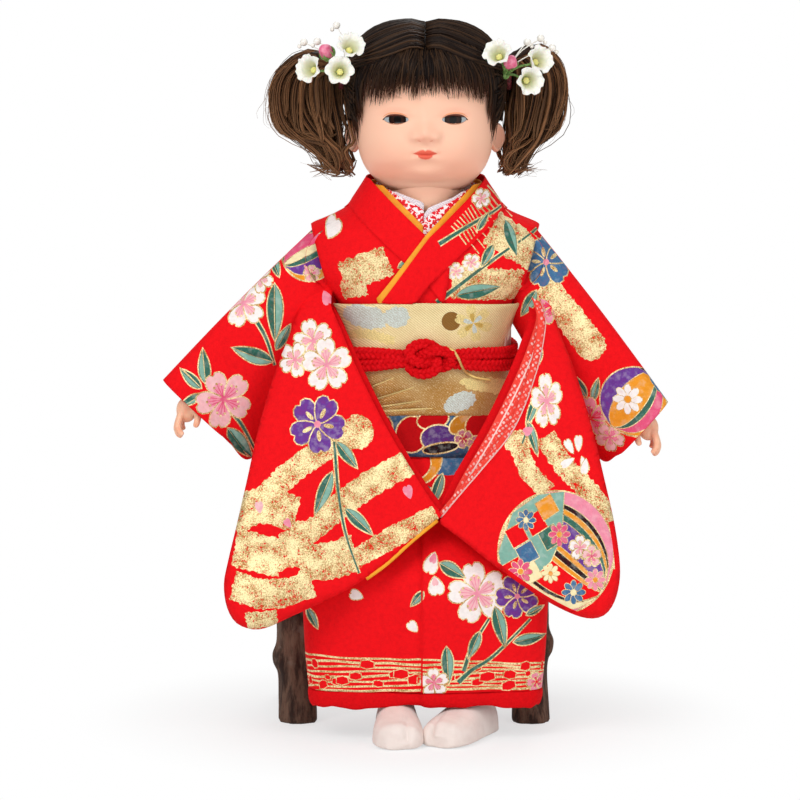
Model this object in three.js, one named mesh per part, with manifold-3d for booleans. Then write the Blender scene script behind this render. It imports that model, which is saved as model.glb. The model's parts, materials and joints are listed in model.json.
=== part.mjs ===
// Ichimatsu doll in a long-sleeved kimono, seated on a stool of branch wood.
// Sizes in mm. The doll faces -Y, its own left is at +X, and Z is up.
import * as THREE from "three";
import { mergeVertices } from "three/addons/utils/BufferGeometryUtils.js";
import Module from "manifold-3d";

const wasm = await Module();
wasm.setup();

// Clearance between pieces that touch, and the wall of one lined cloth layer.
const GAP = 0.3;
const CLOTH = 1.6;

// Stool: a board with a bark edge on four branch legs with round tenons.
const SEAT_HEIGHT = 100;
const SEAT_BOARD = 18;
const SEAT_WIDTH = 140;
const SEAT_DEPTH = 76;
const STOOL_X = -6;
const STOOL_Y = 8;
const LEG_DIAMETER = 19;
const LEG_INSET = 9;
const LEG_ROWS = 50;
const LEG_SPLAY = 12;
const TENON_DIAMETER = 11;
const TENON_LENGTH = 9;

// Body heights above the seat.
const OBI_LOW = 63;
const OBI_HEIGHT = 59;
const SHOULDER_RISE = 20;
const COLLAR_RISE = 35;
const CHIN_RISE = 1;

// Dressed body: half sizes of the surface under the collars.
const WAIST_HALF_WIDTH = 42.1;
const WAIST_HALF_DEPTH = 32;
const SHOULDER_X = 45;
const SHOULDER_CAP = 15.5;
const LAYER = 1;
const COLLAR_WIDTH = 18;
const OBI_THICK = 2.4;
const NECK_RADIUS = 16;
const NECK_DEPTH = 36;

// Skirt: the lap slopes from the sash to the knees, then falls to the hem.
const KNEE_DROP = 12;
const KNEE_FRONT = -86;
const SKIRT_HALF_WIDTH = 63;
const HEM_HALF_WIDTH = 60.5;
const HEM_LOW = 19.6;
const HEM_ROLL = 6.2;
const HIP_BACK = 42;
const OVERLAP_STEP = 1.1;
const OVERLAP_X = -3;

// Feet.
const FOOT_LENGTH = 58;
const FOOT_WIDTH = 26;
const FOOT_HEIGHT = 20;
const ANKLE_RADIUS = 9.5;

// Head.
const HEAD_HEIGHT = 83;
const HEAD_HALF_WIDTH = 37;
const HEAD_FRONT = 37.5;
const HEAD_BACK = 42.5;
const HAIR_THICK = 4.6;

// Sash cord.
const CORD_RADIUS = 3.1;
const KNOT_RADIUS = 7;

// Arms and sleeves.
const BALL_RADIUS = 9;
const ARM_RADIUS = 6.4;
const SLEEVE_BAG = 7.2;
const CUFF_REACH = -40;

// Flowers.
const BLOSSOM_RADIUS = 8;
const STEM_RADIUS = 0.8;

// Heights that follow from the sizes above.
const SEAT = SEAT_HEIGHT + GAP;
const OBI_Z = SEAT_HEIGHT + OBI_LOW;
const OBI_TOP = OBI_Z + OBI_HEIGHT;
const SHOULDER_Z = OBI_TOP + SHOULDER_RISE;
const COLLAR_TOP = SHOULDER_Z + COLLAR_RISE;
const CHIN_Z = COLLAR_TOP + CHIN_RISE;
const KNEE_Z = SEAT_HEIGHT - KNEE_DROP;
const WAIST_SPLIT = OBI_Z + OBI_HEIGHT / 2;

// Layers outward from the body surface: three under-collars, robe, collar, sash.
const NECKBAND_AT = 0;
const JUBAN_AT = NECKBAND_AT + LAYER + GAP;
const ORANGE_AT = JUBAN_AT + LAYER + GAP;
const ROBE_AT = ORANGE_AT + LAYER + GAP;
const COLLAR_AT = ROBE_AT + CLOTH + GAP;
const OBI_AT = COLLAR_AT;
const OBI_OUT = OBI_AT + OBI_THICK;

const V = (x, y, z) => new THREE.Vector3(x, y, z);

// A closed mesh as a solid for adding and cutting, and back again.
function solid(geometry) {
  const bare = new THREE.BufferGeometry();
  bare.setAttribute("position", geometry.getAttribute("position").clone());
  if (geometry.index) bare.setIndex(geometry.index.clone());
  const merged = mergeVertices(bare, 1e-4);
  const made = new wasm.Manifold(new wasm.Mesh({
    numProp: 3,
    vertProperties: new Float32Array(merged.getAttribute("position").array),
    triVerts: new Uint32Array(merged.index.array),
  }));
  return made;
}

function surface(made) {
  const mesh = made.getMesh();
  const geometry = new THREE.BufferGeometry();
  const points = [];
  for (let i = 0; i < mesh.numVert; i++) {
    const at = i * mesh.numProp;
    points.push(mesh.vertProperties[at], mesh.vertProperties[at + 1], mesh.vertProperties[at + 2]);
  }
  geometry.setAttribute("position", new THREE.Float32BufferAttribute(points, 3));
  geometry.setIndex(Array.from(mesh.triVerts));
  return geometry;
}

const join = (...parts) => parts.slice(1).reduce((all, next) => all.add(next), parts[0]);

// A closed loft through rings that all have the same number of points.
function loft(rings) {
  const count = rings[0].length;
  const points = [];
  const faces = [];
  for (const ring of rings) {
    for (const p of ring) points.push(p.x, p.y, p.z);
  }
  for (let r = 0; r + 1 < rings.length; r++) {
    for (let i = 0; i < count; i++) {
      const a = r * count + i;
      const b = r * count + ((i + 1) % count);
      faces.push(a, b, b + count, a, b + count, a + count);
    }
  }
  for (const end of [0, rings.length - 1]) {
    const middle = V(0, 0, 0);
    for (const p of rings[end]) middle.addScaledVector(p, 1 / count);
    const centre = points.length / 3;
    points.push(middle.x, middle.y, middle.z);
    for (let i = 0; i < count; i++) {
      const a = end * count + i;
      const b = end * count + ((i + 1) % count);
      if (end === 0) faces.push(centre, b, a);
      else faces.push(centre, a, b);
    }
  }
  const geometry = new THREE.BufferGeometry();
  geometry.setAttribute("position", new THREE.Float32BufferAttribute(points, 3));
  geometry.setIndex(faces);
  return facingOut(geometry);
}

// Turns every face round when the enclosed volume comes out negative.
function facingOut(geometry) {
  const at = geometry.getAttribute("position");
  const index = geometry.index.array;
  let volume = 0;
  const p = [V(0, 0, 0), V(0, 0, 0), V(0, 0, 0)];
  for (let i = 0; i < index.length; i += 3) {
    for (let k = 0; k < 3; k++) p[k].fromBufferAttribute(at, index[i + k]);
    volume += p[0].dot(p[1].clone().cross(p[2]));
  }
  if (volume < 0) {
    const turned = Array.from(index);
    for (let i = 0; i < turned.length; i += 3) {
      [turned[i + 1], turned[i + 2]] = [turned[i + 2], turned[i + 1]];
    }
    geometry.setIndex(turned);
  }
  return geometry;
}

const signedPower = (value, power) => Math.sign(value) * Math.abs(value) ** power;

// A level oval with its own front and back.
function oval(halfWidth, front, back, z, power = 2.4, count = 28, middleX = 0) {
  const ring = [];
  const middle = (front + back) / 2;
  const depth = (back - front) / 2;
  for (let i = 0; i < count; i++) {
    const angle = (i / count) * Math.PI * 2;
    ring.push(V(
      middleX + halfWidth * signedPower(Math.cos(angle), 2 / power),
      middle + depth * signedPower(Math.sin(angle), 2 / power),
      z,
    ));
  }
  return ring;
}

// Smooth value from rows [key, value, value, ...] at a key.
function sample(rows, key) {
  let i = 0;
  while (i < rows.length - 2 && key > rows[i + 1][0]) i++;
  const before = rows[Math.max(0, i - 1)];
  const a = rows[i];
  const b = rows[i + 1];
  const after = rows[Math.min(rows.length - 1, i + 2)];
  const t = THREE.MathUtils.clamp((key - a[0]) / (b[0] - a[0]), 0, 1);
  return a.slice(1).map((value, k) => {
    const span = b[0] - a[0];
    const m0 = ((b[k + 1] - before[k + 1]) / (b[0] - before[0])) * span;
    const m1 = ((after[k + 1] - value) / (after[0] - a[0])) * span;
    const t2 = t * t;
    const t3 = t2 * t;
    return (2 * t3 - 3 * t2 + 1) * value + (t3 - 2 * t2 + t) * m0
      + (3 * t2 - 2 * t3) * b[k + 1] + (t3 - t2) * m1;
  });
}

// Straight-line value from the same kind of rows.
function between(rows, key) {
  let i = 0;
  while (i < rows.length - 2 && key > rows[i + 1][0]) i++;
  const t = (key - rows[i][0]) / (rows[i + 1][0] - rows[i][0]);
  return rows[i].slice(1).map((value, k) => value + (rows[i + 1][k + 1] - value) * t);
}

// A tube through points with a radius at each, flattened by a factor across its second axis.
function limb(points, radii, sides = 12, flat = 1, steps = 0) {
  const curve = new THREE.CatmullRomCurve3(points);
  const stations = steps || (points.length - 1) * 3;
  const frames = curve.computeFrenetFrames(stations, false);
  const rings = [];
  for (let s = 0; s <= stations; s++) {
    const t = s / stations;
    const centre = curve.getPoint(t);
    const [radius] = sample(radii.map((r, i) => [i / (radii.length - 1), r]), t);
    const ring = [];
    for (let i = 0; i < sides; i++) {
      const angle = (i / sides) * Math.PI * 2;
      ring.push(centre.clone()
        .addScaledVector(frames.normals[s], Math.cos(angle) * radius)
        .addScaledVector(frames.binormals[s], Math.sin(angle) * radius * flat));
    }
    rings.push(ring);
  }
  return loft(rings);
}

// A prism: an outline in the front view (x, z), between two depths.
function frontPrism(outline, yFrom, yTo) {
  const shape = new THREE.Shape(outline.map(([x, z]) => new THREE.Vector2(x, z)));
  const made = new THREE.ExtrudeGeometry(shape, { depth: yTo - yFrom, bevelEnabled: false });
  made.rotateX(Math.PI / 2);
  made.translate(0, yTo, 0);
  return solid(made);
}

// A prism: an outline in the side view (y, z), between two widths.
function sidePrism(outline, xFrom, xTo) {
  const shape = new THREE.Shape(outline.map(([y, z]) => new THREE.Vector2(y, z)));
  const made = new THREE.ExtrudeGeometry(shape, { depth: xTo - xFrom, bevelEnabled: false });
  made.rotateX(Math.PI / 2);
  made.rotateZ(Math.PI / 2);
  made.translate(xFrom, 0, 0);
  return solid(made);
}

function box(x0, x1, y0, y1, z0, z1) {
  const made = new THREE.BoxGeometry(x1 - x0, y1 - y0, z1 - z0);
  made.translate((x0 + x1) / 2, (y0 + y1) / 2, (z0 + z1) / 2);
  return solid(made);
}

function ball(centre, radius, across = 14, down = 10, stretch = V(1, 1, 1)) {
  const made = new THREE.SphereGeometry(radius, across, down);
  made.scale(stretch.x, stretch.y, stretch.z);
  made.translate(centre.x, centre.y, centre.z);
  return solid(made);
}

function rod(from, to, radiusFrom, radiusTo, sides = 10) {
  const length = from.distanceTo(to);
  const made = new THREE.CylinderGeometry(radiusTo, radiusFrom, length, sides);
  made.translate(0, length / 2, 0);
  const turn = new THREE.Quaternion().setFromUnitVectors(V(0, 1, 0), to.clone().sub(from).normalize());
  made.applyQuaternion(turn);
  made.translate(from.x, from.y, from.z);
  return solid(made);
}

const doll = new THREE.Group();
doll.name = "ichimatsu_doll";

// Adds one named piece with its own material.
function piece(name, shape, color, roughness, metalness = 0) {
  const geometry = shape.isBufferGeometry ? shape : surface(shape);
  geometry.deleteAttribute("uv");
  geometry.computeVertexNormals();
  const mesh = new THREE.Mesh(geometry, new THREE.MeshStandardMaterial({ color, roughness, metalness }));
  mesh.name = name;
  doll.add(mesh);
  return mesh;
}

const RED = "#d8161c";
const BARK = "#4a3026";
const SKIN = "#f6c9aa";
const HAIR = "#2c1a13";
const WHITE = "#f3eeea";
const ORANGE = "#f0a02c";
const GOLD = "#b8934f";

// Stool.
function seatOutline(shrink) {
  const outline = [];
  for (let i = 0; i < 24; i++) {
    const angle = (i / 24) * Math.PI * 2;
    const ripple = 1 + 0.012 * Math.sin(angle * 5 + 1) + 0.01 * Math.sin(angle * 8);
    const x = (SEAT_WIDTH / 2 - shrink) * ripple * signedPower(Math.cos(angle), 0.55);
    const y = (SEAT_DEPTH / 2 - shrink) * ripple * signedPower(Math.sin(angle), 0.55);
    outline.push([x, y]);
  }
  return outline;
}

function seatRing(shrink, z) {
  return seatOutline(shrink).map(([x, y]) => V(x + STOOL_X, y + STOOL_Y, z));
}

const LEG_TOP = SEAT_HEIGHT - SEAT_BOARD - GAP;
const LEG_PLACES = [
  ["stool_leg_front_right", -1, -1, 33, -1],
  ["stool_leg_front_left", 1, -1, 40, 1],
  ["stool_leg_back_right", -1, 1, 52, -1],
  ["stool_leg_back_left", 1, 1, 28, 1],
];

function legAxis(sideX, sideY, z) {
  const lean = LEG_SPLAY * (1 - z / LEG_TOP);
  return V(STOOL_X + sideX * (SEAT_WIDTH / 2 - LEG_INSET), STOOL_Y + sideY * (LEG_ROWS / 2 + lean), z);
}

function branchLeg(sideX, sideY, knotZ, knotSide) {
  const rings = [];
  const radius = LEG_DIAMETER / 2;
  const levels = [0, 0.8, 16, 32, 48, 66].map((z) => z * LEG_TOP / 82);
  levels.push(LEG_TOP);
  for (const z of levels) {
    const axis = legAxis(sideX, sideY, z);
    const swell = 1 + 0.06 * Math.sin(z * 0.11 + knotZ) + 0.08 * Math.exp(-(((z - knotZ) / 12) ** 2));
    const size = radius * swell - (z === 0 ? 0.7 : 0);
    const ring = [];
    for (let i = 0; i < 10; i++) {
      const angle = (i / 10) * Math.PI * 2;
      const rough = 1 + 0.035 * Math.sin(angle * 3 + z * 0.05 + knotZ);
      ring.push(V(axis.x + Math.cos(angle) * size * rough, axis.y + Math.sin(angle) * size * rough, z));
    }
    rings.push(ring);
  }
  const middle = legAxis(sideX, sideY, knotZ);
  const knot = ball(middle.clone().add(V(knotSide * radius * 0.75, -radius * 0.25, 0)),
    radius * 0.62, 7, 5, V(1, 0.9, 1.5));
  const top = legAxis(sideX, sideY, LEG_TOP);
  const tenon = rod(top.clone().add(V(0, 0, -2)), top.clone().add(V(0, 0, TENON_LENGTH)),
    TENON_DIAMETER / 2, TENON_DIAMETER / 2, 12);
  return join(solid(loft(rings)), knot, tenon);
}

let seat = solid(loft([
  seatRing(3, SEAT_HEIGHT - SEAT_BOARD),
  seatRing(0.4, SEAT_HEIGHT - SEAT_BOARD * 0.78),
  seatRing(0, SEAT_HEIGHT - SEAT_BOARD * 0.4),
  seatRing(1.2, SEAT_HEIGHT - SEAT_BOARD * 0.1),
  seatRing(3, SEAT_HEIGHT),
]));
for (const [name, sideX, sideY, knotZ, knotSide] of LEG_PLACES) {
  const top = legAxis(sideX, sideY, LEG_TOP);
  seat = seat.subtract(rod(top, top.clone().add(V(0, 0, TENON_LENGTH + 2 * GAP)),
    TENON_DIAMETER / 2 + GAP, TENON_DIAMETER / 2 + GAP, 12));
  piece(name, branchLeg(sideX, sideY, knotZ, knotSide), BARK, 0.75);
}
piece("stool_seat", seat, "#5b3d2e", 0.6);

// Surface of the dressed body under the collars; rows of z, half width, front, back.
const capWidth = (z) => SHOULDER_X + Math.sqrt(Math.max(0, SHOULDER_CAP ** 2 - (z - SHOULDER_Z) ** 2));
const ROBE_OUT = ROBE_AT + CLOTH;
const W = WAIST_HALF_WIDTH;
const D = WAIST_HALF_DEPTH;
const BODY = [
  [OBI_Z - 4, W, -D, D],
  [OBI_TOP - 2, W, -D, D],
  ...[-15, -8, 0, 8, 14].map((rise) => [
    SHOULDER_Z + rise * SHOULDER_CAP / 15.5,
    capWidth(SHOULDER_Z + rise * SHOULDER_CAP / 15.5) - ROBE_OUT,
    -D + (rise + 15) * 0.11,
    D - (rise + 15) * 0.19,
  ]),
  [COLLAR_TOP - 18.5, W + 0.4, -D + 4.2, D - 6.5],
  [COLLAR_TOP - 14, W - 2, -D + 6.5, D - 8.5],
  [COLLAR_TOP - 9, W - 7.5, -D + 9.2, D - 10.2],
  [COLLAR_TOP - 4, W - 14.5, -D + 11.2, D - 11.5],
  [COLLAR_TOP + 0.2, W - 20.5, -D + 12.5, D - 12.5],
];

function bodyLoft(offset, zFrom, zTo, count = 18) {
  const levels = [zFrom];
  for (const row of BODY) {
    if (row[0] > zFrom + 0.5 && row[0] < zTo - 0.5) levels.push(row[0]);
  }
  levels.push(zTo);
  return solid(loft(levels.map((z) => {
    const row = BODY.find((r) => r[0] === z);
    const [halfWidth, front, back] = row ? row.slice(1) : between(BODY, z);
    return oval(halfWidth + offset, front - offset, back + offset, z, 2.4, count);
  })));
}

// The neckline is a V; d counts inward from the collar's edge, square to it.
const APEX = [2, COLLAR_TOP - 22];
const SLOPE = 0.92;
const SQUARE = Math.hypot(1, SLOPE);

function neckV(d, top = COLLAR_TOP + 30) {
  const low = APEX[1] + d * SQUARE;
  const reach = (top - low) / SLOPE;
  return [[APEX[0], low], [APEX[0] + reach, top], [APEX[0] - reach, top]];
}

// One collar layer: a V strip in front that runs on as a stand-up band behind.
function collarLayer(at, thick, dLow, dHigh, backLow, top) {
  const low = APEX[1] + dLow * SQUARE - 1;
  const shell = bodyLoft(at + thick, low, top).subtract(bodyLoft(at, low - 1, top + 0.2));
  const front = frontPrism(neckV(dLow), -70, 1).subtract(frontPrism(neckV(dHigh), -71, 2));
  const behind = box(-80, 80, -1, 70, backLow, top + 5);
  return shell.intersect(join(front, behind));
}

const UNDER_LOW = COLLAR_TOP - 15;
piece("white_neckband", collarLayer(NECKBAND_AT, LAYER, -8, 12.9, UNDER_LOW, COLLAR_TOP), "#efe9f2", 0.8);
piece("juban_collar", collarLayer(JUBAN_AT, LAYER, -10, 9.6, UNDER_LOW, COLLAR_TOP), "#f1dfe0", 0.8);
piece("orange_collar", collarLayer(ORANGE_AT, LAYER, -12, 2.4, UNDER_LOW, COLLAR_TOP), ORANGE, 0.7);

// The robe's collar: the doll's left half lies over its right half.
function collarBand(side, at, thick, beyond) {
  const run = V(-side, 0, -SLOPE).normalize();
  const down = V(side * SLOPE, 0, -1).normalize();
  const start = V(APEX[0], 0, APEX[1]).addScaledVector(run, -60);
  const end = V(APEX[0], 0, APEX[1]).addScaledVector(run, beyond);
  const corners = [
    start,
    end,
    end.clone().addScaledVector(down, COLLAR_WIDTH),
    start.clone().addScaledVector(down, COLLAR_WIDTH),
  ];
  const outline = corners.map((p) => [p.x, p.z]);
  const shell = bodyLoft(at + thick, OBI_TOP - 3, COLLAR_TOP)
    .subtract(bodyLoft(at, OBI_TOP - 4, COLLAR_TOP + 0.2));
  const half = box(side < 0 ? -80 : -40, side < 0 ? 40 : 80, -70, 1, OBI_TOP + GAP, COLLAR_TOP + 5);
  const ordered = side < 0 ? outline : outline.reverse();
  return shell.intersect(frontPrism(ordered, -70, 1).intersect(half));
}

const collarBack = bodyLoft(COLLAR_AT + 1.4, OBI_TOP - 3, COLLAR_TOP)
  .subtract(bodyLoft(COLLAR_AT, OBI_TOP - 4, COLLAR_TOP + 0.2))
  .intersect(box(-WAIST_HALF_WIDTH + 6, WAIST_HALF_WIDTH - 6, -1, 70, COLLAR_TOP - 17, COLLAR_TOP + 5));
piece("kimono_collar", join(
  collarBand(-1, COLLAR_AT, 1.2, 11),
  collarBand(1, COLLAR_AT, 1.8, 60),
  collarBack,
), RED, 0.7);

// Where each arm leaves the body.
const SIDES = [
  { name: "right", s: -1, cuffTop: [134, 175], cuffLow: [103, 152], wrist: [118, 170] },
  { name: "left", s: 1, cuffTop: [125, 166], cuffLow: [100, 143], wrist: [111, 161] },
].map((side) => ({
  ...side,
  pivot: V(side.s * SHOULDER_X, 0, SHOULDER_Z),
  cuffTop: [side.cuffTop[0], side.cuffTop[1] + SHOULDER_Z - 242],
  cuffLow: [side.cuffLow[0], side.cuffLow[1] + SHOULDER_Z - 242],
  wrist: [side.wrist[0], side.wrist[1] + SHOULDER_Z - 242],
}));

// Bodice with its neck opening and an armhole that leaves the arm room to rise.
let bodice = bodyLoft(ROBE_OUT, WAIST_SPLIT + GAP, COLLAR_TOP - 8)
  .subtract(bodyLoft(ROBE_AT, WAIST_SPLIT - 1, COLLAR_TOP - 6.5));
bodice = bodice.subtract(frontPrism(neckV(-2), -70, 0));
for (const { s } of SIDES) {
  const hole = [[s * (SHOULDER_X - 6), SHOULDER_Z - 6], [s * (SHOULDER_X + 6), SHOULDER_Z - 30],
    [s * (SHOULDER_X + 40), SHOULDER_Z - 30], [s * (SHOULDER_X + 40), SHOULDER_Z + 14],
    [s * (SHOULDER_X + 6), SHOULDER_Z + 11], [s * (SHOULDER_X - 6), SHOULDER_Z + 4]];
  bodice = bodice.subtract(frontPrism(s > 0 ? hole : hole.reverse(), -14.5, 12));
}
piece("kimono_bodice", bodice, RED, 0.75);

// Torso: stuffed body with a socket for the neck plug and a dish for each arm's ball.
const NECK_LOW = COLLAR_TOP - 4 - NECK_DEPTH;
const CORE_SIDE = SHOULDER_X - 2;
const robeInner = ROBE_AT - 3 * GAP;
const torsoLoft = (grow) => solid(loft([
  [W + robeInner - 2, -D - 1, D + robeInner, SEAT + CLOTH + GAP],
  [W + robeInner - 1, -D - 1, D + robeInner, OBI_Z - 30],
  [W + robeInner, -D - robeInner, D + robeInner, OBI_Z - 4],
  [W + robeInner, -D - robeInner, D + robeInner, OBI_TOP - 4],
  [Math.min(CORE_SIDE, W - 1), -D + 0.6, D - 0.6, OBI_TOP + 3],
  [CORE_SIDE, -D + 2.3, D - 4, SHOULDER_Z],
  [CORE_SIDE - 3, -D + 4, D - 5.8, SHOULDER_Z + 10],
  [W - 13.2, -D + 6.4, D - 8.4, COLLAR_TOP - 15.4],
].map(([halfWidth, front, back, z]) => oval(halfWidth + grow, front - grow, back + grow, z, 2.4, 16))));
let torso = torsoLoft(0);
const socketRadius = NECK_RADIUS + 2 * GAP;
torso = torso.subtract(rod(V(0, 2, NECK_LOW - GAP), V(0, 2, COLLAR_TOP), socketRadius, socketRadius, 20));
for (const { pivot } of SIDES) torso = torso.subtract(ball(pivot, BALL_RADIUS + 2 * GAP, 12, 8));
piece("torso_core", torso, "#e9dccb", 0.9);

// Skirt: hips on the seat joined to the fall in front of the legs; outer rows, then an inset.
const HEM_Z = HEM_LOW + HEM_ROLL + GAP;
const FALL = [
  [HEM_Z, HEM_HALF_WIDTH, KNEE_FRONT - 2, -46],
  [HEM_Z + 0.3 * (KNEE_Z - HEM_Z), SKIRT_HALF_WIDTH - 0.8, KNEE_FRONT - 2.7, -44.5],
  [HEM_Z + 0.55 * (KNEE_Z - HEM_Z), SKIRT_HALF_WIDTH, KNEE_FRONT - 3, -43],
  [KNEE_Z - 8, SKIRT_HALF_WIDTH + 0.5, KNEE_FRONT - 2.5, -39.5],
  [KNEE_Z, SKIRT_HALF_WIDTH, KNEE_FRONT, -37.5],
  [KNEE_Z + 7, SKIRT_HALF_WIDTH - 1, KNEE_FRONT + 6, -35.5],
  [SEAT + 4, SKIRT_HALF_WIDTH - 2.5, KNEE_FRONT + 15, -34],
];
const HIPS = [
  [SEAT, SKIRT_HALF_WIDTH - 2, KNEE_FRONT + 11, HIP_BACK],
  [SEAT + 4, SKIRT_HALF_WIDTH - 2.5, KNEE_FRONT + 15, HIP_BACK + 0.5],
  [SEAT + 14, SKIRT_HALF_WIDTH - 5.5, KNEE_FRONT + 26, HIP_BACK + 0.5],
  [SEAT + 28, SKIRT_HALF_WIDTH - 10, KNEE_FRONT + 36, HIP_BACK - 0.5],
  [OBI_Z - 21, W + ROBE_OUT + 2.4, -D - ROBE_OUT - 4.2, D + ROBE_OUT + 3],
  [OBI_Z - 4, W + ROBE_OUT, -D - ROBE_OUT, D + ROBE_OUT],
  [OBI_Z + 8, W + ROBE_OUT, -D - ROBE_OUT, D + ROBE_OUT],
  [WAIST_SPLIT, W + ROBE_OUT, -D - ROBE_OUT, D + ROBE_OUT],
];

// The robe's left front laps over the right one, which shows as a step down the skirt.
function lapped(ring, amount) {
  const front = Math.min(...ring.map((p) => p.y));
  const back = Math.max(...ring.map((p) => p.y));
  return ring.map((p) => {
    const forward = THREE.MathUtils.smoothstep((back - p.y) / (back - front), 0.55, 0.95);
    const over = THREE.MathUtils.smoothstep(p.x, OVERLAP_X - 4, OVERLAP_X + 4);
    return V(p.x, p.y - amount * forward * over, p.z);
  });
}

const skirtPower = (z) => (z < SEAT - 2 ? 3.2 : z > OBI_Z - 6 ? 2.4 : 2.6);

function skirtLoft(rows, inset, raiseLow, raiseTop) {
  const rings = rows.map(([z, halfWidth, front, back]) => {
    const ring = oval(halfWidth - inset, front + inset, back - inset, z, skirtPower(z), 18);
    return lapped(ring, OVERLAP_STEP * THREE.MathUtils.smoothstep(OBI_Z - 22 - z, 0, 8));
  });
  const last = rings.length - 1;
  rings[0] = rings[0].map((p) => V(p.x, p.y, p.z + raiseLow));
  rings[last] = rings[last].map((p) => V(p.x, p.y, p.z + raiseTop));
  return solid(loft(rings));
}

const skirtOuter = join(skirtLoft(FALL, 0, 0, 0), skirtLoft(HIPS, 0, 0, 0));
const skirtInner = join(skirtLoft(FALL, CLOTH, -3, -CLOTH), skirtLoft(HIPS, CLOTH, CLOTH, 3));
piece("kimono_skirt", skirtOuter.subtract(skirtInner), RED, 0.75);

// Padded roll under the hem.
function hemRing(z, grow) {
  return lapped(oval(HEM_HALF_WIDTH + grow, KNEE_FRONT - 2 - grow, -46 + grow, z, 3.2, 20), OVERLAP_STEP);
}
const hemOuter = loft([
  hemRing(HEM_LOW, -0.6),
  hemRing(HEM_LOW + 1.2, 0.5),
  hemRing(HEM_LOW + HEM_ROLL / 2, 1),
  hemRing(HEM_LOW + HEM_ROLL - 1.2, 0.5),
  hemRing(HEM_LOW + HEM_ROLL, -0.4),
]);
const hemInner = loft([hemRing(HEM_LOW - 1, -4), hemRing(HEM_LOW + HEM_ROLL + 1, -4)]);
piece("padded_hem", solid(hemOuter).subtract(solid(hemInner)), "#e01218", 0.85);

// Waist fold that hangs out below the sash.
function foldRing(z, grow) {
  const [halfWidth, front, back] = between(HIPS, z);
  return oval(halfWidth + grow, front - grow, back + grow, z, 2.6, 20);
}
const FOLD_LOW = OBI_Z - 21;
const FOLD_AT = 2.6 * GAP;
const foldLevels = [FOLD_LOW, FOLD_LOW + 6, OBI_Z - GAP];
const foldOuter = loft(foldLevels.map((z, i) => foldRing(z, FOLD_AT + [1.2, 2.2, 1.6][i])));
const foldInside = [FOLD_LOW - 1, FOLD_LOW + 6, FOLD_LOW + 12, OBI_Z + 1];
const foldInner = loft(foldInside.map((z) => foldRing(z, FOLD_AT)));
piece("waist_fold", solid(foldOuter).subtract(solid(foldInner)), "#b3363a", 0.75);

// Sash band.
const obiOuter = loft([
  oval(W + OBI_OUT - 0.7, -D - OBI_OUT + 0.7, D + OBI_OUT - 0.7, OBI_Z, 2.4, 24),
  oval(W + OBI_OUT, -D - OBI_OUT, D + OBI_OUT, OBI_Z + 1, 2.4, 24),
  oval(W + OBI_OUT, -D - OBI_OUT, D + OBI_OUT, OBI_TOP - 1, 2.4, 24),
  oval(W + OBI_OUT - 0.7, -D - OBI_OUT + 0.7, D + OBI_OUT - 0.7, OBI_TOP, 2.4, 24),
]);
const OBI_INSIDE = OBI_AT + 2 * GAP;
const obiInner = loft([OBI_Z - 1, OBI_TOP + 1].map((z) =>
  oval(W + OBI_INSIDE, -D - OBI_INSIDE, D + OBI_INSIDE, z, 2.4, 24)));
piece("obi_band", solid(obiOuter).subtract(solid(obiInner)), GOLD, 0.45, 0.5);

// Cord: two strands round the sash, tied in a knot in front.
const CORD_Z = OBI_Z + OBI_HEIGHT * 0.515;
const CORD_AT = OBI_OUT + GAP + CORD_RADIUS * 0.72;
const KNOT_X = 1.5;

function cordPath(z) {
  const halfWidth = W + CORD_AT;
  const depth = D + CORD_AT;
  const points = [];
  for (let i = 0; i <= 24; i++) {
    const angle = -Math.PI / 2 + 0.3 + (i / 24) * (Math.PI * 2 - 0.6);
    points.push(V(halfWidth * signedPower(Math.cos(angle), 2 / 2.4),
      depth * signedPower(Math.sin(angle), 2 / 2.4), z));
  }
  return points;
}

function cordStrand(z) {
  const path = cordPath(z);
  const rings = path.map((p, i) => {
    const ahead = path[Math.min(i + 1, path.length - 1)].clone().sub(path[Math.max(i - 1, 0)]).normalize();
    const out = V(ahead.y, -ahead.x, 0);
    const ring = [];
    for (let k = 0; k < 6; k++) {
      const angle = (k / 6) * Math.PI * 2;
      ring.push(p.clone().addScaledVector(out, Math.cos(angle) * CORD_RADIUS * 0.72)
        .add(V(0, 0, Math.sin(angle) * CORD_RADIUS)));
    }
    return ring;
  });
  return loft(rings);
}

piece("obi_cord_upper", cordStrand(CORD_Z + CORD_RADIUS + GAP / 2), "#c50f18", 0.65);
piece("obi_cord_lower", cordStrand(CORD_Z - CORD_RADIUS - GAP / 2), "#c50f18", 0.65);
const knot = new THREE.TorusKnotGeometry(KNOT_RADIUS, 2.6, 42, 5, 2, 3);
knot.scale(1.0, 0.8, 0.62);
knot.rotateX(Math.PI / 2);
const KNOT_Y = -D - OBI_OUT - GAP - 0.62 * (KNOT_RADIUS / 2 + 2.6) + 0.4;
knot.translate(KNOT_X, KNOT_Y, CORD_Z);
piece("obi_cord_knot", knot, "#c50f18", 0.65);

// Gold thread that runs from under the knot across the sash.
const threadAt = (x, z) => {
  const half = W + OBI_OUT;
  const y = -(D + OBI_OUT) * (1 - Math.abs(x / half) ** 2.4) ** (1 / 2.4);
  return V(x, y - GAP - 0.75, z);
};
const THREAD_Z = CORD_Z - 2 * CORD_RADIUS - 2;
const threadPath = [10, 14, 18, 24, 30, 36].map((x, i) =>
  threadAt(x, THREAD_Z - [0, 3.5, 4.6, 5.6, 6.4, 7][i]));
piece("gold_thread", limb(threadPath, [0.5, 0.5, 0.5, 0.5, 0.5, 0.5], 6, 1, 10), "#d8b25a", 0.35, 0.8);

// Bow on the back: two loops, a knot that wraps them and a tail below.
const BOW_Y = D + OBI_OUT + 2 * CORD_RADIUS * 0.72 + 2 * GAP;
const BOW_DEPTH = 15;
const BOW_Z = OBI_TOP - 26;

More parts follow.
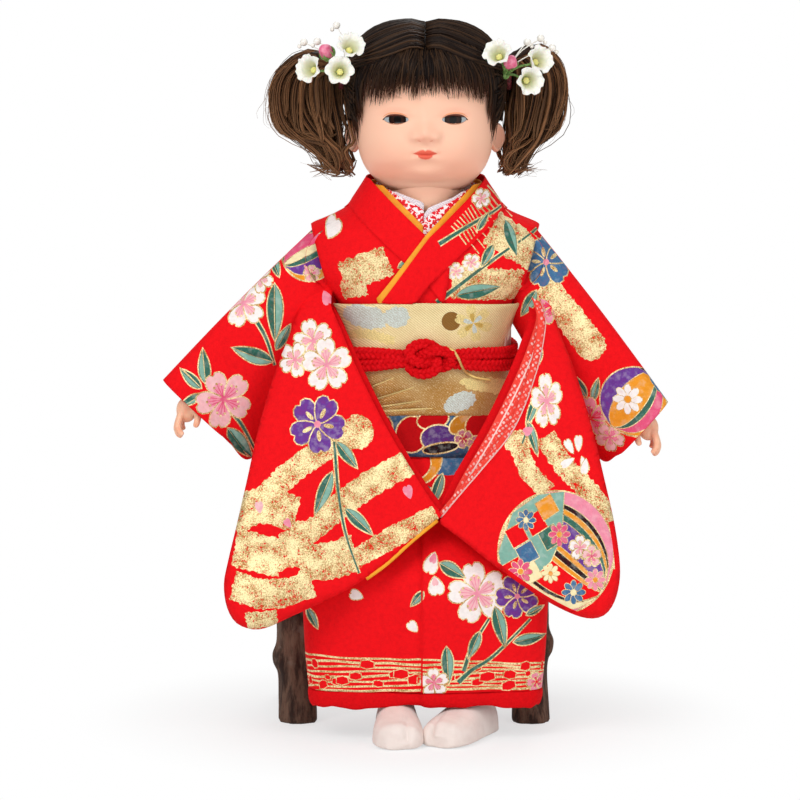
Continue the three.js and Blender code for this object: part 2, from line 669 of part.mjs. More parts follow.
function bowLoop(s) {
  const rings = [[], []];
  const half = 15;
  for (const [z, fade] of [[-17, 0.94], [-8, 1], [8, 1], [17, 0.94]]) {
    rings[0].push(oval(half * fade, BOW_Y, BOW_Y + BOW_DEPTH * fade, BOW_Z + z, 2.6, 20, s * 23.5));
  }
  for (const z of [-19, 19]) {
    rings[1].push(oval(half - 3.2, BOW_Y + 2.2, BOW_Y + BOW_DEPTH - 3.2, BOW_Z + z, 2.6, 20, s * 23.5));
  }
  return solid(loft(rings[0])).subtract(solid(loft(rings[1])));
}

for (const { name, s } of SIDES) piece("obi_bow_" + name, bowLoop(s), GOLD, 0.45, 0.5);
piece("obi_bow_knot", loft([
  oval(7.4, BOW_Y, BOW_Y + BOW_DEPTH + 2, BOW_Z - 15, 3, 20),
  oval(7.9, BOW_Y, BOW_Y + BOW_DEPTH + 3, BOW_Z, 3, 20),
  oval(7.4, BOW_Y, BOW_Y + BOW_DEPTH + 2, BOW_Z + 15, 3, 20),
]), GOLD, 0.45, 0.5);
const TAIL_TOP = BOW_Z - 17 - GAP;
piece("obi_bow_tail", loft([
  oval(23, BOW_Y, BOW_Y + 3.4, TAIL_TOP - 36, 5, 24),
  oval(22, BOW_Y + 0.4, BOW_Y + 4.4, TAIL_TOP - 18, 5, 24),
  oval(19, BOW_Y + 0.4, BOW_Y + 5.4, TAIL_TOP, 5, 24),
]), GOLD, 0.45, 0.5);

// Legs bend over the seat's front edge and stand in the tabi.
const FEET = [
  { name: "right", s: -1, x: -15.5, turn: 2 },
  { name: "left", s: 1, x: 29.5, turn: -16 },
];
const FOOT_BACK = -54;
const ANKLE_TOP = 34;

function tabi({ x, turn }) {
  const rows = [
    [0, 6, 15], [0.06, 9, 17.5], [0.22, 10.6, FOOT_HEIGHT + 2], [0.45, 11.6, FOOT_HEIGHT],
    [0.66, FOOT_WIDTH / 2, FOOT_HEIGHT - 3.5], [0.84, FOOT_WIDTH / 2 - 0.4, FOOT_HEIGHT - 6],
    [0.95, FOOT_WIDTH / 2 - 3, FOOT_HEIGHT - 8.5], [1, 6.5, 6.5],
  ];
  const rings = rows.map(([along, halfWidth, height]) => {
    const ring = [];
    for (let i = 0; i < 14; i++) {
      const angle = (i / 14) * Math.PI * 2;
      const across = halfWidth * signedPower(Math.cos(angle), 0.8);
      const rise = Math.sin(angle);
      const z = rise > 0 ? 4 + (height - 4) * rise ** 0.85 : 4 - 4 * Math.abs(rise) ** 0.35;
      ring.push(V(across, -along * FOOT_LENGTH, z));
    }
    return ring;
  });
  const ankle = loft([0, 1, 2].map((k) =>
    oval(ANKLE_RADIUS - 0.3 * k, -19.5, 2 * ANKLE_RADIUS - 22.5, 9 + k * (ANKLE_TOP - 9) / 2, 2.2, 16)));
  const whole = surface(join(solid(loft(rings)), solid(ankle)));
  whole.rotateZ(THREE.MathUtils.degToRad(turn));
  whole.translate(x, FOOT_BACK, 0);
  return whole;
}

for (const foot of FEET) {
  piece(foot.name + "_tabi", tabi(foot), WHITE, 0.8);
  const turn = THREE.MathUtils.degToRad(foot.turn);
  const ankle = V(foot.x + Math.sin(turn) * 11.5, FOOT_BACK - Math.cos(turn) * 11.5, ANKLE_TOP - 3);
  const hip = V(foot.s * 20, -D + 2, SEAT_HEIGHT + 21);
  const thigh = V(foot.s * 21, -D - 18, SEAT_HEIGHT + 5);
  const knee = V(foot.s * 21 + 2, -D - 32, KNEE_Z - 8);
  const shin = ankle.clone().lerp(knee, 0.5).add(V(0, 1, 0));
  const leg = solid(limb([hip, thigh, knee, shin, ankle], [7, 9, 10.5, 9.8, 8], 12, 1, 10));
  const shoe = box(-80, 80, -150, 0, -10, ANKLE_TOP + GAP);
  piece(foot.name + "_leg", leg.subtract(shoe).subtract(torsoLoft(GAP)), SKIN, 0.7);
}

// Arms, hands and sleeves, per side.
function sleeveRing(side, t, inset) {
  const topRow = [[0, 57, SHOULDER_Z + 15.5], [1, side.cuffTop[0], side.cuffTop[1]]];
  const lowRow = [[-0.15, 40, SHOULDER_Z - 28], [0, 46.5, SHOULDER_Z - 37], [0.35, 67, SHOULDER_Z - 72],
    [0.7, 91, SHOULDER_Z - 103], [1, side.cuffLow[0], side.cuffLow[1]]];
  const lerp = (k) => topRow[0][k] + (topRow[1][k] - topRow[0][k]) * (k === 2 ? Math.max(0, t) : t);
  const low = sample(lowRow, t);
  const bulge = 4 * Math.sin(Math.PI * Math.min(Math.max(t, 0), 1));
  const top = V(side.s * lerp(1), CUFF_REACH * t, lerp(2) + bulge * 0.4);
  const bottom = V(side.s * low[0], CUFF_REACH * t - 3 * t, low[1]);
  const centre = top.clone().lerp(bottom, 0.5);
  const up = top.clone().sub(bottom);
  const half = up.length() / 2 - inset;
  up.normalize();
  const depth = (34 - 17 * Math.min(1, Math.max(0, t) ** 0.6)) / 2 - inset;
  const ring = [];
  for (let i = 0; i < 14; i++) {
    const angle = (i / 14) * Math.PI * 2;
    ring.push(centre.clone().addScaledVector(up, half * signedPower(Math.cos(angle), 0.85))
      .add(V(0, depth * signedPower(Math.sin(angle), 0.85), 0)));
  }
  return ring;
}

// The hanging part: rows of drop below the shoulder, inner edge, outer edge, back face.
const HANG = [
  [-13, 44, 62, -8], [-22, 47, 63, -15], [-34, 45, 68, -25], [-56, 34.5, 78, -40],
  [-82, 21, 86, -53], [-108, 5, 92, -65], [-129, -4.2, 97, -78.5],
  [-148, 25, 102, -91.5], [-165, 50, 103.5, -97], [-178, 68, 100, -98],
  [-186, 80, 92, -98],
];

function hangLoft(side, spread, inset, mouth, from, to) {
  const rows = HANG.slice(from, to);
  const rings = rows.map(([drop, inner, outer, back], r) => {
    const last = to === HANG.length && r === rows.length - 1;
    const z = SHOULDER_Z + drop + (last ? inset : 0);
    const apart = THREE.MathUtils.smoothstep(-drop, 22, 117)
      * (1 - THREE.MathUtils.smoothstep(-drop, 129, 182));
    const shift = side.s > 0 ? 10.5 * apart : 0;
    const open = drop > -128 ? mouth : 0;
    const bottomLift = drop <= -128 ? inset * 1.6 : inset;
    const x0 = inner + shift - open + (open ? 0 : bottomLift);
    const x1 = outer - inset;
    const y0 = back - SLEEVE_BAG + spread;
    const y1 = back - spread;
    const ring = [];
    const steps = 4;
    for (let k = 0; k <= steps; k++) ring.push([k / steps, y0]);
    for (let k = steps; k >= 0; k--) ring.push([k / steps, y1]);
    return ring.map(([u, y]) => {
      const x = x0 + (x1 - x0) * u;
      const wave = 1.6 * Math.sin((x - 10) / 11) * Math.min(1, Math.max(0, -drop - 20) / 60);
      return V(side.s * x, y + wave, z);
    });
  });
  return loft(rings);
}

function hand(side) {
  const wrist = V(side.s * side.wrist[0], CUFF_REACH + 1.5, side.wrist[1]);
  const point = (x, y, z) => wrist.clone().add(V(side.s * x, y, z));
  const palm = ball(point(4.5, -1, -8), 6, 8, 6, V(0.95, 0.62, 1.1));
  const stem = rod(point(-1.5, 0, 3), point(3.5, -0.5, -6), 4, 4, 8);
  let whole = join(stem, palm);
  const fingers = [
    [[7.6, -3.2, -10], [9.4, -5.6, -16.5], [6.6, -7.2, -20.5]],
    [[7.8, -1.2, -10.4], [9.8, -2.6, -17.5], [7.4, -4, -22]],
    [[7.2, 0.8, -10.4], [9, 0.2, -17], [6.9, -0.8, -21]],
    [[6, 2.4, -10], [7.6, 2.6, -15.5], [6, 2.2, -19]],
    [[1.6, -3.2, -7], [-1.4, -6, -12], [0.4, -7.4, -17]],
  ];
  for (const [a, b, c] of fingers) {
    whole = join(whole, solid(limb([point(...a), point(...b), point(...c)], [1.9, 1.6, 1.1], 5, 1, 3)));
  }
  return whole;
}

const bodyRoom = join(
  bodyLoft(OBI_OUT + 2 * CORD_RADIUS * 0.72 + 3 * GAP, OBI_Z - 2, OBI_TOP + 1),
  bodyLoft(ROBE_OUT + 2 * GAP, OBI_TOP - 1, COLLAR_TOP - 7),
);

// Room that the bodice's shoulder needs, seen from an arm that is raised by some degrees.
const RAISE_STEPS = [8, 15, 22, 30];
function raisedRoom(s, pivot) {
  const shoulder = bodyLoft(ROBE_OUT + 2 * GAP, OBI_TOP - 1, COLLAR_TOP - 7);
  return join(...RAISE_STEPS.map((degrees) => {
    const turned = surface(shoulder);
    turned.translate(-pivot.x, -pivot.y, -pivot.z);
    turned.rotateY(THREE.MathUtils.degToRad(s * degrees));
    turned.translate(pivot.x, pivot.y, pivot.z);
    return solid(turned);
  }));
}

for (const side of SIDES) {
  const { name, s, pivot } = side;
  const wrist = V(s * side.wrist[0], CUFF_REACH + 1.5, side.wrist[1]);
  const along = wrist.clone().sub(pivot).normalize();
  const armEnd = wrist.clone().addScaledVector(along, -3.4).add(V(0, 2.2, 1.2));
  const upper = pivot.clone().lerp(armEnd, 0.3).setY(CUFF_REACH * 0.19);
  const elbow = pivot.clone().lerp(armEnd, 0.6).setY(CUFF_REACH * 0.5);
  const arm = join(ball(pivot, BALL_RADIUS, 12, 8),
    solid(limb([pivot.clone().addScaledVector(along, 3), upper, elbow, armEnd],
      [ARM_RADIUS, ARM_RADIUS, ARM_RADIUS * 0.92, ARM_RADIUS * 0.66], 9, 1, 6)));
  piece(name + "_arm", arm, SKIN, 0.7);
  piece(name + "_hand", hand(side).subtract(solid(limb(
    [armEnd.clone().addScaledVector(along, -20), armEnd.clone().addScaledVector(along, GAP)],
    [ARM_RADIUS + 2, ARM_RADIUS + 2], 14, 1, 2))), SKIN, 0.5);
  const rings = [-0.06, 0, 0.2, 0.45, 0.72, 1].map((t) => sleeveRing(side, t, 0));
  const hollow = [-0.2, 0, 0.2, 0.45, 0.72, 1, 1.06].map((t) => sleeveRing(side, t, CLOTH));
  const bag = solid(hangLoft(side, 0, 0, 0, 0, HANG.length))
    .subtract(solid(hangLoft(side, CLOTH, CLOTH * 1.3, 6, 2, HANG.length)));
  const shoulder = rod(pivot.clone().add(V(0, -60, 0)), pivot.clone().add(V(0, 60, 0)),
    SHOULDER_CAP + 4 * GAP, SHOULDER_CAP + 4 * GAP, 40);
  const tube = solid(loft(rings)).subtract(solid(loft(hollow)));
  const sleeve = join(tube, bag.subtract(solid(loft(hollow)))).subtract(shoulder).subtract(bodyRoom)
    .subtract(raisedRoom(s, pivot));
  piece(name + "_sleeve", sleeve, RED, 0.75);
  const under = hangLoft(side, CLOTH + 3.4 * GAP, CLOTH * 1.3 + 2, -1.2, 3, HANG.length);
  piece(name + "_under_sleeve", under, "#f3b9bd", 0.8);
}

// Head: rows of height share, half width, front, back; the face relief is added in front.
const HEAD = [
  [0, 17, 16.5, 17], [0.02, 20.5, 22.5, 18], [0.06, 24.5, 28.5, 20], [0.12, 28.5, 32.5, 23],
  [0.19, 31.5, 35.2, 27.5],
  [0.27, 33.8, 36.8, 32.5], [0.36, 35.6, 37.4, 37], [0.46, 36.6, 37.2, 40.3], [0.56, 37, 37, 42.2],
  [0.66, 37, 37, 42.5], [0.75, 36, 36, 41], [0.84, 33, 33, 37], [0.91, 28, 27.5, 31], [0.96, 21, 20, 23],
  [0.99, 12, 11, 13], [1, 4, 4, 4],
].map(([t, w, f, b]) => [t, w * HEAD_HALF_WIDTH / 37, f * HEAD_FRONT / 37.5, b * HEAD_BACK / 42.5]);

const bump = (x, z, atX, atZ, wide, tall) =>
  Math.exp(-(((x - atX) / wide) ** 2) - ((z - atZ) / tall) ** 2);
// Heights on the head are written for this head height and grow with it.
const FACE_ROWS = 83;
const faceZ = (h) => CHIN_Z + h * HEAD_HEIGHT / FACE_ROWS;
const EYE_X = 15.5;
const EYE_H = 40.5;

// Face relief in mm forward of the plain oval; h is the height above the chin.
function relief(x, h) {
  const nose = 4.2 * bump(x, h, 0, 32.5, 4.2, 4.6) + 1.6 * bump(x, h, 0, 39, 3.2, 7)
    + 1.1 * bump(Math.abs(x), h, 4.4, 30.8, 2.6, 2.2);
  const lips = 1.5 * bump(x, h, 0, 23.6, 5.6, 2) + 1.3 * bump(x, h, 0, 20.4, 4.6, 1.8)
    - 0.9 * bump(x, h, 0, 22, 5.4, 0.8);
  const cheeks = 2.2 * bump(Math.abs(x), h, 19, 24, 10, 10);
  const chin = 1.6 * bump(x, h, 0, 9.5, 8, 5) - 0.8 * bump(x, h, 0, 15.5, 9, 3);
  const sockets = -1.3 * bump(Math.abs(x), h, EYE_X - 1, EYE_H + 1, 8, 4.6);
  return nose + lips + cheeks + chin + sockets;
}

function headRing(t, offset, plain, count) {
  const [halfWidth, front, back] = sample(HEAD, t);
  const z = CHIN_Z + t * HEAD_HEIGHT + offset * (t - 0.35) * 1.5;
  const ring = oval(halfWidth + offset, -front - offset, back + offset, z, 2.15, count);
  if (plain) return ring;
  return ring.map((p) => {
    const facing = THREE.MathUtils.smoothstep(-p.y / (front + offset), 0.15, 0.6);
    return V(p.x, p.y - relief(p.x, t * FACE_ROWS) * facing, p.z);
  });
}

const headLevels = [0, 0.03, 0.08, 0.12, 0.17, 0.21, 0.245, 0.28, 0.33, 0.38, 0.44, 0.5, 0.6, 0.72,
  0.83, 0.92, 0.975, 1];
const hairLevels = [0, 0.06, 0.16, 0.32, 0.5, 0.66, 0.79, 0.88, 0.95, 1];
const headSolid = (offset, plain, levels, count) =>
  solid(loft(levels.map((t) => headRing(t, offset, plain, count))));

// Almond outline of an eye in the front view.
function almond(atX, inset) {
  const outline = [];
  for (let i = 0; i < 16; i++) {
    const angle = (i / 16) * Math.PI * 2;
    const tall = Math.sin(angle) > 0 ? 2.5 : 1.9;
    outline.push([atX + (7 - inset) * Math.cos(angle), faceZ(EYE_H) + (tall - inset) * Math.sin(angle)]);
  }
  return outline;
}

let head = headSolid(0, false, headLevels, 26);
for (const s of [-1, 1]) {
  const ear = ball(V(s * (HEAD_HALF_WIDTH + 0.2), 5, faceZ(26)), 6.5, 10, 8, V(0.5, 0.75, 1.15));
  const hollow = ball(V(s * (HEAD_HALF_WIDTH + 3.8), 3.4, faceZ(27)), 3.4, 8, 6, V(0.6, 0.8, 1.3));
  head = join(head, ear).subtract(hollow);
}
head = join(head, rod(V(0, 2, NECK_LOW), V(0, 2, CHIN_Z + 8), NECK_RADIUS, NECK_RADIUS, 20));
const EYE_BACK = -HEAD_FRONT + 14;
for (const { name, s } of SIDES) {
  head = head.subtract(frontPrism(almond(s * EYE_X, 0), -70, EYE_BACK));
  const eye = headSolid(-0.7, false, headLevels, 26)
    .intersect(frontPrism(almond(s * EYE_X, GAP), -70, EYE_BACK - GAP));
  piece(name + "_eye", eye, "#3a2418", 0.15);
}
piece("head_shell", head, SKIN, 0.45);

// Hair cap and fringe share one shell; the cut between them runs across the brow and down the temples.
const hairShell = headSolid(HAIR_THICK, true, hairLevels, 22)
  .subtract(headSolid(GAP, false, headLevels, 26));
const FRINGE_TOP = faceZ(67);
const FRINGE_LOW = faceZ(53);
const openFace = sidePrism([[-70, CHIN_Z - 30], [12, CHIN_Z - 30], [12, faceZ(12)], [15, faceZ(36)],
  [-2, faceZ(48)], [-12, FRINGE_TOP], [-70, FRINGE_TOP]], -70, 70);
const nape = box(-80, 80, -80, 80, CHIN_Z - 40, faceZ(11));
piece("hair_cap", hairShell.subtract(openFace).subtract(nape), HAIR, 0.5);
let fringe = hairShell.intersect(sidePrism([[-70, FRINGE_LOW - 4], [-8, FRINGE_LOW - 4],
  [-3, faceZ(48)], [-12.6, FRINGE_TOP - GAP], [-70, FRINGE_TOP - GAP]], -70, 70));
for (let i = -4; i <= 4; i++) {
  const x = i * 7.6;
  const low = FRINGE_LOW + 1.5 * Math.sin(i * 2.3);
  const notch = [[x - 3.1, FRINGE_LOW - 6], [x + 3.1, FRINGE_LOW - 6], [x + 0.4, low]];
  fringe = fringe.subtract(frontPrism(notch, -70, 0));
}
piece("hair_fringe", fringe, HAIR, 0.5);

// Pigtails, ties and flowers; their widths count outward from the side of the hair.
const HAIR_SIDE = HEAD_HALF_WIDTH + HAIR_THICK;
const TAIL_START = HAIR_SIDE + 2.4;
const PIGTAIL = { right: 1, left: 0.93 };
const TIE_X = HAIR_SIDE + 1.8;
const TIE_RADIUS = 7.4;
const TIE_THICK = 1.7;
const FLOWERS = {
  right: {
    hub: [0, -12, 59], bud: [8.4, -20, 70.5],
    blossoms: [[16.4, -21, 61], [1.9, -29, 57.5], [-1.6, -27, 72]],
    pearls: [[4.4, -14, 86], [21.4, -12, 77], [14.4, -13, 77.5]],
  },
  left: {
    hub: [0, -12, 60], bud: [4.4, -24, 66],
    blossoms: [[-2.6, -29, 70], [8.4, -27, 55], [17.4, -19, 66]],
    pearls: [[11.4, -12, 77], [18.4, -12, 79], [24.4, -11, 74]],
  },
};

function blossom(base, facing) {
  const rings = [];
  const profile = [[0, 0.9], [2, 3], [6.6, 8]];
  const inner = [[6.3, 7.2], [2.6, 1.8]];
  const wave = (r, angle) => r * (1 + (r > 4 ? 0.13 : 0.03) * Math.cos(5 * angle)) * BLOSSOM_RADIUS / 9;
  for (const [rise, r] of [...profile, ...inner]) {
    const ring = [];
    for (let i = 0; i < 15; i++) {
      const angle = (i / 15) * Math.PI * 2;
      ring.push(V(Math.cos(angle) * wave(r, angle), Math.sin(angle) * wave(r, angle), rise));
    }
    rings.push(ring);
  }
  const cup = loft(rings);
  const heart = ball(V(0, 0, 3), 1.7, 5, 4);
  const whole = surface(join(solid(cup), heart));
  whole.applyQuaternion(new THREE.Quaternion().setFromUnitVectors(V(0, 0, 1), facing.clone().normalize()));
  whole.translate(base.x, base.y, base.z);
  return whole;
}

for (const { name, s } of SIDES) {
  const reach = PIGTAIL[name];
  const at = (x, y, h) => V(s * (TAIL_START + x * reach), y, faceZ(h));
  const beside = ([x, y, h]) => V(s * (HAIR_SIDE + x), y, faceZ(h));
  const cap = headSolid(HAIR_THICK + GAP, true, hairLevels, 22);
  const tail = limb([at(-1, 5, 59), at(12, 4, 66), at(22, 3, 61), at(27, 1, 46), at(21, -1, 30),
    at(11, -2, 17), at(3, -3, 6)], [6, 10, 12, 12.4, 11, 8, 3.5], 11, 0.95, 11);
  const tieRing = (thick) => solid(new THREE.TorusGeometry(TIE_RADIUS, thick, 6, 14)
    .rotateY(Math.PI / 2 + s * 0.1).translate(s * TIE_X, 5, faceZ(58.5)));
  piece(name + "_hair_tie", tieRing(TIE_THICK).subtract(cap), "#7a1a22", 0.6);
  const pigtail = solid(tail).subtract(cap).subtract(tieRing(TIE_THICK + GAP));
  piece(name + "_pigtail", pigtail, "#3a2318", 0.5);

  const spray = FLOWERS[name];
  const hub = beside(spray.hub);
  let pin = ball(hub, 2, 6, 5);
  spray.blossoms.forEach(([x, y, h], i) => {
    const base = beside([x, y, h]);
    const facing = V(s * (x - 5.4) * 0.03, -1, (h - 58) * 0.02).normalize();
    const stemEnd = base.clone().addScaledVector(facing, -2 * GAP);
    pin = join(pin, rod(hub, stemEnd, STEM_RADIUS, STEM_RADIUS, 5));
    piece(name + "_blossom_" + (i + 1), blossom(base, facing), "#f7f4ee", 0.6);
  });
  const budAt = beside(spray.bud);
  const budOut = budAt.clone().sub(hub).normalize();
  pin = join(pin, rod(hub, budAt, STEM_RADIUS, STEM_RADIUS, 5));
  const budHalf = 1 / Math.hypot(budOut.x / 3.4, budOut.y / 3.4, budOut.z / 4.1);
  const bud = ball(budAt.clone().addScaledVector(budOut, budHalf + 0.5 * GAP), 3.4, 8, 6, V(1, 1, 1.2));
  piece(name + "_bud", bud, "#f29bb2", 0.6);
  let pearls = null;
  const root = hub.clone().add(V(s * 1.2, 0, 2.9));
  for (const place of spray.pearls) {
    const end = beside(place);
    const strand = join(rod(root, end, 0.5, 0.5, 4), ball(end, 1.9, 6, 5));
    pearls = pearls ? join(pearls, strand) : join(ball(root, 0.95, 8, 6), strand);
  }
  piece(name + "_pearl_spray", pearls, "#f4efe6", 0.25);
  piece(name + "_flower_pin", pin.subtract(cap), "#6d8a4a", 0.6);
}

// The frame's origin is under the middle of the whole part.
const bounds = new THREE.Box3().setFromObject(doll);
const middle = bounds.getCenter(V(0, 0, 0));
doll.position.set(-middle.x, -middle.y, -bounds.min.z);
const part = new THREE.Group();
part.name = "part";
part.add(doll);
export default part;
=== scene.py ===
"""Ichimatsu doll in a red printed kimono: the looks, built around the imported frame.

Shapes are worked out in millimetres in the doll's own coordinates: x to the doll's left,
y to its back, z up, with the torso's axis at x = y = 0.  place() turns them into the frame.
"""
import json
import math
import random

import bpy
import numpy as np
from bpy.props import FloatProperty, FloatVectorProperty, PointerProperty
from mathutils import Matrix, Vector, kdtree
from mathutils.bvhtree import BVHTree
from mathutils.geometry import delaunay_2d_cdt


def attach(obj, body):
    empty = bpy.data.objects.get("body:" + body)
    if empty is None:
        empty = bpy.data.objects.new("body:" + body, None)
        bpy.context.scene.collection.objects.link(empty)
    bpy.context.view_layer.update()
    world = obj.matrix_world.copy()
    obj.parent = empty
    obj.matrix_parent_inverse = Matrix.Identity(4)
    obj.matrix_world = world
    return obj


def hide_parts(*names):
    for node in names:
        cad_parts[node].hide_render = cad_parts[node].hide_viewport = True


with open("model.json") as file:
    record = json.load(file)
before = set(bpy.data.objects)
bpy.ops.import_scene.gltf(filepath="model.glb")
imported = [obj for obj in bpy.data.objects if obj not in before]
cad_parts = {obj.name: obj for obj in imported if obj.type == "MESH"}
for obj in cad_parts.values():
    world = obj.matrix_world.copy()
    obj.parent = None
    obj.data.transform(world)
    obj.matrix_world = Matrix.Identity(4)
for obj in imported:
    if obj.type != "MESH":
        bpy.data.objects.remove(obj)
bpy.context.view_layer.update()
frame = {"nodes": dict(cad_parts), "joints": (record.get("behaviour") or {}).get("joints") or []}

bl_info = {
    "name": "Ichimatsu doll",
    "version": (1, 0, 0),
    "blender": (4, 5, 0),
    "location": "View3D > Sidebar > Doll",
    "description": "Builds a seated kimono doll around its packed frame",
    "category": "Add Mesh",
}

# Frame and driving heights, in millimetres
MM = 0.001
TINY = 1e-9
JOINTS = {joint["name"]: joint for joint in frame["joints"]}
NECK_PIVOT = np.array((0.0, 2.0, 277.0))
SHIFT = np.array(JOINTS["head_turn"]["pos_m"]) - NECK_PIVOT * MM
CHIN_Z = 278.0
HEAD_HEIGHT = 83.0
SHOULDER_Z = 242.0
SHOULDER_X = 45.0
OBI_LOW, OBI_TOP = 163.0, 222.0
HALF_WIDTH, HALF_DEPTH = 42.1, 32.0
OBI_OUT = 8.2
SIDES = {"right": -1, "left": 1}


def place(points):
    """Doll millimetres to frame metres."""
    return np.asarray(points, float) * MM + SHIFT


def smooth(value, low, high):
    """Smooth step from 0 at low to 1 at high."""
    t = np.clip((np.asarray(value, float) - low) / (high - low), 0, 1)
    return t * t * (3 - 2 * t)


def bump(x, z, at_x, at_z, wide, tall):
    """Soft hill of height 1."""
    return np.exp(-((x - at_x) / wide) ** 2 - ((z - at_z) / tall) ** 2)


def signed_power(value, power):
    return np.sign(value) * np.abs(value) ** power


def rows_at(rows, at):
    """Smooth values between rows whose first column rises."""
    rows = np.asarray(rows, float)
    knots, values = rows[:, 0], rows[:, 1:]
    slopes = np.gradient(values, knots, axis=0)
    at = np.clip(np.asarray(at, float), knots[0], knots[-1])
    i = np.clip(np.searchsorted(knots, at) - 1, 0, len(knots) - 2)
    gap = (knots[i + 1] - knots[i])[..., None]
    s = ((at - knots[i])[..., None]) / gap
    low = (2 * s**3 - 3 * s**2 + 1) * values[i] + (s**3 - 2 * s**2 + s) * gap * slopes[i]
    high = (3 * s**2 - 2 * s**3) * values[i + 1] + (s**3 - s**2) * gap * slopes[i + 1]
    return low + high


def path_at(points, t):
    """Smooth curve through points, t from 0 to 1."""
    points = np.asarray(points, float)
    rows = np.column_stack([np.linspace(0, 1, len(points)), points])
    return rows_at(rows, t)


def unit(vectors):
    """Rows of an array as unit vectors."""
    return vectors / (np.linalg.norm(vectors, axis=1)[:, None] + TINY)


def run(path):
    """Distance along a path at each of its points."""
    return np.concatenate([[0], np.cumsum(np.linalg.norm(np.diff(path, axis=0), axis=1))])


def even(path, step):
    """A path of points with even steps."""
    path = np.asarray(path, float)
    along = run(path)
    at = np.linspace(0, along[-1], max(3, int(along[-1] / step)))
    return np.column_stack([np.interp(at, along, column) for column in path.T])


def circle(count):
    """Angles of points spread evenly round a circle."""
    return np.arange(count) * 2 * math.pi / count


# Meshes

def add_object(name, points, faces, material):
    """A mesh object from doll millimetres."""
    mesh = bpy.data.meshes.new(name)
    mesh.from_pydata(place(points).tolist(), [], [list(map(int, f)) for f in faces])
    mesh.polygons.foreach_set("use_smooth", [True] * len(mesh.polygons))
    for one in material if isinstance(material, (list, tuple)) else [material]:
        mesh.materials.append(one)
    mesh.update()
    made = bpy.data.objects.new(name, mesh)
    bpy.context.scene.collection.objects.link(made)
    return made


def settle(piece, body, slot, *nodes):
    """The piece rides on a body and stands for CAD nodes, which it hides; slot is not used."""
    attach(piece, body)
    if nodes:
        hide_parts(*nodes)
    return piece


def grid_faces(rings, count):
    """Quads between closed rings whose points run ring by ring."""
    return [
        (r * count + c, r * count + (c + 1) % count, (r + 1) * count + (c + 1) % count, (r + 1) * count + c)
        for r in range(rings - 1) for c in range(count)
    ]


def capped(rings):
    """Points and faces of a solid from rings of one size, closed by flat ends."""
    count, last = len(rings[0]), (len(rings) - 1) * len(rings[0])
    ends = [tuple(range(count - 1, -1, -1)), tuple(range(last, last + count))]
    return np.concatenate(rings), grid_faces(len(rings), count) + ends


def tube(path, radii, sides=8, flat=1.0):
    """Points and faces of a tube along a path of points."""
    path = np.asarray(path, float)
    radii = np.broadcast_to(np.asarray(radii, float), len(path))
    ahead = unit(np.gradient(path, axis=0))
    side = np.cross(ahead[0], (0.31, 0.87, 0.38))
    angles = circle(sides)
    rings = []
    for centre, along, radius in zip(path, ahead, radii):
        side = side - along * side.dot(along)
        side /= np.linalg.norm(side) + TINY
        up = np.cross(along, side)
        rings.append(centre + radius * (np.outer(np.cos(angles), side) + flat * np.outer(np.sin(angles), up)))
    faces = grid_faces(len(path), sides)
    ends, last = len(path) * sides, (len(path) - 1) * sides
    for k in range(sides):
        faces.append((ends, (k + 1) % sides, k))
        faces.append((ends + 1, last + k, last + (k + 1) % sides))
    return np.concatenate(rings + [path[[0, -1]]]), faces


def gather(parts):
    """Several (points, faces) pairs as one."""
    points, faces, count = [], [], 0
    for some, those in parts:
        points.append(np.asarray(some, float))
        faces.extend([tuple(i + count for i in f) for f in those])
        count += len(some)
    return np.concatenate(points), faces


def ellipsoid(centre, radii, rings=12, sides=16):
    """Points and faces of an ellipsoid."""
    steps = np.linspace(0, math.pi, rings + 1)
    points = [
        (math.sin(a) * math.cos(b), math.sin(a) * math.sin(b), math.cos(a))
        for a in steps for b in circle(sides)
    ]
    return np.array(points) * radii + centre, grid_faces(rings + 1, sides)


def thicken(piece, thickness, lining=0, offset=-1.0):
    """Cloth thickness in millimetres, with a lining on the inside."""
    shell = piece.modifiers.new("thickness", "SOLIDIFY")
    shell.thickness = thickness * MM
    shell.offset = offset
    shell.material_offset = lining
    shell.material_offset_rim = lining


def paint_points(piece, colours):
    """Colour per point, or one colour for all."""
    layer = piece.data.color_attributes.new("paint", "FLOAT_COLOR", "POINT")
    colours = np.broadcast_to(np.asarray(colours, float), (len(piece.data.vertices), 3))
    colours = np.column_stack([colours, np.zeros(len(colours))])
    layer.data.foreach_set("color", colours.ravel().astype(np.float32))


# Shader expressions

class Value:
    """A shader socket on which Python operators add Math nodes."""

    def __init__(self, finish, socket):
        self.finish = finish
        self.socket = socket

    def math(self, operation, first, second):
        return self.finish.node("ShaderNodeMath", {"operation": operation}, {0: first, 1: second})

    def __add__(self, other):
        return self.math("ADD", self, other)

    __radd__ = __add__

    def __mul__(self, other):
        return self.math("MULTIPLY", self, other)

    __rmul__ = __mul__

    def __sub__(self, other):
        return self.math("SUBTRACT", self, other)

    def __rsub__(self, other):
        return self.math("SUBTRACT", other, self)

    def __truediv__(self, other):
        return self.math("DIVIDE", self, other)

    def __gt__(self, other):
        return self.math("GREATER_THAN", self, other)

    def __lt__(self, other):
        return self.math("LESS_THAN", self, other)

    def sine(self):
        return self.math("SINE", self, 0.0)

    def size(self):
        return self.math("ABSOLUTE", self, 0.0)

    def above(self, other):
        return self.math("MAXIMUM", self, other)

    def step(self, low, high):
        """0 below low, 1 above high, smooth between."""
        return self.finish.node(
            "ShaderNodeMapRange", {"interpolation_type": "SMOOTHSTEP"},
            {"Value": self, "From Min": low, "From Max": high, "To Min": 0.0, "To Max": 1.0})


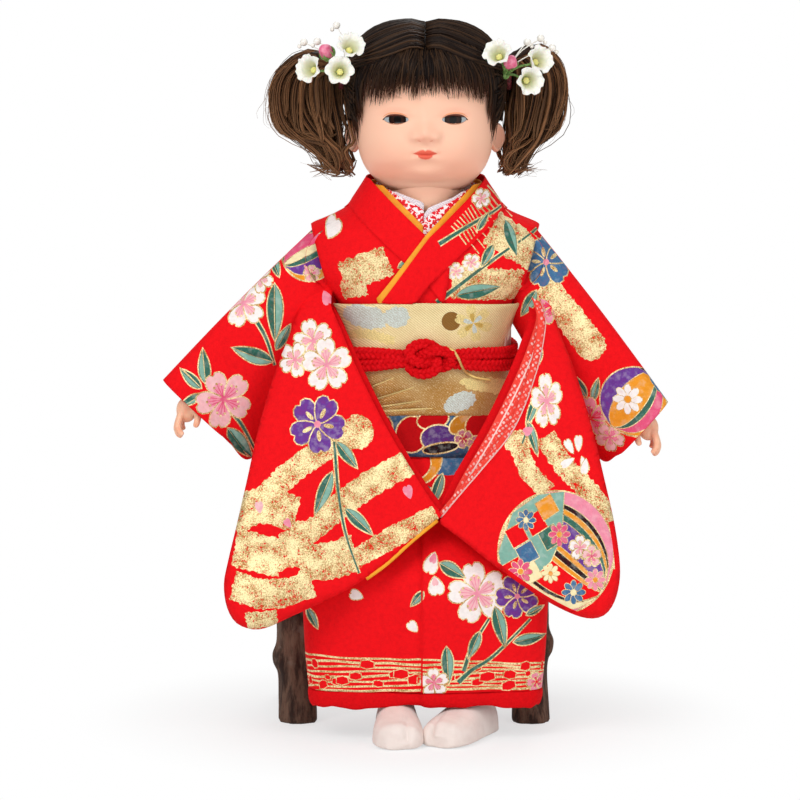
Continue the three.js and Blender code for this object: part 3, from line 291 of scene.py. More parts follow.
class Nodes:
    """A node tree on which shader expressions are built."""

    def __init__(self, owner):
        owner.use_nodes = True
        self.tree = owner.node_tree

    def node(self, kind, settings=None, inputs=None, output=0):
        """Any node: its settings first, then the values or links of its sockets."""
        made = self.tree.nodes.new(kind)
        for key, value in (settings or {}).items():
            setattr(made, key, value)
        for key, value in (inputs or {}).items():
            self.feed(made.inputs[key], value)
        return Value(self, made.outputs[output])

    def feed(self, socket, value):
        """A constant or a link on one socket."""
        if isinstance(value, Value):
            self.tree.links.new(value.socket, socket)
        elif socket.type == "RGBA":
            socket.default_value = tuple(value)[:3] + (1.0,)
        else:
            socket.default_value = value

    def show(self, output, mixed):
        """Links a shader to the tree's output."""
        self.feed(self.tree.nodes[output].inputs["Surface"], mixed)


class Finish(Nodes):
    """A material with one Principled shader."""

    def __init__(self, name, **constants):
        self.material = bpy.data.materials.new(name)
        super().__init__(self.material)
        self.shader = self.tree.nodes["Principled BSDF"]
        for key, value in constants.items():
            self.set(key.replace("_", " "), value)

    def set(self, name, value):
        """A constant or a link on one of the shader's own sockets."""
        self.feed(self.shader.inputs[name], value)

    def paint(self):
        """Colour of the print."""
        return self.node("ShaderNodeAttribute", {"attribute_name": "paint"})

    def kind(self):
        """Kind of print."""
        return self.node("ShaderNodeAttribute", {"attribute_name": "paint"}, output=3)

    def mix(self, share, low, high):
        """Colour mix."""
        return self.node("ShaderNodeMix", {"data_type": "RGBA"}, {0: share, 6: low, 7: high}, 2)

    def where(self):
        """Position in the piece's own coordinates, in metres."""
        return self.node("ShaderNodeTexCoord", output=3)

    def noise(self, scale, detail=3.0, rough=0.55, where=None):
        return self.node("ShaderNodeTexNoise", {}, {
            "Vector": where or self.where(), "Scale": scale, "Detail": detail, "Roughness": rough})

    def cells(self, scale, where):
        return self.node("ShaderNodeTexVoronoi", {}, {"Vector": where, "Scale": scale})

    def axis(self, name, where):
        """One coordinate of a position."""
        return self.node("ShaderNodeSeparateXYZ", {}, {0: where}, "XYZ".index(name))

    def emboss(self, height, strength, distance):
        """Bump by a height value."""
        self.set("Normal", self.node("ShaderNodeBump", {}, {
            "Height": height, "Strength": strength, "Distance": distance}))


# Printed cloth

def ink(code):
    """Linear colour from a hex code."""
    values = [int(code[i:i + 2], 16) / 255 for i in (1, 3, 5)]
    return tuple(v / 12.92 if v <= 0.04045 else ((v + 0.055) / 1.055) ** 2.4 for v in values)


# Kinds of print, kept in the paint's alpha: bare ground, dyed print, solid gold line,
# crackled gold foil, cloth cut away
PLAIN, INK, LINE, FOIL, HOLE = 0.0, 0.12, 0.5, 1.0, 2.0
GOLD = ink("#D9B45C")
RED = ink("#EE1119")
WHITE = ink("#F7EFEC")
BLUSH = ink("#F3B9BE")
PINK = ink("#EE8FA6")
ROSE = ink("#E4577F")
PURPLE = ink("#6B3C96")
BLUE = ink("#3D6F98")
GREEN = ink("#2F6B5C")
PALE_GREEN = ink("#7FB0A0")
ORANGE = ink("#EE9A2B")
BLACK = ink("#241A1E")
CREAM = ink("#F6E7B4")


def turned(points, degrees, at=(0.0, 0.0)):
    """Points turned about the origin, then moved."""
    c, s = math.cos(math.radians(degrees)), math.sin(math.radians(degrees))
    points = np.asarray(points, float)
    return np.column_stack([points[:, 0] * c - points[:, 1] * s, points[:, 0] * s + points[:, 1] * c]) + at


def grown(outline, by):
    """An outline moved outward by a distance."""
    outline = np.asarray(outline, float)
    ahead = unit(np.roll(outline, -1, 0) - np.roll(outline, 1, 0))
    x, y = outline.T
    area = np.sum(x * np.roll(y, -1) - np.roll(x, -1) * y)
    return outline + np.column_stack([ahead[:, 1], -ahead[:, 0]]) * by * np.sign(area)


def oval_outline(at, wide, tall, turn=0.0, count=20):
    angles = circle(count)
    return turned(np.column_stack([wide * np.cos(angles), tall * np.sin(angles)]), turn, at)


def edged(outline, colour, line=0.7):
    """A filled shape with a gold outline."""
    return [(grown(outline, line), GOLD, LINE), (outline, colour, PLAIN if colour == RED else INK)]


PETAL = [(0.0, 0.04), (0.13, 0.16), (0.27, 0.38), (0.36, 0.62), (0.35, 0.82), (0.25, 0.96), (0.11, 1.0), (0.0, 0.9)]


def petal(radius, width=1.0):
    """One notched petal that points up from the origin."""
    half = np.array(PETAL) * (radius * width, radius)
    return np.concatenate([half, half[-2:0:-1] * (-1, 1)])


def blossom(at, radius, colour=WHITE, inner=BLUSH, heart=ROSE, turn=0.0, squash=1.0, count=5):
    """A notched blossom with a gold edge, a shaded middle and stamens."""
    prints, marks = [], []
    squeeze = np.array((squash, 1.0))
    width = 5 / count
    for k in range(count):
        angle = turn + k * 360 / count
        outer = turned(petal(radius, width), angle)
        prints += edged(outer * squeeze + at, colour)
        prints.append((turned(petal(radius * 0.62, width * 0.9), angle) * squeeze + at, inner, INK))
        for lean in (-15, 0, 15):
            tip = turned([(0, radius * (0.62 if lean == 0 else 0.54))], angle + lean)[0]
            marks.append((ribbon([(0, 0), tip], radius * 0.035) * squeeze + at, heart, INK))
            marks.append((oval_outline(tip * squeeze + at, radius * 0.05, radius * 0.05, count=6), GOLD, LINE))
    return prints + marks + [(oval_outline(at, radius * 0.11, radius * 0.11, count=10), heart, INK)]


def crest_blossom(at, radius, colour, turn=0.0):
    """A bold blossom with gold drops on its petals."""
    prints = []
    for k in range(5):
        angle = turn + 72 * k
        prints += edged(turned(petal(radius, 1.12), angle, at), colour, 0.7)
        prints += [(oval_outline(turned([(0, radius * 0.42)], angle, at)[0], radius * 0.08, radius * 0.2, angle, 10),
                    CREAM, LINE)]
    return prints + [(oval_outline(at, radius * 0.13, radius * 0.13, count=12), PINK, INK)]


def daisy(at, radius, colour, heart=ORANGE, count=9):
    """Round petals about a heart."""
    prints = []
    for k in range(count):
        angle = 360 / count * k
        middle = turned([(0, radius * 0.6)], angle, at)[0]
        prints += edged(oval_outline(middle, radius * 0.24, radius * 0.42, angle, 10), colour, 0.3)
    return prints + edged(oval_outline(at, radius * 0.24, radius * 0.24, count=10), heart, 0.3)


def ribbon(path, width, ends=None):
    """Outline of a strip along a path of points."""
    path = np.asarray(path, float)
    if len(path) > 2:
        path = path_at(path, np.linspace(0, 1, 5 * len(path)))
    ahead = unit(np.gradient(path, axis=0))
    half = np.interp(np.linspace(0, 1, len(path)), (0, 1), ends or (width, width))[:, None] / 2
    out = np.column_stack([-ahead[:, 1], ahead[:, 0]]) * half
    return np.concatenate([path + out, (path - out)[::-1]])


def branch(path, width=1.5):
    """A gold-edged twig."""
    wide = 1.4 * width
    return [(ribbon(path, wide, (wide + 1.3, 1.8)), GOLD, LINE), (ribbon(path, wide, (wide, 0.8)), GREEN, INK)]


def leaf(start, tip, width=0.3):
    """A pointed leaf in two greens with a gold rib."""
    start, tip = np.asarray(start, float), np.asarray(tip, float)
    along = tip - start
    across = np.array((-along[1], along[0])) * width / 2
    t = np.linspace(0, 1, 9)[:, None]
    belly = np.sin(math.pi * t**0.8)
    one = start + along * t + across * belly
    two = start + along * t - across * belly * 0.9
    rib = start + along * t * 0.96 + across * 0.06
    whole = np.concatenate([one, two[-2:0:-1]])
    upper = np.concatenate([one, rib[-2:0:-1]])
    light, line = (grown(upper, -0.25), PALE_GREEN, INK), (ribbon([start, tip], 0.3), GOLD, LINE)
    return edged(whole, GREEN, 0.65) + [light, line]


def ragged(outline, amount, seed):
    """An outline with a torn edge."""
    draw = random.Random(seed)
    outline = np.asarray(outline, float)
    closed = np.concatenate([outline, outline[:1]])
    steps = run(closed)
    count = max(12, int(steps[-1] / 1.1))
    at = np.linspace(0, steps[-1], count, endpoint=False)
    points = np.column_stack([np.interp(at, steps, closed[:, k]) for k in (0, 1)])
    bites = np.array([amount * (draw.random() - 0.55) for _ in range(count)])
    return grown(points, bites[:, None])


def foil(path, width, seed, amount=1.1):
    """A worn band of gold foil along a path."""
    return [(ragged(ribbon(path, width), amount, seed), GOLD, FOIL)]


def foil_patch(at, wide, tall, turn, seed):
    corners = [(-0.5, -0.5), (0.5, -0.5), (0.5, 0.5), (-0.5, 0.5)]
    return [(ragged(turned(np.array(corners) * (wide, tall), turn, at), 1.4, seed), GOLD, FOIL)]


def ball_band(at, radius, low, high, colour, turn, line=0.4):
    """A curved band of a thread ball between two meridians, from -1 to 1 across it."""
    t = np.linspace(-1, 1, 15) * 0.985
    span = np.sqrt(1 - t * t)
    outline = np.concatenate([np.column_stack([low * span, t]), np.column_stack([high * span, t])[::-1]])
    return edged(turned(outline * radius, turn, at), colour, line)


def thread_ball(at, radius, bands, turn, ground=BLACK):
    """A traditional thread ball with curved bands."""
    prints = edged(oval_outline(at, radius, radius, count=40), ground, 0.7)
    for low, high, colour in bands:
        prints += ball_band(at, radius, low, high, colour, turn)
    return prints


def inside(points, outline):
    """Which points lie inside a closed outline."""
    points, outline = np.asarray(points, float), np.asarray(outline, float)
    x, y = points[:, 0:1], points[:, 1:2]
    x0, y0 = outline.T
    x1, y1 = np.roll(outline, -1, 0).T
    crosses = (y0 > y) != (y1 > y)
    with np.errstate(divide="ignore", invalid="ignore"):
        at = x0 + (y - y0) * (x1 - x0) / (y1 - y0)
    return (np.sum(crosses & (x < at), axis=1) % 2) == 1


def rectangle(u0, u1, v0, v1, step=4.0):
    """A closed outline with points along its sides."""
    across = np.linspace(u0, u1, max(2, int(abs(u1 - u0) / step)))
    up = np.linspace(v0, v1, max(2, int(abs(v1 - v0) / step)))
    low, high = (np.column_stack([across, np.full_like(across, v)]) for v in (v0, v1))
    left, right = (np.column_stack([np.full_like(up, u), up]) for u in (u0, u1))
    return np.concatenate([low[:-1], right[:-1], high[:0:-1], left[:0:-1]])


def onto(surface, domain, outlines, flip=False):
    """Prints drawn in the front view (x, z), moved to a surface's own (u, v)."""
    u, v = np.meshgrid(np.linspace(domain[:, 0].min(), domain[:, 0].max(), 90),
                       np.linspace(domain[:, 1].min(), domain[:, 1].max(), 60))
    u, v = u.ravel(), v.ravel()
    here = surface(u, v)
    normal = np.cross(surface(u + 0.2, v) - here, surface(u, v + 0.2) - here)
    normal *= -1 if flip else 1
    seen = np.flatnonzero(normal[:, 1] < -0.2 * np.linalg.norm(normal, axis=1))
    tree = kdtree.KDTree(len(seen))
    for k in seen:
        tree.insert((here[k, 0], here[k, 2], 0.0), int(k))
    tree.balance()
    moved = []
    for outline, colour, kind in outlines:
        near = [tree.find((x, z, 0.0))[1] for x, z in outline]
        at = np.column_stack([u[near], v[near]])
        for _ in range(5):
            now = surface(at[:, 0], at[:, 1])[:, (0, 2)]
            du = (surface(at[:, 0] + 0.1, at[:, 1])[:, (0, 2)] - now) / 0.1
            dv = (surface(at[:, 0], at[:, 1] + 0.1)[:, (0, 2)] - now) / 0.1
            miss = np.asarray(outline) - now
            det = du[:, 0] * dv[:, 1] - du[:, 1] * dv[:, 0]
            det = np.where(np.abs(det) < 0.08, np.copysign(0.08, det), det)
            step = np.column_stack([miss[:, 0] * dv[:, 1] - miss[:, 1] * dv[:, 0],
                                    du[:, 0] * miss[:, 1] - du[:, 1] * miss[:, 0]]) / det[:, None]
            at = at + np.clip(step, -2.5, 2.5)
        moved.append((at, colour, kind))
    return moved


def printed(surface, domain, step, prints, ground, lines_u=None, lines_v=None, flip=False):
    """Points, triangles and paint of a printed cloth: each print's outline is cut into the mesh."""
    domain = np.asarray(domain, float)
    low, high = domain.min(0), domain.max(0)
    lines_u = np.arange(low[0] + step, high[0], step) if lines_u is None else np.asarray(lines_u)
    lines_v = np.arange(low[1] + step, high[1], step) if lines_v is None else np.asarray(lines_v)
    u, v = np.meshgrid(lines_u, lines_v)
    u = u + np.where(np.arange(len(lines_v)) % 2, 0.25, -0.25)[:, None] * np.gradient(lines_u)
    grid = np.column_stack([u.ravel(), v.ravel()])
    grid = grid[inside(grid, domain)]
    points, edges = [], []
    for outline in [domain] + [p[0] for p in prints]:
        start = len(points)
        points.extend(map(tuple, outline))
        count = len(outline)
        edges.extend((start + k, start + (k + 1) % count) for k in range(count))
    tree = kdtree.KDTree(len(points))
    for k, (x, y) in enumerate(points):
        tree.insert((x, y, 0.0), k)
    tree.balance()
    points.extend(tuple(p) for p in grid if tree.find((p[0], p[1], 0.0))[2] > 0.3 * step)
    made = delaunay_2d_cdt([Vector(p) for p in points], edges, [], 0, 1e-4)
    flat = np.array([tuple(p) for p in made[0]])
    faces = np.array(made[2])
    middle = flat[faces].mean(1)
    kept = inside(middle, domain)
    faces, middle = faces[kept], middle[kept]
    paint = np.tile(np.array(tuple(ground) + (PLAIN,)), (len(faces), 1))
    for outline, colour, kind in prints:
        outline = np.asarray(outline)
        near = np.flatnonzero(np.all((middle >= outline.min(0)) & (middle <= outline.max(0)), axis=1))
        if len(near):
            hit = near[inside(middle[near], outline)]
            paint[hit] = tuple(colour) + (kind,)
    solid = surface(flat[:, 0], flat[:, 1])
    return solid, faces[:, ::-1] if flip else faces, paint


def cloth(name, panels, materials, body, slot, nodes=(), thickness=0.6):
    """One cloth piece from printed panels, sewn where their points meet."""
    points, faces, paint, count = [], [], [], 0
    for solid, those, colours in panels:
        points.append(solid)
        faces.append(those + count)
        paint.append(colours)
        count += len(solid)
    points, faces, paint = np.concatenate(points), np.concatenate(faces), np.concatenate(paint)
    _, first, index = np.unique(np.round(points, 2), axis=0, return_index=True, return_inverse=True)
    points, faces = points[first], index.reshape(-1)[faces]
    whole = (faces[:, 0] != faces[:, 1]) & (faces[:, 1] != faces[:, 2]) & (faces[:, 2] != faces[:, 0])
    faces, paint = faces[whole], paint[whole]
    made = add_object(name, points, faces, materials)
    layer = made.data.color_attributes.new("paint", "FLOAT_COLOR", "CORNER")
    layer.data.foreach_set("color", np.repeat(paint, 3, axis=0).ravel().astype(np.float32))
    sides = points[faces]
    area = np.linalg.norm(np.cross(sides[:, 1] - sides[:, 0], sides[:, 2] - sides[:, 0]), axis=1).sum() / 2
    made["cut"] = float(area) * MM * MM
    if thickness:
        thicken(made, thickness, 1 if len(made.data.materials) > 1 else 0)
    return settle(made, body, slot, *nodes)


def declare(piece, wide):
    """Divides the piece's cut area by a strip width; the result is not kept."""
    area = piece["cut"]
    area / (wide * MM)


# Robe surfaces

APEX_X, APEX_Z, NECK_SLOPE, LAP_SLOPE = 1.6, 255.4, 0.92, 1.4
SQUARE = math.hypot(1, NECK_SLOPE)
ROBE_AT = 5.4
# z, half width, front, back and roundness of the surface under the collars
BODY_ROWS = [
    (159, HALF_WIDTH, -HALF_DEPTH, HALF_DEPTH, 2.4), (220, HALF_WIDTH, -HALF_DEPTH, HALF_DEPTH, 2.4),
    (227, 47.5, -32, 31.5, 2.4), (234, 54, -31.4, 30.7, 2.4), (242, 57.5, -30.6, 29.2, 2.3),
    (250, 58, -29.6, 27.6, 2.15), (254, 57.3, -29, 26.8, 2.05), (257, 55.8, -28.5, 26.4, 1.95),
    (259.5, 53.4, -28, 26, 1.85), (262, 47.5, -27, 25.5, 1.8), (264.5, 41.5, -26, 25, 1.8),
    (268, 35.2, -24.2, 24.6, 1.9), (273, 31, -22.3, 24.6, 2.0), (279, 27, -20.6, 25, 2.1),
    (285, 23.8, -19.6, 25.5, 2.1),
]
ROUND = 2.4
# Millimetres of u to a radian round the body
WRAP = 50.0
ARMHOLE = ((222, 49.5), (259, 59.6))


def round_corner(angle, power):
    """Unit superellipse: 0 in front, sideways at a quarter turn."""
    s, c = np.sin(angle), np.cos(angle)
    size = (np.abs(s) ** power + np.abs(c) ** power) ** (-1 / power)
    return size * s, size * c


def body_surface(offset):
    """The dressed body grown by an offset; u runs round it with 0 in front, v is the height."""
    def surface(u, v):
        half, front, back, power = rows_at(BODY_ROWS, v).T
        across, ahead = round_corner(u / WRAP, power)
        middle, depth = (front + back) / 2, (back - front) / 2 + offset
        return np.column_stack([(half + offset) * across, middle - depth * ahead, v])
    return surface


def armhole(side):
    """Outline of an armhole on the bodice, where its cloth ends beside the sleeve."""
    (low, narrow), (high, wide) = ARMHOLE
    heights = np.linspace(low, high, 24)
    half, power = rows_at(BODY_ROWS, heights)[:, 0] + ROBE_AT, rows_at(BODY_ROWS, heights)[:, 3]
    reach = np.clip(np.interp(heights, (low, high), (narrow, wide)) / half, 0, 0.9999)
    angle = np.arctan(reach / (1 - reach**power) ** (1 / power))
    front = np.column_stack([angle, heights])
    back = np.column_stack([math.pi - angle, heights])[::-1]
    return np.concatenate([front, back]) * (side * WRAP, 1)


SKIRT_ROWS = [
    (26, 60.5, -88), (44.7, 62.2, -88.7), (60, 63, -89), (80, 63.5, -88.5), (88, 63, -86), (95, 62, -80),
    (104.3, 60.5, -71), (114.3, 57.5, -60), (128.3, 53, -50), (142, 50, -41.7), (159, 47.6, -37.5), (170, 47.6, -37.5),
]
SKIRT_BACK_LOW = [(26, -46), (60, -43), (80, -39.5), (95, -35.5), (170, -34)]
SKIRT_BACK_TOP = [(26, 42), (104.3, 42.5), (114.3, 42.5), (128.3, 41.5), (142, 40.5), (159, 37.5), (170, 37.5)]
SEAT_TOP, SEAT_TURN = 100.4, 1.2
LAP_X = -1.8
SKIRT_SIDE = 95.0


def skirt_surface(u, v):
    """Skirt: falls in front of the legs, and lies round the hips above the seat."""
    half, front = rows_at(SKIRT_ROWS, v).T
    low, top = rows_at(SKIRT_BACK_LOW, v)[:, 0], rows_at(SKIRT_BACK_TOP, v)[:, 0]
    back = low + (top - low) * np.clip((v - SEAT_TOP) / SEAT_TURN, 0, 1)
    corner = np.minimum(21 + 30 * smooth(v, 96, 116), (back - front) / 2)
    power = 3.2 - 0.7 * smooth(v, 96, 116)
    t = np.abs(u) / SKIRT_SIDE
    across, ahead = round_corner(np.clip(t, 0, 1) * math.pi / 2, power)
    x_front, y_front = half * across, front + corner - corner * ahead
    rear = np.clip(t - 1, 0, 1)
    side = np.clip(rear / 0.3, 0, 1)
    round_on = np.clip((rear - 0.3) / 0.7, 0, 1) * math.pi / 2
    behind, inward = round_corner(round_on, power)
    y_rear = front + corner + (back - front - 2 * corner) * side + corner * behind
    x = np.where(t <= 1, x_front, half * inward) * np.sign(u)
    y = np.where(t <= 1, y_front, y_rear)
    facing = np.clip(1 - t, 0, 1) ** 0.3 * (v < 141)
    lap = smooth(x, LAP_X - 0.35, LAP_X + 0.35) * (1 - smooth(x, 10, 45))
    fall = 1 - smooth(v, 60, 110)
    waves = 0.8 * np.sin(x / 8.5 + 0.6 + v * 0.012) + 0.5 * np.sin(x / 4.1 + 2 + v * 0.02)
    crease = -1.1 * bump(x, v, -19, 60, 4, 60) + 0.9 * bump(x, v, -9, 70, 3, 40)
    y = y - facing * (2.0 * lap + 0.6 * fall * waves + 0.7 * fall * crease)
    return np.column_stack([x, y, v])


def spread_blossoms(seed, low, high, count, near=()):
    """Flat blossoms, leaves and foil strewn over an area, clear of each other."""
    draw = random.Random(seed)
    prints, taken = [], list(near)
    inks = [(WHITE, BLUSH, ROSE), (PINK, ROSE, RED), (WHITE, PINK, ROSE), (BLUSH, PINK, ROSE)]
    for _ in range(count * 4):
        at = (draw.uniform(low[0], high[0]), draw.uniform(low[1], high[1]))
        size = draw.uniform(5, 11)
        if any(math.dist(at, other) < size + wide + 2 for other, wide in taken):
            continue
        taken.append((at, size))
        kind = draw.random()
        if kind < 0.45:
            prints += blossom(at, size, *draw.choice(inks), turn=draw.uniform(0, 72))
        elif kind < 0.55:
            prints += crest_blossom(at, size, draw.choice((PURPLE, BLUE)), draw.uniform(0, 72))
        elif kind < 0.8:
            angle = draw.uniform(0, 360)
            prints += leaf(at, turned([(size * 1.5, 0)], angle, at)[0], 0.3)
        else:
            path = [at, (at[0] + size, at[1] + size * 0.6), (at[0] + size * 2.4, at[1] + size * 0.9)]
            prints += foil(path, size * 0.8, draw.randrange(1000))
        if len(taken) >= count + len(near):
            break
    return prints


LOZENGE = np.array([(-1.1, -0.5), (0, -0.75), (1.1, -0.4), (1.0, 0.5), (0.1, 0.8), (-1.0, 0.5)])


def hem_lines(low, high):
    """Fine gold lines round the hem, broken by small red lozenges."""
    draw = random.Random(17)
    prints = []
    at = np.arange(low, high + 1, 6.0)
    slant = np.clip(at, -95, 95)
    for row in range(8):
        z = 35.4 - 0.008 * slant - 0.0003 * slant**2 + (row - 3.5) * (2.23 - 0.0075 * slant)
        wave = 0.35 * np.sin(at / 11 + row) + 0.2 * np.sin(at / 4.3 + 2 * row)
        prints.append((ribbon(np.column_stack([at, z + wave]), 1.0 if row % 3 else 1.3), GOLD, LINE))
    for k in range(int((high - low) / 5.5)):
        middle = (low + 5.5 * (k + draw.random()), draw.uniform(28, 41))
        size = draw.uniform(1.4, 3.4)
        prints += edged(turned(LOZENGE * size, draw.uniform(-15, 15), middle), RED, 0.5)
    return prints


def skirt_prints():
    """The skirt's front prints, in the front view."""
    prints = branch([(16.9, 31.6), (24, 38), (34.8, 44.8), (54.2, 63.8)], 1.6)
    prints += branch([(19.7, 37.4), (24, 50), (32.8, 64.6)], 1.3)
    prints += blossom((26.9, 77.8), 15, WHITE, BLUSH, PINK, 12)
    prints += crest_blossom((47.3, 76), 11, PURPLE, 20)
    prints += leaf((7.3, 92.9), (20.5, 86), 0.42) + leaf((35.7, 71), (41, 49.5), 0.3)
    prints += leaf((45.3, 52), (62, 54.3), 0.34) + leaf((10.8, 50.5), (12, 30.5), 0.3)
    prints += leaf((28, 58), (22, 44), 0.34) + leaf((52, 66), (61, 70), 0.36)
    prints += edged(turned(petal(10, 0.95), 160, (5, 98)), WHITE, 0.6)
    prints += edged(turned(petal(9.5, 1.1), 190, (4.5, 87)), WHITE, 0.6)
    prints += [(turned(petal(5), 160, (5, 97.6)), PINK, INK), (turned(petal(4.6), 190, (4.5, 86.6)), BLUSH, INK)]
    prints += [(rectangle(-9, LAP_X, 74, 100), RED, PLAIN)]
    prints += leaf((-1, 79), (-7.5, 71.5), 0.4) + edged(turned(petal(6.5), 40, (-4.2, 58)), WHITE, 0.5)
    prints += leaf((-61, 69), (-55.5, 58.5), 0.36) + edged(turned(petal(7), 70, (-32, 75.5)), WHITE, 0.5)
    prints += blossom((4.5, 31.6), 7.2, WHITE, PINK, ROSE, 5) + blossom((57.5, 30), 5, PINK, ROSE, RED, 15)
    prints += [(rectangle(LAP_X - 0.45, LAP_X + 0.45, 26.5, 106), RED, PLAIN)]
    prints += [(oval_outline((12, 150), 26, 17), BLUE, INK), (oval_outline((-20, 152), 22, 16, 10), PURPLE, INK)]
    prints += edged(oval_outline((-6, 139), 15, 11, 20), ORANGE, 0.7)
    prints += edged(oval_outline((-6, 138), 9, 7, 20), RED, 0.7)
    prints += leaf((9, 134), (3, 118), 0.3)
    prints += branch([(2, 128), (-3, 118), (-4, 108)], 1.3) + leaf((10, 122), (18, 112), 0.34)
    prints += blossom((22, 128), 8, PINK, ROSE, RED, 40) + edged(oval_outline((-34, 138), 10, 8), ORANGE, 0.6)
    return prints


def waist_prints():
    """Large coloured shapes on the fold below the sash, in the front view, darkened as painted shade under the sash."""
    prints = [(rectangle(-60, 60, 138, 166), BLUE, INK)]
    for at, wide, tall, turn, colour in (
            ((-26, 156), 9, 8, 20, RED), ((-7, 153.5), 8, 9, -15, RED), ((4, 161), 8, 4.5, 10, RED),
            ((7, 151.5), 9, 6.5, 0, PURPLE), ((8, 146.6), 9, 2.2, 8, BLACK), ((18, 158.5), 6, 3.8, 40, ORANGE),
            ((30, 156), 9, 8, -20, RED), ((-42, 152), 10, 9, 0, ORANGE), ((44, 152), 10, 9, 0, PURPLE)):
        prints += edged(oval_outline(at, wide, tall, turn), colour, 0.8)
    prints += blossom((20, 151), 4.4, PINK, ROSE, RED, 20) + blossom((26, 148), 4, PINK, BLUSH, ROSE)
    prints += leaf((24, 148), (31, 143), 0.4) + leaf((-16, 147), (-24, 143), 0.4)
    # Every print colour here is darkened to 0.6 as painted shade below the sash.
    return [(outline, tuple(0.6 * c for c in colour), kind) for outline, colour, kind in prints]


def make_skirt(materials):
    """Skirt, hem roll and waist fold."""
    round_hips = 2 * SKIRT_SIDE
    domain = rectangle(-round_hips, round_hips, 26, 166)
    rows = np.concatenate([np.arange(29, 98, 3.5), [SEAT_TOP, SEAT_TOP + SEAT_TURN], np.arange(104, 165, 3.5)])
    prints = hem_lines(-round_hips, round_hips) + onto(skirt_surface, domain, skirt_prints())
    for low, high, seed in ((-185, -100, 4), (105, 185, 9)):
        prints += spread_blossoms(seed, (low, 50), (high, 80), 6)
        prints += spread_blossoms(seed + 1, (low, 116), (high, 160), 7)
    panel = printed(skirt_surface, domain, 3.6, prints, RED, lines_v=rows)
    skirt = cloth("skirt_cloth", [panel], materials, "doll", "red_print", ("kimono_skirt",))
    declare(skirt, 330)

    fold_rows = [(142, 1.6), (144, 2.7), (149, 2.6), (156, 2.2), (163.4, 1.4)]

    def fold_surface(u, v):
        grow = rows_at(fold_rows, v)[:, 0]
        base = skirt_surface(u, v)
        out = unit(base * (1, 1, 0))
        tucks = 0.35 * np.sin(u / 5 + 0.4) * (1 - smooth(v, 150, 162))
        return base + out * (grow + 0.5 + tucks)[:, None]

    fold_domain = rectangle(-round_hips, round_hips, 142, 163.2)
    drawn = onto(fold_surface, fold_domain, waist_prints())
    for k in (-3, -2, 2, 3):
        drawn += spread_blossoms(30 + k, (k * 55 - 24, 146), (k * 55 + 24, 160), 3)
    panel = printed(fold_surface, fold_domain, 3.2, drawn, RED)
    fold = cloth("waist_fold_cloth", [panel], materials, "doll", "red_print", ("waist_fold",))
    declare(fold, 300)

    steps, sides = 420, 14
    t = np.linspace(-2, 2, steps, endpoint=False) * SKIRT_SIDE
    centre = skirt_surface(t, np.full(steps, 30.0))
    inward = np.array((0, -67, 0)) - centre
    inward[:, 2] = 0
    inward = unit(inward)
    puff = 1 + 0.07 * np.sin(t / 3.1 + 1) + 0.06 * np.sin(t / 7.3)
    droop = 4.9 + 0.8 * np.sin(t / 19 + 4.4) + 0.4 * np.sin(t / 6.1) + 0.1 * np.sin(t / 1.5)
    rings = []
    for angle in circle(sides):
        tall = 3.8 if math.sin(angle) > 0 else droop
        out = 2.2 * math.cos(angle) * puff - 2.4
        ring = centre - inward * out[:, None]
        ring[:, 2] = 22.6 + tall * math.sin(angle) * puff
        rings.append(ring)
    points = np.concatenate(rings)
    faces = []
    for low, high in zip(range(sides), [*range(1, sides), 0]):
        faces += [(low * steps + c, high * steps + c, high * steps + (c + 1) % steps, low * steps + (c + 1) % steps)
                  for c in range(steps)]
    hem = settle(add_object("hem_roll", points, faces, materials[1]), "doll", "red_print", "padded_hem")


# Collars: strips round the neck whose edges follow the V

COLLAR_LOW = 221.5

def strip_edge(offset, d, side, angle):
    """Height of a collar edge at an angle round the body: d counts inward from the collar's edge."""
    surface = body_surface(offset)
    low, high = np.full(len(angle), 200.0), np.full(len(angle), 290.0)
    for _ in range(30):
        middle = (low + high) / 2
        out = (surface(angle * WRAP, middle)[:, 0] - APEX_X) * side
        above = middle > APEX_Z + np.where(out > 0, NECK_SLOPE, LAP_SLOPE) * out + d * SQUARE
        high, low = np.where(above, middle, high), np.where(above, low, middle)
    return (low + high) / 2


def collar_surface(offset, side, d_in, d_out, top, start, lean=0.0, rise=0.0):
    """A strip: u runs along the collar from start to its middle behind, v across it from 0 to 20."""
    angles = np.linspace(start, math.pi, 200)
    fade = smooth(angles, 1.35, 1.9)
    narrow = np.interp(angles, (0.05, 0.25, 0.5, 0.75, 1.1), (0.86, 0.66, 0.44, 0.34, 0.3)) if d_in > 5 else 1.0
    inner = np.minimum(strip_edge(offset, d_in * narrow, side, angles * side), top)
    outer = np.maximum(strip_edge(offset, d_out, side, angles * side), COLLAR_LOW)
    inner = inner * (1 - fade) + top * fade
    outer = np.minimum(outer * (1 - fade) + (top - 17) * fade, inner - 0.3)

    def surface(u, v):
        angle = start + (math.pi - start) * np.clip(u / 100, 0, 1)
        share = v / 20
        height = np.interp(angle, angles, outer) * (1 - share) + np.interp(angle, angles, inner) * share
        over = rise * (1 - smooth(angle, 0.0, 0.3))
        swell = lean * np.sin(math.pi * np.clip(share, 0, 1))
        return body_surface(offset + swell + over)(angle * side * WRAP, height)
    return surface


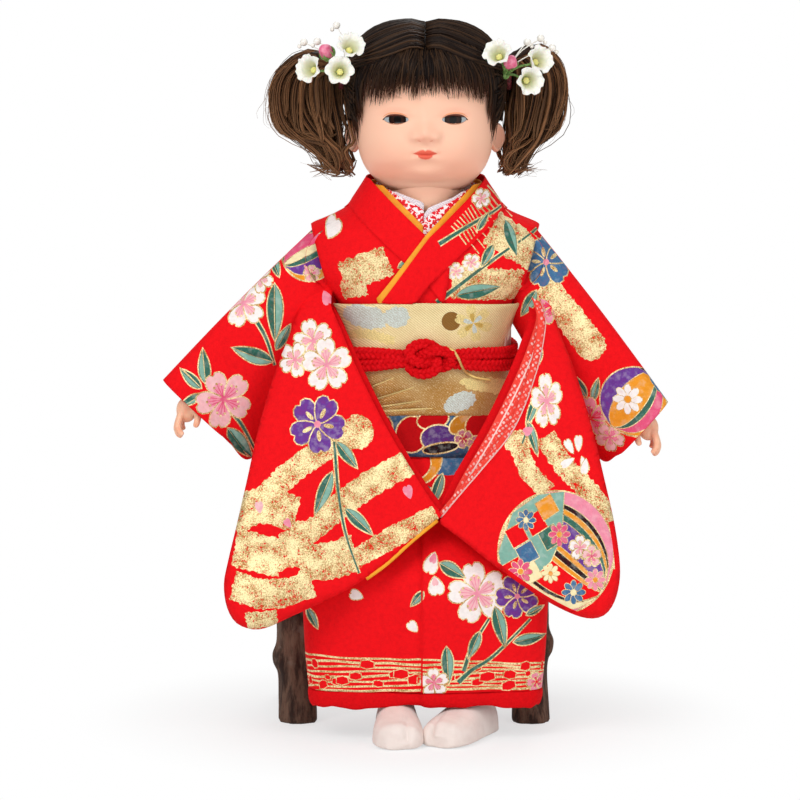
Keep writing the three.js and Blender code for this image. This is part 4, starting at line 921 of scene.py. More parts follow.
def collar_prints():
    """Prints on the left front, in the front view."""
    prints = foil_patch((46, 252), 28, 17, -32, 71) + foil_patch((32, 231), 37, 17, -6, 72)
    for k in range(18):
        start = (13.5 + 1.45 * k, 261.5 + 1.4 * k)
        prints.append((ribbon([start, (start[0] + 7.8, start[1] - 9.6)], 0.65), GOLD, LINE))
        if k % 2:
            prints.append((ribbon([(start[0] + 9, start[1] - 11), (start[0] + 13, start[1] - 16)], 0.55), GOLD, LINE))
    prints += branch([(6, 222), (35.3, 243.8), (58.3, 257.5)], 1.4)
    prints += branch([(7.2, 252.6), (22, 261), (39.7, 269)], 1.4)
    prints += leaf((41.5, 263), (47.6, 245), 0.3) + leaf((35.3, 251.5), (29, 240), 0.34)
    prints += leaf((15.9, 225.6), (39.5, 229.4), 0.32) + leaf((27, 259), (33, 267), 0.3)
    prints += blossom((16, 238), 4.2, WHITE, BLUSH, PINK) + blossom((24, 242.5), 4.4, WHITE, BLUSH, PINK, 30)
    prints += blossom((29.2, 274), 4.6, WHITE, BLUSH, PINK, 15)
    return prints


def bodice_prints():
    """Prints on the right front and shoulders, in the front view."""
    prints = foil_patch((-31, 239), 26, 16, 22, 75) + foil_patch((-37, 228.5), 13, 10, 14, 76)
    prints += edged(turned(petal(10.5), -25, (-50.5, 253.5)), WHITE) + leaf((-14, 240), (-5, 245), 0.36)
    return prints + collar_prints()


def make_bodice(materials, plain):
    """Bodice and the four collar layers."""
    surface = body_surface(ROBE_AT)
    edge = 157.0
    domain = rectangle(-edge, edge, 213, 271)
    drawn = onto(surface, domain, bodice_prints())
    for k, seed in ((-1, 41), (1, 44)):
        drawn += spread_blossoms(seed, (k * 120 - 34, 226), (k * 120 + 34, 262), 6)
    drawn += [(armhole(side), RED, HOLE) for side in (-1, 1)]
    rows = np.concatenate([np.arange(215.8, 252, 2.6), np.arange(252, 271, 1.3)])
    solid, faces, paint = printed(surface, domain, 2.4, drawn, RED, lines_v=rows)
    middle = solid[faces].mean(1)
    line = APEX_Z + NECK_SLOPE * np.abs(middle[:, 0] - APEX_X) - 9 * SQUARE
    keep = ~((middle[:, 1] < 0) & (middle[:, 2] > line)) & (paint[:, 3] < 1.5)
    panel = solid, faces[keep], paint[keep]
    bodice = cloth("bodice_cloth", [panel], materials, "doll", "red_print", ("kimono_bodice",))
    declare(bodice, 220)

    layers = (
        ("neckband", 0.6, 12.4, 1.0, 277.6, 0.4, "white_neckband", "white_cloth", plain["neckband"], WHITE),
        ("juban_collar_cloth", 1.9, 9.6, -2.0, 278.6, 0.5, "juban_collar", "pink_cloth", plain["juban"], WHITE),
        ("orange_collar_cloth", 3.2, 2.6, -7.0, 280.6, 4.0, "orange_collar", "orange_cloth", plain["orange"], ORANGE),
    )
    strip_area = rectangle(0, 100, 0, 20, 1.6)
    for name, offset, d_in, d_out, top, rise, node, slot, finish, ground in layers:
        panels = []
        for side, start in ((-1, 0.02), (1, -0.48)):
            over = rise if side > 0 else 0.0
            strip = collar_surface(offset + 0.15 * side, side, d_in, d_out, top, start, 0.25, over)
            panels.append(printed(strip, strip_area, 1.6, [], ground, flip=side < 0))
        piece = cloth(name, panels, [finish], "doll", slot, (node,), 0.45)
        declare(piece, 60)

    panels = []
    for side, start, lift, rise in ((-1, -0.2, 0.0, 0.0), (1, -0.43, 0.5, 1.4)):
        strip = collar_surface(6.2 + lift, side, 0.0, -18.0, 283.4, start, 0.55, rise)
        prints = onto(strip, strip_area, collar_prints()) if side > 0 else []
        panels.append(printed(strip, strip_area, 1.4, prints, RED, flip=side < 0))
    collar = cloth("collar_cloth", panels, materials, "doll", "red_print", ("kimono_collar",), 0.8)
    declare(collar, 60)


# Sleeves

SHOULDER_CLEAR = 16.7
ARM_LENGTH = 110.0
ARM_ROUND = 20.0
CUFF_REACH = -40.0
CUFFS = {"right": ((136, 182), (103, 152)), "left": ((126, 170.5), (100, 143))}
WRISTS = {"right": (119, 174.5), "left": (111, 165)}
BAG_THICK = 7.2
BAG_DEPTH = [(40, -98), (56, -98), (64, -98), (77, -97), (94, -91.5), (113, -78.5), (134, -65), (160, -53), (186, -40),
             (208, -25), (220, -15), (229, -8), (240, -4)]
# Outlines of the hanging part in the front view, from the shoulder down the outer edge, along the bottom and up again
BAG_OUTER = {
    "right": [(62, 231), (65, 220), (69, 208), (78, 186), (86, 160), (92, 134), (97, 113), (101.5, 95), (103.5, 84),
              (102, 73), (97.5, 65), (90, 61.5), (82, 62), (70, 67.5), (55, 74.5), (40, 81.5), (22, 93),
              (7, 105.5), (-6, 115.3)],
    "left": [(64, 231), (66, 220), (69, 208), (78, 186), (86, 160), (92.5, 134), (97.3, 113), (99.8, 95), (99.4, 84),
             (96.5, 74.5), (91.5, 68.5), (84, 67), (74, 70), (58, 78.5), (38, 91.5), (20, 104.5), (8, 113)],
}
BAG_INNER = {
    "right": {"front": [(-8.5, 118), (3.5, 134), (20, 160), (34, 186), (44, 208), (49, 220), (46, 231)],
              "back": [(-11, 119), (1.2, 134), (17.5, 160), (31.5, 186), (42, 208), (47.5, 220), (44, 231)]},
    "left": {"front": [(7.5, 115.5), (30, 140), (46.5, 160), (57.5, 186), (62, 204), (62.5, 214), (58, 226), (54, 233)],
             "back": [(5, 116.5), (14, 134), (30, 160), (43.5, 186), (51.5, 205), (54, 214), (53, 226), (50, 233)]},
}


def sleeve_surface(side):
    """The arm's tube: u runs along the arm, v round it with 0 in front."""
    s = SIDES[side]
    top_end, low_end = CUFFS[side]
    low_rows = [(-0.15, 40, 214), (0, 46.5, 205), (0.35, 67, 170), (0.7, 91, 139), (1, *low_end)]

    def surface(u, v):
        t = u / ARM_LENGTH
        held = np.clip(t, 0, 1)
        top = np.column_stack([57 + (top_end[0] - 57) * t, CUFF_REACH * t,
                               257.5 + (top_end[1] - 257.5) * held + 1.6 * np.sin(math.pi * held)])
        low = rows_at(low_rows, t)
        low = np.column_stack([low[:, 0], (CUFF_REACH - 3) * t, low[:, 1]])
        up = (top - low) / 2
        depth = (34 - 17 * np.clip(t, 0, 1) ** 0.6) / 2
        angle = v / ARM_ROUND
        lift, ahead = round_corner(angle, 2.35)
        folds = 0.7 * np.sin(v / 6 + u * 0.13) * np.sin(math.pi * held) * (0.4 + 0.6 * smooth(-v, -10, 30))
        folds += 0.5 * np.sin(u / 5.5 - v / 18) * smooth(held, 0.15, 0.5) * (1 - smooth(held, 0.75, 1))
        points = (top + low) / 2 + up * lift[:, None]
        points[:, 1] -= (depth + folds) * ahead
        out = points[:, (0, 2)] - (SHOULDER_X, SHOULDER_Z)
        far = np.linalg.norm(out, axis=1)[:, None]
        short = far[:, 0] < SHOULDER_CLEAR
        points[short, 0] = (SHOULDER_X + out * SHOULDER_CLEAR / far)[short, 0]
        points[short, 2] = (SHOULDER_Z + out * SHOULDER_CLEAR / far)[short, 1]
        return points * (s, 1, 1)
    return surface


SEAM_STEP = 3.0


def fine_path(points):
    """A smooth path through points with even steps."""
    return even(path_at(points, np.linspace(0, 1, 12 * len(points))), SEAM_STEP)


def bag_surface(side, seam, layer):
    """The hanging part in the front view: layer is -1 for the front sheet, 1 for the back and between for linings."""
    s = SIDES[side]

    def surface(u, v):
        x = u * s
        depth = rows_at(BAG_DEPTH, v)[:, 0] - BAG_THICK / 2
        a, b = seam[:-1], seam[1:]
        p = np.column_stack([x, v])[:, None]
        along = np.clip(((p - a) * (b - a)).sum(2) / ((b - a) ** 2).sum(1), 0, 1)
        gap = np.linalg.norm(p - a - along[..., None] * (b - a), axis=2).min(1)
        open_ = np.sqrt(1 - (1 - np.clip(gap / 7, 0, 1)) ** 2)
        hang = np.clip((222 - v) / 60, 0, 1)
        wave = 1.5 * np.sin((x - 10) / 11) * hang
        wave += 0.9 * np.sin((x + 0.8 * v) / 9 + 1) * hang * (1 - 0.5 * open_ * (layer > 0))
        sag = 1.2 * np.sin(x / 17 + v / 23) * hang * (layer < 0)
        return np.column_stack([u, depth + wave + open_ * (layer * BAG_THICK / 2 - sag * 0.6), v])
    return surface


def bag_domain(side, which, inset=0.0, inner_shift=0.0):
    """Closed outline of one sheet of the hanging part."""
    outer = fine_path(BAG_OUTER[side])
    inner = fine_path(BAG_INNER[side][which]) + (inner_shift, 0)
    outline = np.concatenate([outer, inner]) * (SIDES[side], 1)
    return grown(outline, -inset) if inset else outline


def right_bag_prints():
    """Front of the right sleeve's hanging part, in the front view."""
    prints = foil([(-86, 123), (-64, 142), (-31, 160)], 12, 11) + foil([(-72, 103), (-34, 129), (-6, 144)], 13, 12)
    prints += [(ragged(oval_outline((-34.9, 157.6), 8.5, 8.5), 1.2, 18), GOLD, FOIL)]
    prints += foil([(-38, 96), (-14, 108.5), (6, 118)], 10, 13) + foil([(-100, 116), (-84, 122), (-66, 118)], 17, 14)
    prints += foil([(-98, 102), (-76, 98), (-52, 96), (-36, 100)], 18, 15)
    prints += foil([(-99, 84), (-80, 80), (-58, 86)], 15, 16) + foil([(-92, 66), (-76, 68)], 9, 17)
    prints += [(ragged(oval_outline((-60, 120), 8, 3.4, 30), 1.5, 19), RED, PLAIN),
               (ragged(oval_outline((-70, 91), 6, 2.4, 15), 1.2, 20), RED, PLAIN)]
    prints += branch([(-47, 153), (-45, 130), (-41, 109), (-34, 90)], 1.0)
    prints += leaf((-46, 153), (-35, 140), 0.34) + leaf((-48, 138.5), (-57, 118), 0.3)
    prints += leaf((-41.5, 121), (-27, 108), 0.3)
    prints += blossom((-58, 202), 10, WHITE, BLUSH, PINK, 20) + blossom((-67.5, 193), 8, WHITE, BLUSH, PINK, 50)
    prints += blossom((-51, 190.5), 12.5, WHITE, BLUSH, PINK, 5) + crest_blossom((-55.7, 161.6), 14, PURPLE, 44)
    prints += [(turned(petal(7.5), 205, (-53, 226)), PINK, INK), (turned(petal(7), 20, (-7.5, 125)), PINK, INK)]
    prints += [(turned(petal(6), 10, (-85, 118)), BLUSH, INK), (turned(petal(5), 40, (-69, 112)), PINK, INK)]
    return prints


def shoulder_prints(side):
    """Print that runs from a sleeve on to the cloth beside the armhole, in the front view."""
    if side == "left":
        return crest_blossom((63, 240.5), 12.5, BLUE, 15)
    bands = ((-1, -0.5, GREEN), (-0.5, -0.15, ROSE), (-0.15, 0.1, CREAM), (0.1, 0.3, GREEN),
             (0.3, 0.75, PURPLE), (0.75, 1, ORANGE))
    return thread_ball((-60, 246), 15, bands, -62, CREAM) + blossom((-59, 234.5), 4, BLUSH, PINK, ROSE)


def right_arm_prints():
    """Front of the right sleeve's upper part, in the front view."""
    prints = shoulder_prints("right")
    prints += branch([(-90.6, 216), (-83, 203), (-78.2, 188)], 1.4) + leaf((-78.4, 230), (-78, 200), 0.28)
    prints += leaf((-79, 190), (-100.5, 198), 0.34) + leaf((-77.5, 196), (-70, 209), 0.34)
    prints += leaf((-80, 243), (-76, 233), 0.4)
    prints += blossom((-94.5, 220), 11.5, WHITE, BLUSH, PINK, 12) + blossom((-86, 232), 6.5, WHITE, BLUSH, PINK, 40)
    prints += leaf((-113.5, 180), (-115.5, 198), 0.34) + leaf((-116, 178), (-127, 188), 0.34)
    prints += leaf((-116, 175), (-127, 170), 0.34)
    prints += branch([(-100, 165), (-94, 156), (-87.9, 143)], 1.2) + leaf((-102.5, 157), (-90, 140), 0.36)
    prints += blossom((-104.5, 172), 14, BLUSH, PINK, ROSE, 25) + [(turned(petal(9), 215, (-76, 182)), PINK, INK)]
    return prints


def left_arm_prints():
    """Front of the left sleeve's upper part, in the front view."""
    prints = foil([(61.2, 228), (73, 215), (85, 200)], 15.5, 21, 1.2)
    prints += [(ragged(oval_outline((86, 199), 8, 8), 1.0, 22), GOLD, FOIL)]
    prints += leaf((58, 226), (50, 212), 0.34) + shoulder_prints("left")
    prints += leaf((84, 172), (77, 183), 0.34) + leaf((87, 170), (90, 182), 0.3)
    prints += blossom((86, 161), 10.5, PINK, ROSE, RED, 10) + blossom((96, 152), 7, BLUSH, PINK, ROSE, 40)
    bands = ((-1, -0.5, PURPLE), (-0.5, 0.34, ORANGE), (0.34, 0.52, GREEN), (0.52, 0.85, ROSE), (0.85, 1, ORANGE))
    prints += thread_ball((108, 171), 17, bands, -38)
    return prints + daisy((105, 172), 7.5, WHITE, ORANGE, 8)


def left_bag_prints():
    """Front of the left sleeve's hanging part, in the front view."""
    prints = foil([(46, 157), (52.7, 140), (63, 128.5)], 9.5, 31)
    prints += [(ragged(oval_outline((49, 153), 8, 5.5, 20), 1.4, 32), GOLD, FOIL)]
    prints += foil([(62, 156), (70, 143), (81, 132), (91.8, 118), (95, 92)], 10.5, 33)
    prints += branch([(57, 175), (54, 163), (50, 152)], 1.0) + leaf((58, 176), (52, 160), 0.24)
    prints += leaf((60, 199), (56, 188), 0.34)
    prints += leaf((53, 163), (58, 146), 0.24) + [(turned(petal(6), 120, (56, 160)), PINK, INK)]
    prints += blossom((62.8, 173), 13, WHITE, BLUSH, PINK, 8, 0.6)
    for at, turn in (((76.5, 147), 30), ((79, 148), 0), ((80.5, 146), -160), ((83, 145), 170), ((77, 145), 120)):
        prints += edged(turned(petal(8, 0.65), turn, at), WHITE, 0.4)
    prints += blossom((66, 218), 8, PINK, ROSE, RED, 10)
    ball, size = np.array((67, 99.5)), 29.5

    def on_ball(x, y):
        return ball + np.array((x, y)) * size

    bands = ((-1, -0.86, PINK), (-0.86, -0.62, CREAM), (-0.62, -0.55, BLACK), (-0.55, -0.1, RED),
             (-0.1, -0.02, ORANGE), (-0.02, 0.08, BLACK), (0.08, 0.16, ORANGE), (0.16, 0.52, PURPLE),
             (0.52, 0.62, GREEN), (0.62, 0.7, ORANGE), (0.7, 0.78, BLACK), (0.78, 1, PINK))
    prints += thread_ball(ball, size, bands, 52, CREAM)
    upper = [(-1, 0.02), (-0.75, 0.66), (-0.3, 0.95), (0.15, 0.99), (0.1, 0.3), (-0.1, -0.1), (-0.45, -0.42),
             (-0.9, -0.43)]
    prints += edged(np.array(upper) * size + ball, PALE_GREEN, 0.5)
    square = np.array([(-1, -1), (1, -1), (1, 1), (-1, 1)]) * 0.15 * size
    for x, y, colour in ((-0.72, -0.25, RED), (-0.5, 0.02, BLUE), (-0.68, 0.3, RED), (-0.35, 0.5, RED),
                         (-0.1, 0.28, GREEN), (-0.45, -0.3, CREAM), (-0.15, 0.75, ORANGE)):
        prints += edged(turned(square, 30, on_ball(x, y)), colour, 0.5)
    for x, y, radius, colour in ((-0.52, 0.55, 5, BLUE), (0.06, 0.32, 5.5, ROSE), (-0.62, -0.28, 6, ROSE),
                                 (0.3, -0.62, 6, BLUE), (0.68, -0.42, 5.2, PINK), (-0.1, -0.3, 4.6, CREAM)):
        prints += daisy(on_ball(x, y), radius, colour, CREAM if colour == BLUE else ORANGE, 8)
    prints += blossom(on_ball(0.42, 0.1), 5.5, WHITE, BLUSH, PINK)
    prints += blossom(on_ball(0.62, -0.04), 4.8, BLUSH, PINK, ROSE)
    for k in range(3):
        low = on_ball(-0.75, -0.55) + (k * 6, -k * 4.5)
        prints += edged(oval_outline(low, 2.2, 1.8, 30, 8), WHITE, 0.3)
    edge = fine_path(BAG_OUTER["left"])
    rim = edge[edge[:, 1] < 116]
    prints.append((ribbon(rim[::3], 5.5), RED, PLAIN))
    return prints


def gusset_surface(side, face):
    """Cloth that closes the sleeve beside the armhole: u is degrees about the shoulder, v the distance from it."""
    def surface(u, v):
        x, z = SHOULDER_X + v * np.cos(np.radians(u)), SHOULDER_Z + v * np.sin(np.radians(u))
        return np.column_stack([x, face * (14.5 + 0.25 * (v - 8)), z]) * (SIDES[side], 1, 1)
    return surface


def make_sleeve(side, materials, juban, orange):
    """One sleeve with its inner layers, on the arm."""
    s = SIDES[side]
    body = side + "_arm"
    tube_surface = sleeve_surface(side)
    domain = rectangle(-6, ARM_LENGTH, -math.pi * ARM_ROUND, math.pi * ARM_ROUND, 2.5)
    arm = onto(tube_surface, domain, right_arm_prints() if s < 0 else left_arm_prints(), flip=s < 0)
    for low, high, seed in ((32, 60, 51), (-60, -34, 52)):
        arm += spread_blossoms(seed + s, (12, low), (102, high), 6)
    panels = [printed(tube_surface, domain, 3.0, arm, RED, flip=s < 0)]
    seam = fine_path(BAG_OUTER[side])
    front = bag_domain(side, "front")
    front_prints = right_bag_prints() if s < 0 else left_bag_prints()
    panels.append(printed(bag_surface(side, seam, -1), front, 3.0, front_prints, RED))
    back = bag_domain(side, "back")
    strewn = spread_blossoms(60 + s, (s * 95 if s < 0 else 20, 75), (-10 if s < 0 else 95, 200), 14)
    panels.append(printed(bag_surface(side, seam, 1), back, 3.0, strewn, RED, flip=True))
    for face in (-1, 1):
        gusset, area, turn = gusset_surface(side, face), rectangle(-78, 75, 8, 17.2, 3), face * s < 0
        drawn = onto(gusset, area, shoulder_prints(side), turn) if face < 0 else []
        panels.append(printed(gusset, area, 3.0, drawn, RED, flip=turn))
    sleeve = cloth(side + "_sleeve_cloth", panels, materials, body, "red_print", (side + "_sleeve",), 0.5)
    declare(sleeve, 220)
    layers = []
    for share, which, shift in ((-0.45, "front", -7.7 if s > 0 else -1.2), (0.35, "back", 0.8 if s > 0 else 0.9)):
        outline = bag_domain(side, which, 3.2, shift)
        edge = (fine_path(BAG_INNER[side][which]) + (shift + 3.4, 0)) * (s, 1)
        seams = [(ribbon(edge, 1.5), RED, FOIL), (ribbon(edge + (s * 4.2, 0), 0.7), WHITE, LINE)]
        layers.append(printed(bag_surface(side, seam, share), outline, 3.0, seams, RED, flip=share > 0))
    inner = cloth(side + "_under_sleeve_cloth", layers, [juban], body, "pink_cloth", (side + "_under_sleeve",), 0.5)
    declare(inner, 180)
    if side == "right":
        edge = seam[(seam[:, 0] < 32) & (seam[:, 1] < 120)]
        line = bag_surface(side, seam, 0)(edge[:, 0] * s, edge[:, 1]) - (0, 0, 0.5)
        piping = add_object("right_lining_edge", *tube(line, 0.95, 10), orange)
        settle(piping, body, "orange_cloth")


# Sash, cord and bow

CORD_Z = 193.4
CORD_HALF = 3.1
KNOT_X = 1.5
BOW_Y, BOW_Z = 45.4, 196.0


def obi_prints():
    """Woven motifs on the sash, in the front view."""
    silver, brown, bright = ink("#D8E2DC"), ink("#8C5E28"), ink("#F6E09A")
    prints = [(ragged(oval_outline((-31, 214), 12, 6.5, -8), 1.8, 81), silver, FOIL),
              (ragged(oval_outline((-15, 214.5), 7, 5.5, 10), 1.4, 82), silver, FOIL),
              (ragged(ribbon([(-42, 203), (-30, 205), (-16, 202)], 5), 1.6, 83), bright, FOIL),
              (oval_outline((13.5, 212.5), 5, 5), brown, FOIL),
              (ragged(oval_outline((33, 178), 16, 4, -12), 1.6, 84), bright, FOIL)]
    for k in range(6):
        prints.append((turned(petal(10, 0.7), 60 * k + 10, (25, 211)), bright, FOIL))
        prints.append((turned(petal(5.5, 0.6), 60 * k + 10, (25, 211)), silver if k % 2 else GOLD, FOIL))
    for blade in (((-34, 168), (-6, 178)), ((-30, 166), (-2, 171)), ((-24, 165), (4, 167)), ((-38, 172), (-16, 183))):
        prints.append((ribbon(blade, 0.9, (1.4, 0.4)), bright, FOIL))
    prints += [(ragged(oval_outline((18, 170), 9, 5, 20), 1.4, 85), silver, FOIL)]
    return prints


def sag(u):
    """How far the sash and its cord drop at the sides."""
    return np.outer(3.6 * np.sin(u / WRAP) ** 2, (0, 0, 1))


def make_obi(brocade):
    """The sash band round the waist."""
    def surface(u, v):
        edge = np.clip(np.minimum(v - OBI_LOW, OBI_TOP - v) / 1.6, 0, 1)
        grow = 0.7 * np.sqrt(1 - (1 - edge) ** 2) + 0.35 * np.sin(v / 7 + u / 30)
        grow -= 0.25 * bump(0 * v, v, 0, CORD_Z, 1, 5)
        out = np.column_stack([np.sin(u / WRAP), -np.cos(u / WRAP), 0 * u])
        return body_surface(OBI_OUT - 0.7)(u, v) + out * grow[:, None] - sag(u)

    edge = math.pi * WRAP
    domain = rectangle(-edge, edge, OBI_LOW, OBI_TOP)
    drawn = onto(surface, domain, obi_prints())
    rows = np.concatenate([[163.3, 163.9, 164.8], np.arange(167, 219, 3), [220.2, 221.1, 221.7]])
    panel = printed(surface, domain, 3.0, drawn, GOLD, lines_v=rows)
    band = cloth("obi_cloth", [panel], [brocade, brocade], "doll", "brocade", ("obi_band",), 1.2)
    declare(band, 59)


def braid(path, up, half, deep, pitch, thick, strands=3, sides=7):
    """A plait of round strands along a path."""
    path = np.asarray(path, float)
    ahead = unit(np.gradient(path, axis=0))
    up = np.broadcast_to(np.asarray(up, float), path.shape)
    up = unit(up - ahead * (ahead * up).sum(1)[:, None])
    out = np.cross(ahead, up)
    steps = run(path)
    parts = []
    for k in range(strands):
        phase = 2 * math.pi * (steps / pitch + k / strands)
        line = path + up * (half * np.sin(phase))[:, None] + out * (deep * np.sin(2 * phase))[:, None]
        parts.append(tube(line, thick, sides, 0.9))
    return gather(parts)


def make_cord(cord, gold):
    """Braided cord, its knot and a gold thread."""
    reach = OBI_OUT + 2.5
    for name, sign in (("upper", 1), ("lower", -1)):
        angles = np.linspace(0.2, 2 * math.pi - 0.2, 400)
        path = body_surface(reach)(angles * WRAP, np.full(400, CORD_Z + sign * (CORD_HALF + 0.1)))
        path -= sag(angles * WRAP)
        close = smooth(np.abs(angles - math.pi), 2.5, 2.95)
        path[:, 2] -= sign * close * 1.6
        strand = braid(even(path, 0.75), (0, 0, 1), 2.1, 0.9, 8.6, 1.5)
        settle(add_object("cord_" + name, *strand, cord), "doll", "cord", "obi_cord_" + name)
    turns = np.linspace(0, 4 * math.pi, 240)
    ring = 6.4 * (1 + 0.5 * np.cos(1.5 * turns))
    path = np.column_stack([1.3 * ring * np.cos(turns), -1.9 * np.sin(1.5 * turns), 0.86 * ring * np.sin(turns)])
    path = even(path + (KNOT_X, -HALF_DEPTH - OBI_OUT - 3.9, CORD_Z), 0.7)
    knot = braid(path, np.cross(np.gradient(path, axis=0), (0, 1, 0)), 1.7, 0.9, 8.2, 1.35)
    core = ellipsoid((KNOT_X, -HALF_DEPTH - OBI_OUT - 2.6, CORD_Z), (7.5, 2.2, 6), 8, 14)
    settle(add_object("cord_knot", *gather([knot, core]), cord), "doll", "cord", "obi_cord_knot")
    spots = [(11, 199.6), (14.4, 198), (17.3, 193.6), (19.3, 188.9), (22.3, 185), (26.3, 182.8), (34.3, 180.9)]
    x, z = np.array(spots).T
    front = (HALF_DEPTH + OBI_OUT) * (1 - (x / (HALF_WIDTH + OBI_OUT)) ** ROUND) ** (1 / ROUND)
    path = np.column_stack([x, -front - 0.8 - 5.2 * smooth(z, 186, 190.5), z])
    twist = braid(path_at(path, np.linspace(0, 1, 90)), (0, 0.3, 1), 0.42, 0.0, 2.6, 0.56, 2, 6)
    settle(add_object("gold_thread_twist", *twist, gold), "doll", "gold_thread", "gold_thread")


def make_bow(brocade):
    """Two loops, a knot and a tail behind."""
    for side, s in SIDES.items():
        angles = np.linspace(0, 2 * math.pi, 57)[:-1]
        rows = np.linspace(-1, 1, 17)
        points = []
        across, ahead = round_corner(angles, 2.6)
        x = 23.5 + 15 * across
        pinch = 0.74 + 0.26 * smooth(x, 9, 26)
        for w in rows:
            puff = 1 - 0.1 * w * w
            ripple = 0.5 * np.sin(5 * angles + 2 * w)
            y = BOW_Y + 7.6 - (7.4 * puff + ripple * 0.4) * ahead
            points.append(np.column_stack([s * x, y, BOW_Z + 17 * w * pinch + 0.6 * np.sin(3 * angles)]))
        faces = grid_faces(len(rows), len(angles))
        faces = faces if s < 0 else [f[::-1] for f in faces]
        loop = add_object("bow_loop_" + side, np.concatenate(points), faces, brocade)
        paint_points(loop, GOLD)
        thicken(loop, 1.3)
        fine = loop.modifiers.new("fine", "SUBSURF")
        fine.levels = fine.render_levels = 1
        settle(loop, "doll", "brocade", "obi_bow_" + side)
    rings = []
    across, ahead = round_corner(circle(40), 3.4)
    for z in np.linspace(-16, 16, 15):
        fade = math.sqrt(max(0.0, 1 - (abs(z) / 16.4) ** 6))
        tuck = 0.35 * np.sin(9 * across * math.pi / 2)
        y = BOW_Y + 9 - (8.7 * fade + tuck) * ahead
        rings.append(np.column_stack([7.9 * fade * across, y, np.full(40, BOW_Z + z)]))
    knot = add_object("bow_knot", *capped(rings), brocade)
    paint_points(knot, GOLD)
    settle(knot, "doll", "brocade", "obi_bow_knot")
    tail_rows = [(143.2, 23, 46.8), (152, 22.6, 47.4), (162, 22, 48.2), (172, 20.6, 48.6), (180, 18.6, 48.4)]

    def surface(u, v):
        half, y = rows_at(tail_rows, v).T
        share = u / 23
        ripple = 0.9 * np.cos(share * 7) * (1 - smooth(v, 165, 182))
        return np.column_stack([-half * share, y + ripple - 0.8 * share**2, v])

    panel = printed(surface, rectangle(-23, 23, 143.2, 180), 2.6, [], GOLD)
    tail = cloth("bow_tail", [panel], [brocade, brocade], "doll", "brocade", ("obi_bow_tail",), 2.6)
    declare(tail, 46)


# Hands, feet and stool

FEET = {"right": (-15.5, 2.0), "left": (31.5, -26.0)}
FOOT_ROWS = [(0, 6, 15), (0.06, 9, 17.5), (0.22, 10.6, 22), (0.45, 11.6, 20), (0.66, 13, 16.5), (0.84, 12.6, 14),
             (0.95, 10, 11.5), (1, 6.5, 6.5)]
FOOT_LENGTH, FOOT_BACK = 58.0, -54.0


def blended(name, parts, material, voxel, passes):
    """Overlapping forms melted into one skin."""
    rough = add_object(name + "_rough", *gather(parts), material)
    melt = rough.modifiers.new("melt", "REMESH")
    melt.mode = "VOXEL"
    melt.voxel_size = voxel * MM
    soft = rough.modifiers.new("soft", "SMOOTH")
    soft.factor = 0.5
    soft.iterations = passes
    bpy.context.view_layer.update()
    mesh = bpy.data.meshes.new_from_object(rough.evaluated_get(bpy.context.evaluated_depsgraph_get()))
    bpy.data.objects.remove(rough, do_unlink=True)
    mesh.name = name
    mesh.materials.clear()
    mesh.materials.append(material)
    mesh.polygons.foreach_set("use_smooth", [True] * len(mesh.polygons))
    made = bpy.data.objects.new(name, mesh)
    bpy.context.scene.collection.objects.link(made)
    return made


def make_hand(side, skin):
    """A small moulded hand with curled fingers."""
    s = SIDES[side]
    wrist = np.array((WRISTS[side][0], CUFF_REACH + 1.5, WRISTS[side][1]), float)

    def at(points):
        return (np.asarray(points, float) + wrist) * (s, 1, 1)

    parts = [tube(at(path_at([(-3, 0.4, 6), (-0.8, 0, 1), (2, -0.4, -4), (4, -0.8, -8)], np.linspace(0, 1, 9))),
                  [4.1, 4.0, 3.8, 3.8, 4.0, 4.3, 4.5, 4.4, 3.8], 14)]
    parts.append(ellipsoid(at([(4.9, -0.9, -8.4)])[0], (5.4, 3.9, 6.6), 12, 16))
    fingers = [
        ([(7.4, -3.0, -9.5), (9.2, -5.2, -15), (8.6, -7.0, -18.6), (6.4, -7.6, -20.6)], 1.85),
        ([(7.6, -1.1, -10), (9.7, -2.4, -16.3), (9.2, -4.0, -20), (7.2, -4.8, -22)], 1.9),
        ([(7.0, 0.8, -10), (8.9, 0.3, -16), (8.6, -0.8, -19.4), (6.8, -1.4, -21)], 1.8),
        ([(5.8, 2.3, -9.6), (7.4, 2.5, -14.6), (7.2, 2.1, -17.4), (5.9, 1.6, -19)], 1.6),
        ([(2.0, -2.8, -5.5), (-0.9, -5.4, -10.4), (-0.7, -7, -14), (0.5, -7.6, -16.6)], 1.9),
    ]
    for path, radius in fingers:
        line = at(path_at(path, np.linspace(0, 1, 11)))
        shape = np.array((1.1, 1.05, 1.0, 0.98, 1.02, 0.98, 0.92, 0.9, 0.88, 0.78, 0.5)) * radius
        parts.append(tube(line, shape, 12))
    hand = blended(side + "_hand_skin", parts, skin, 0.5, 4)
    settle(hand, side + "_arm", "skin", side + "_hand")


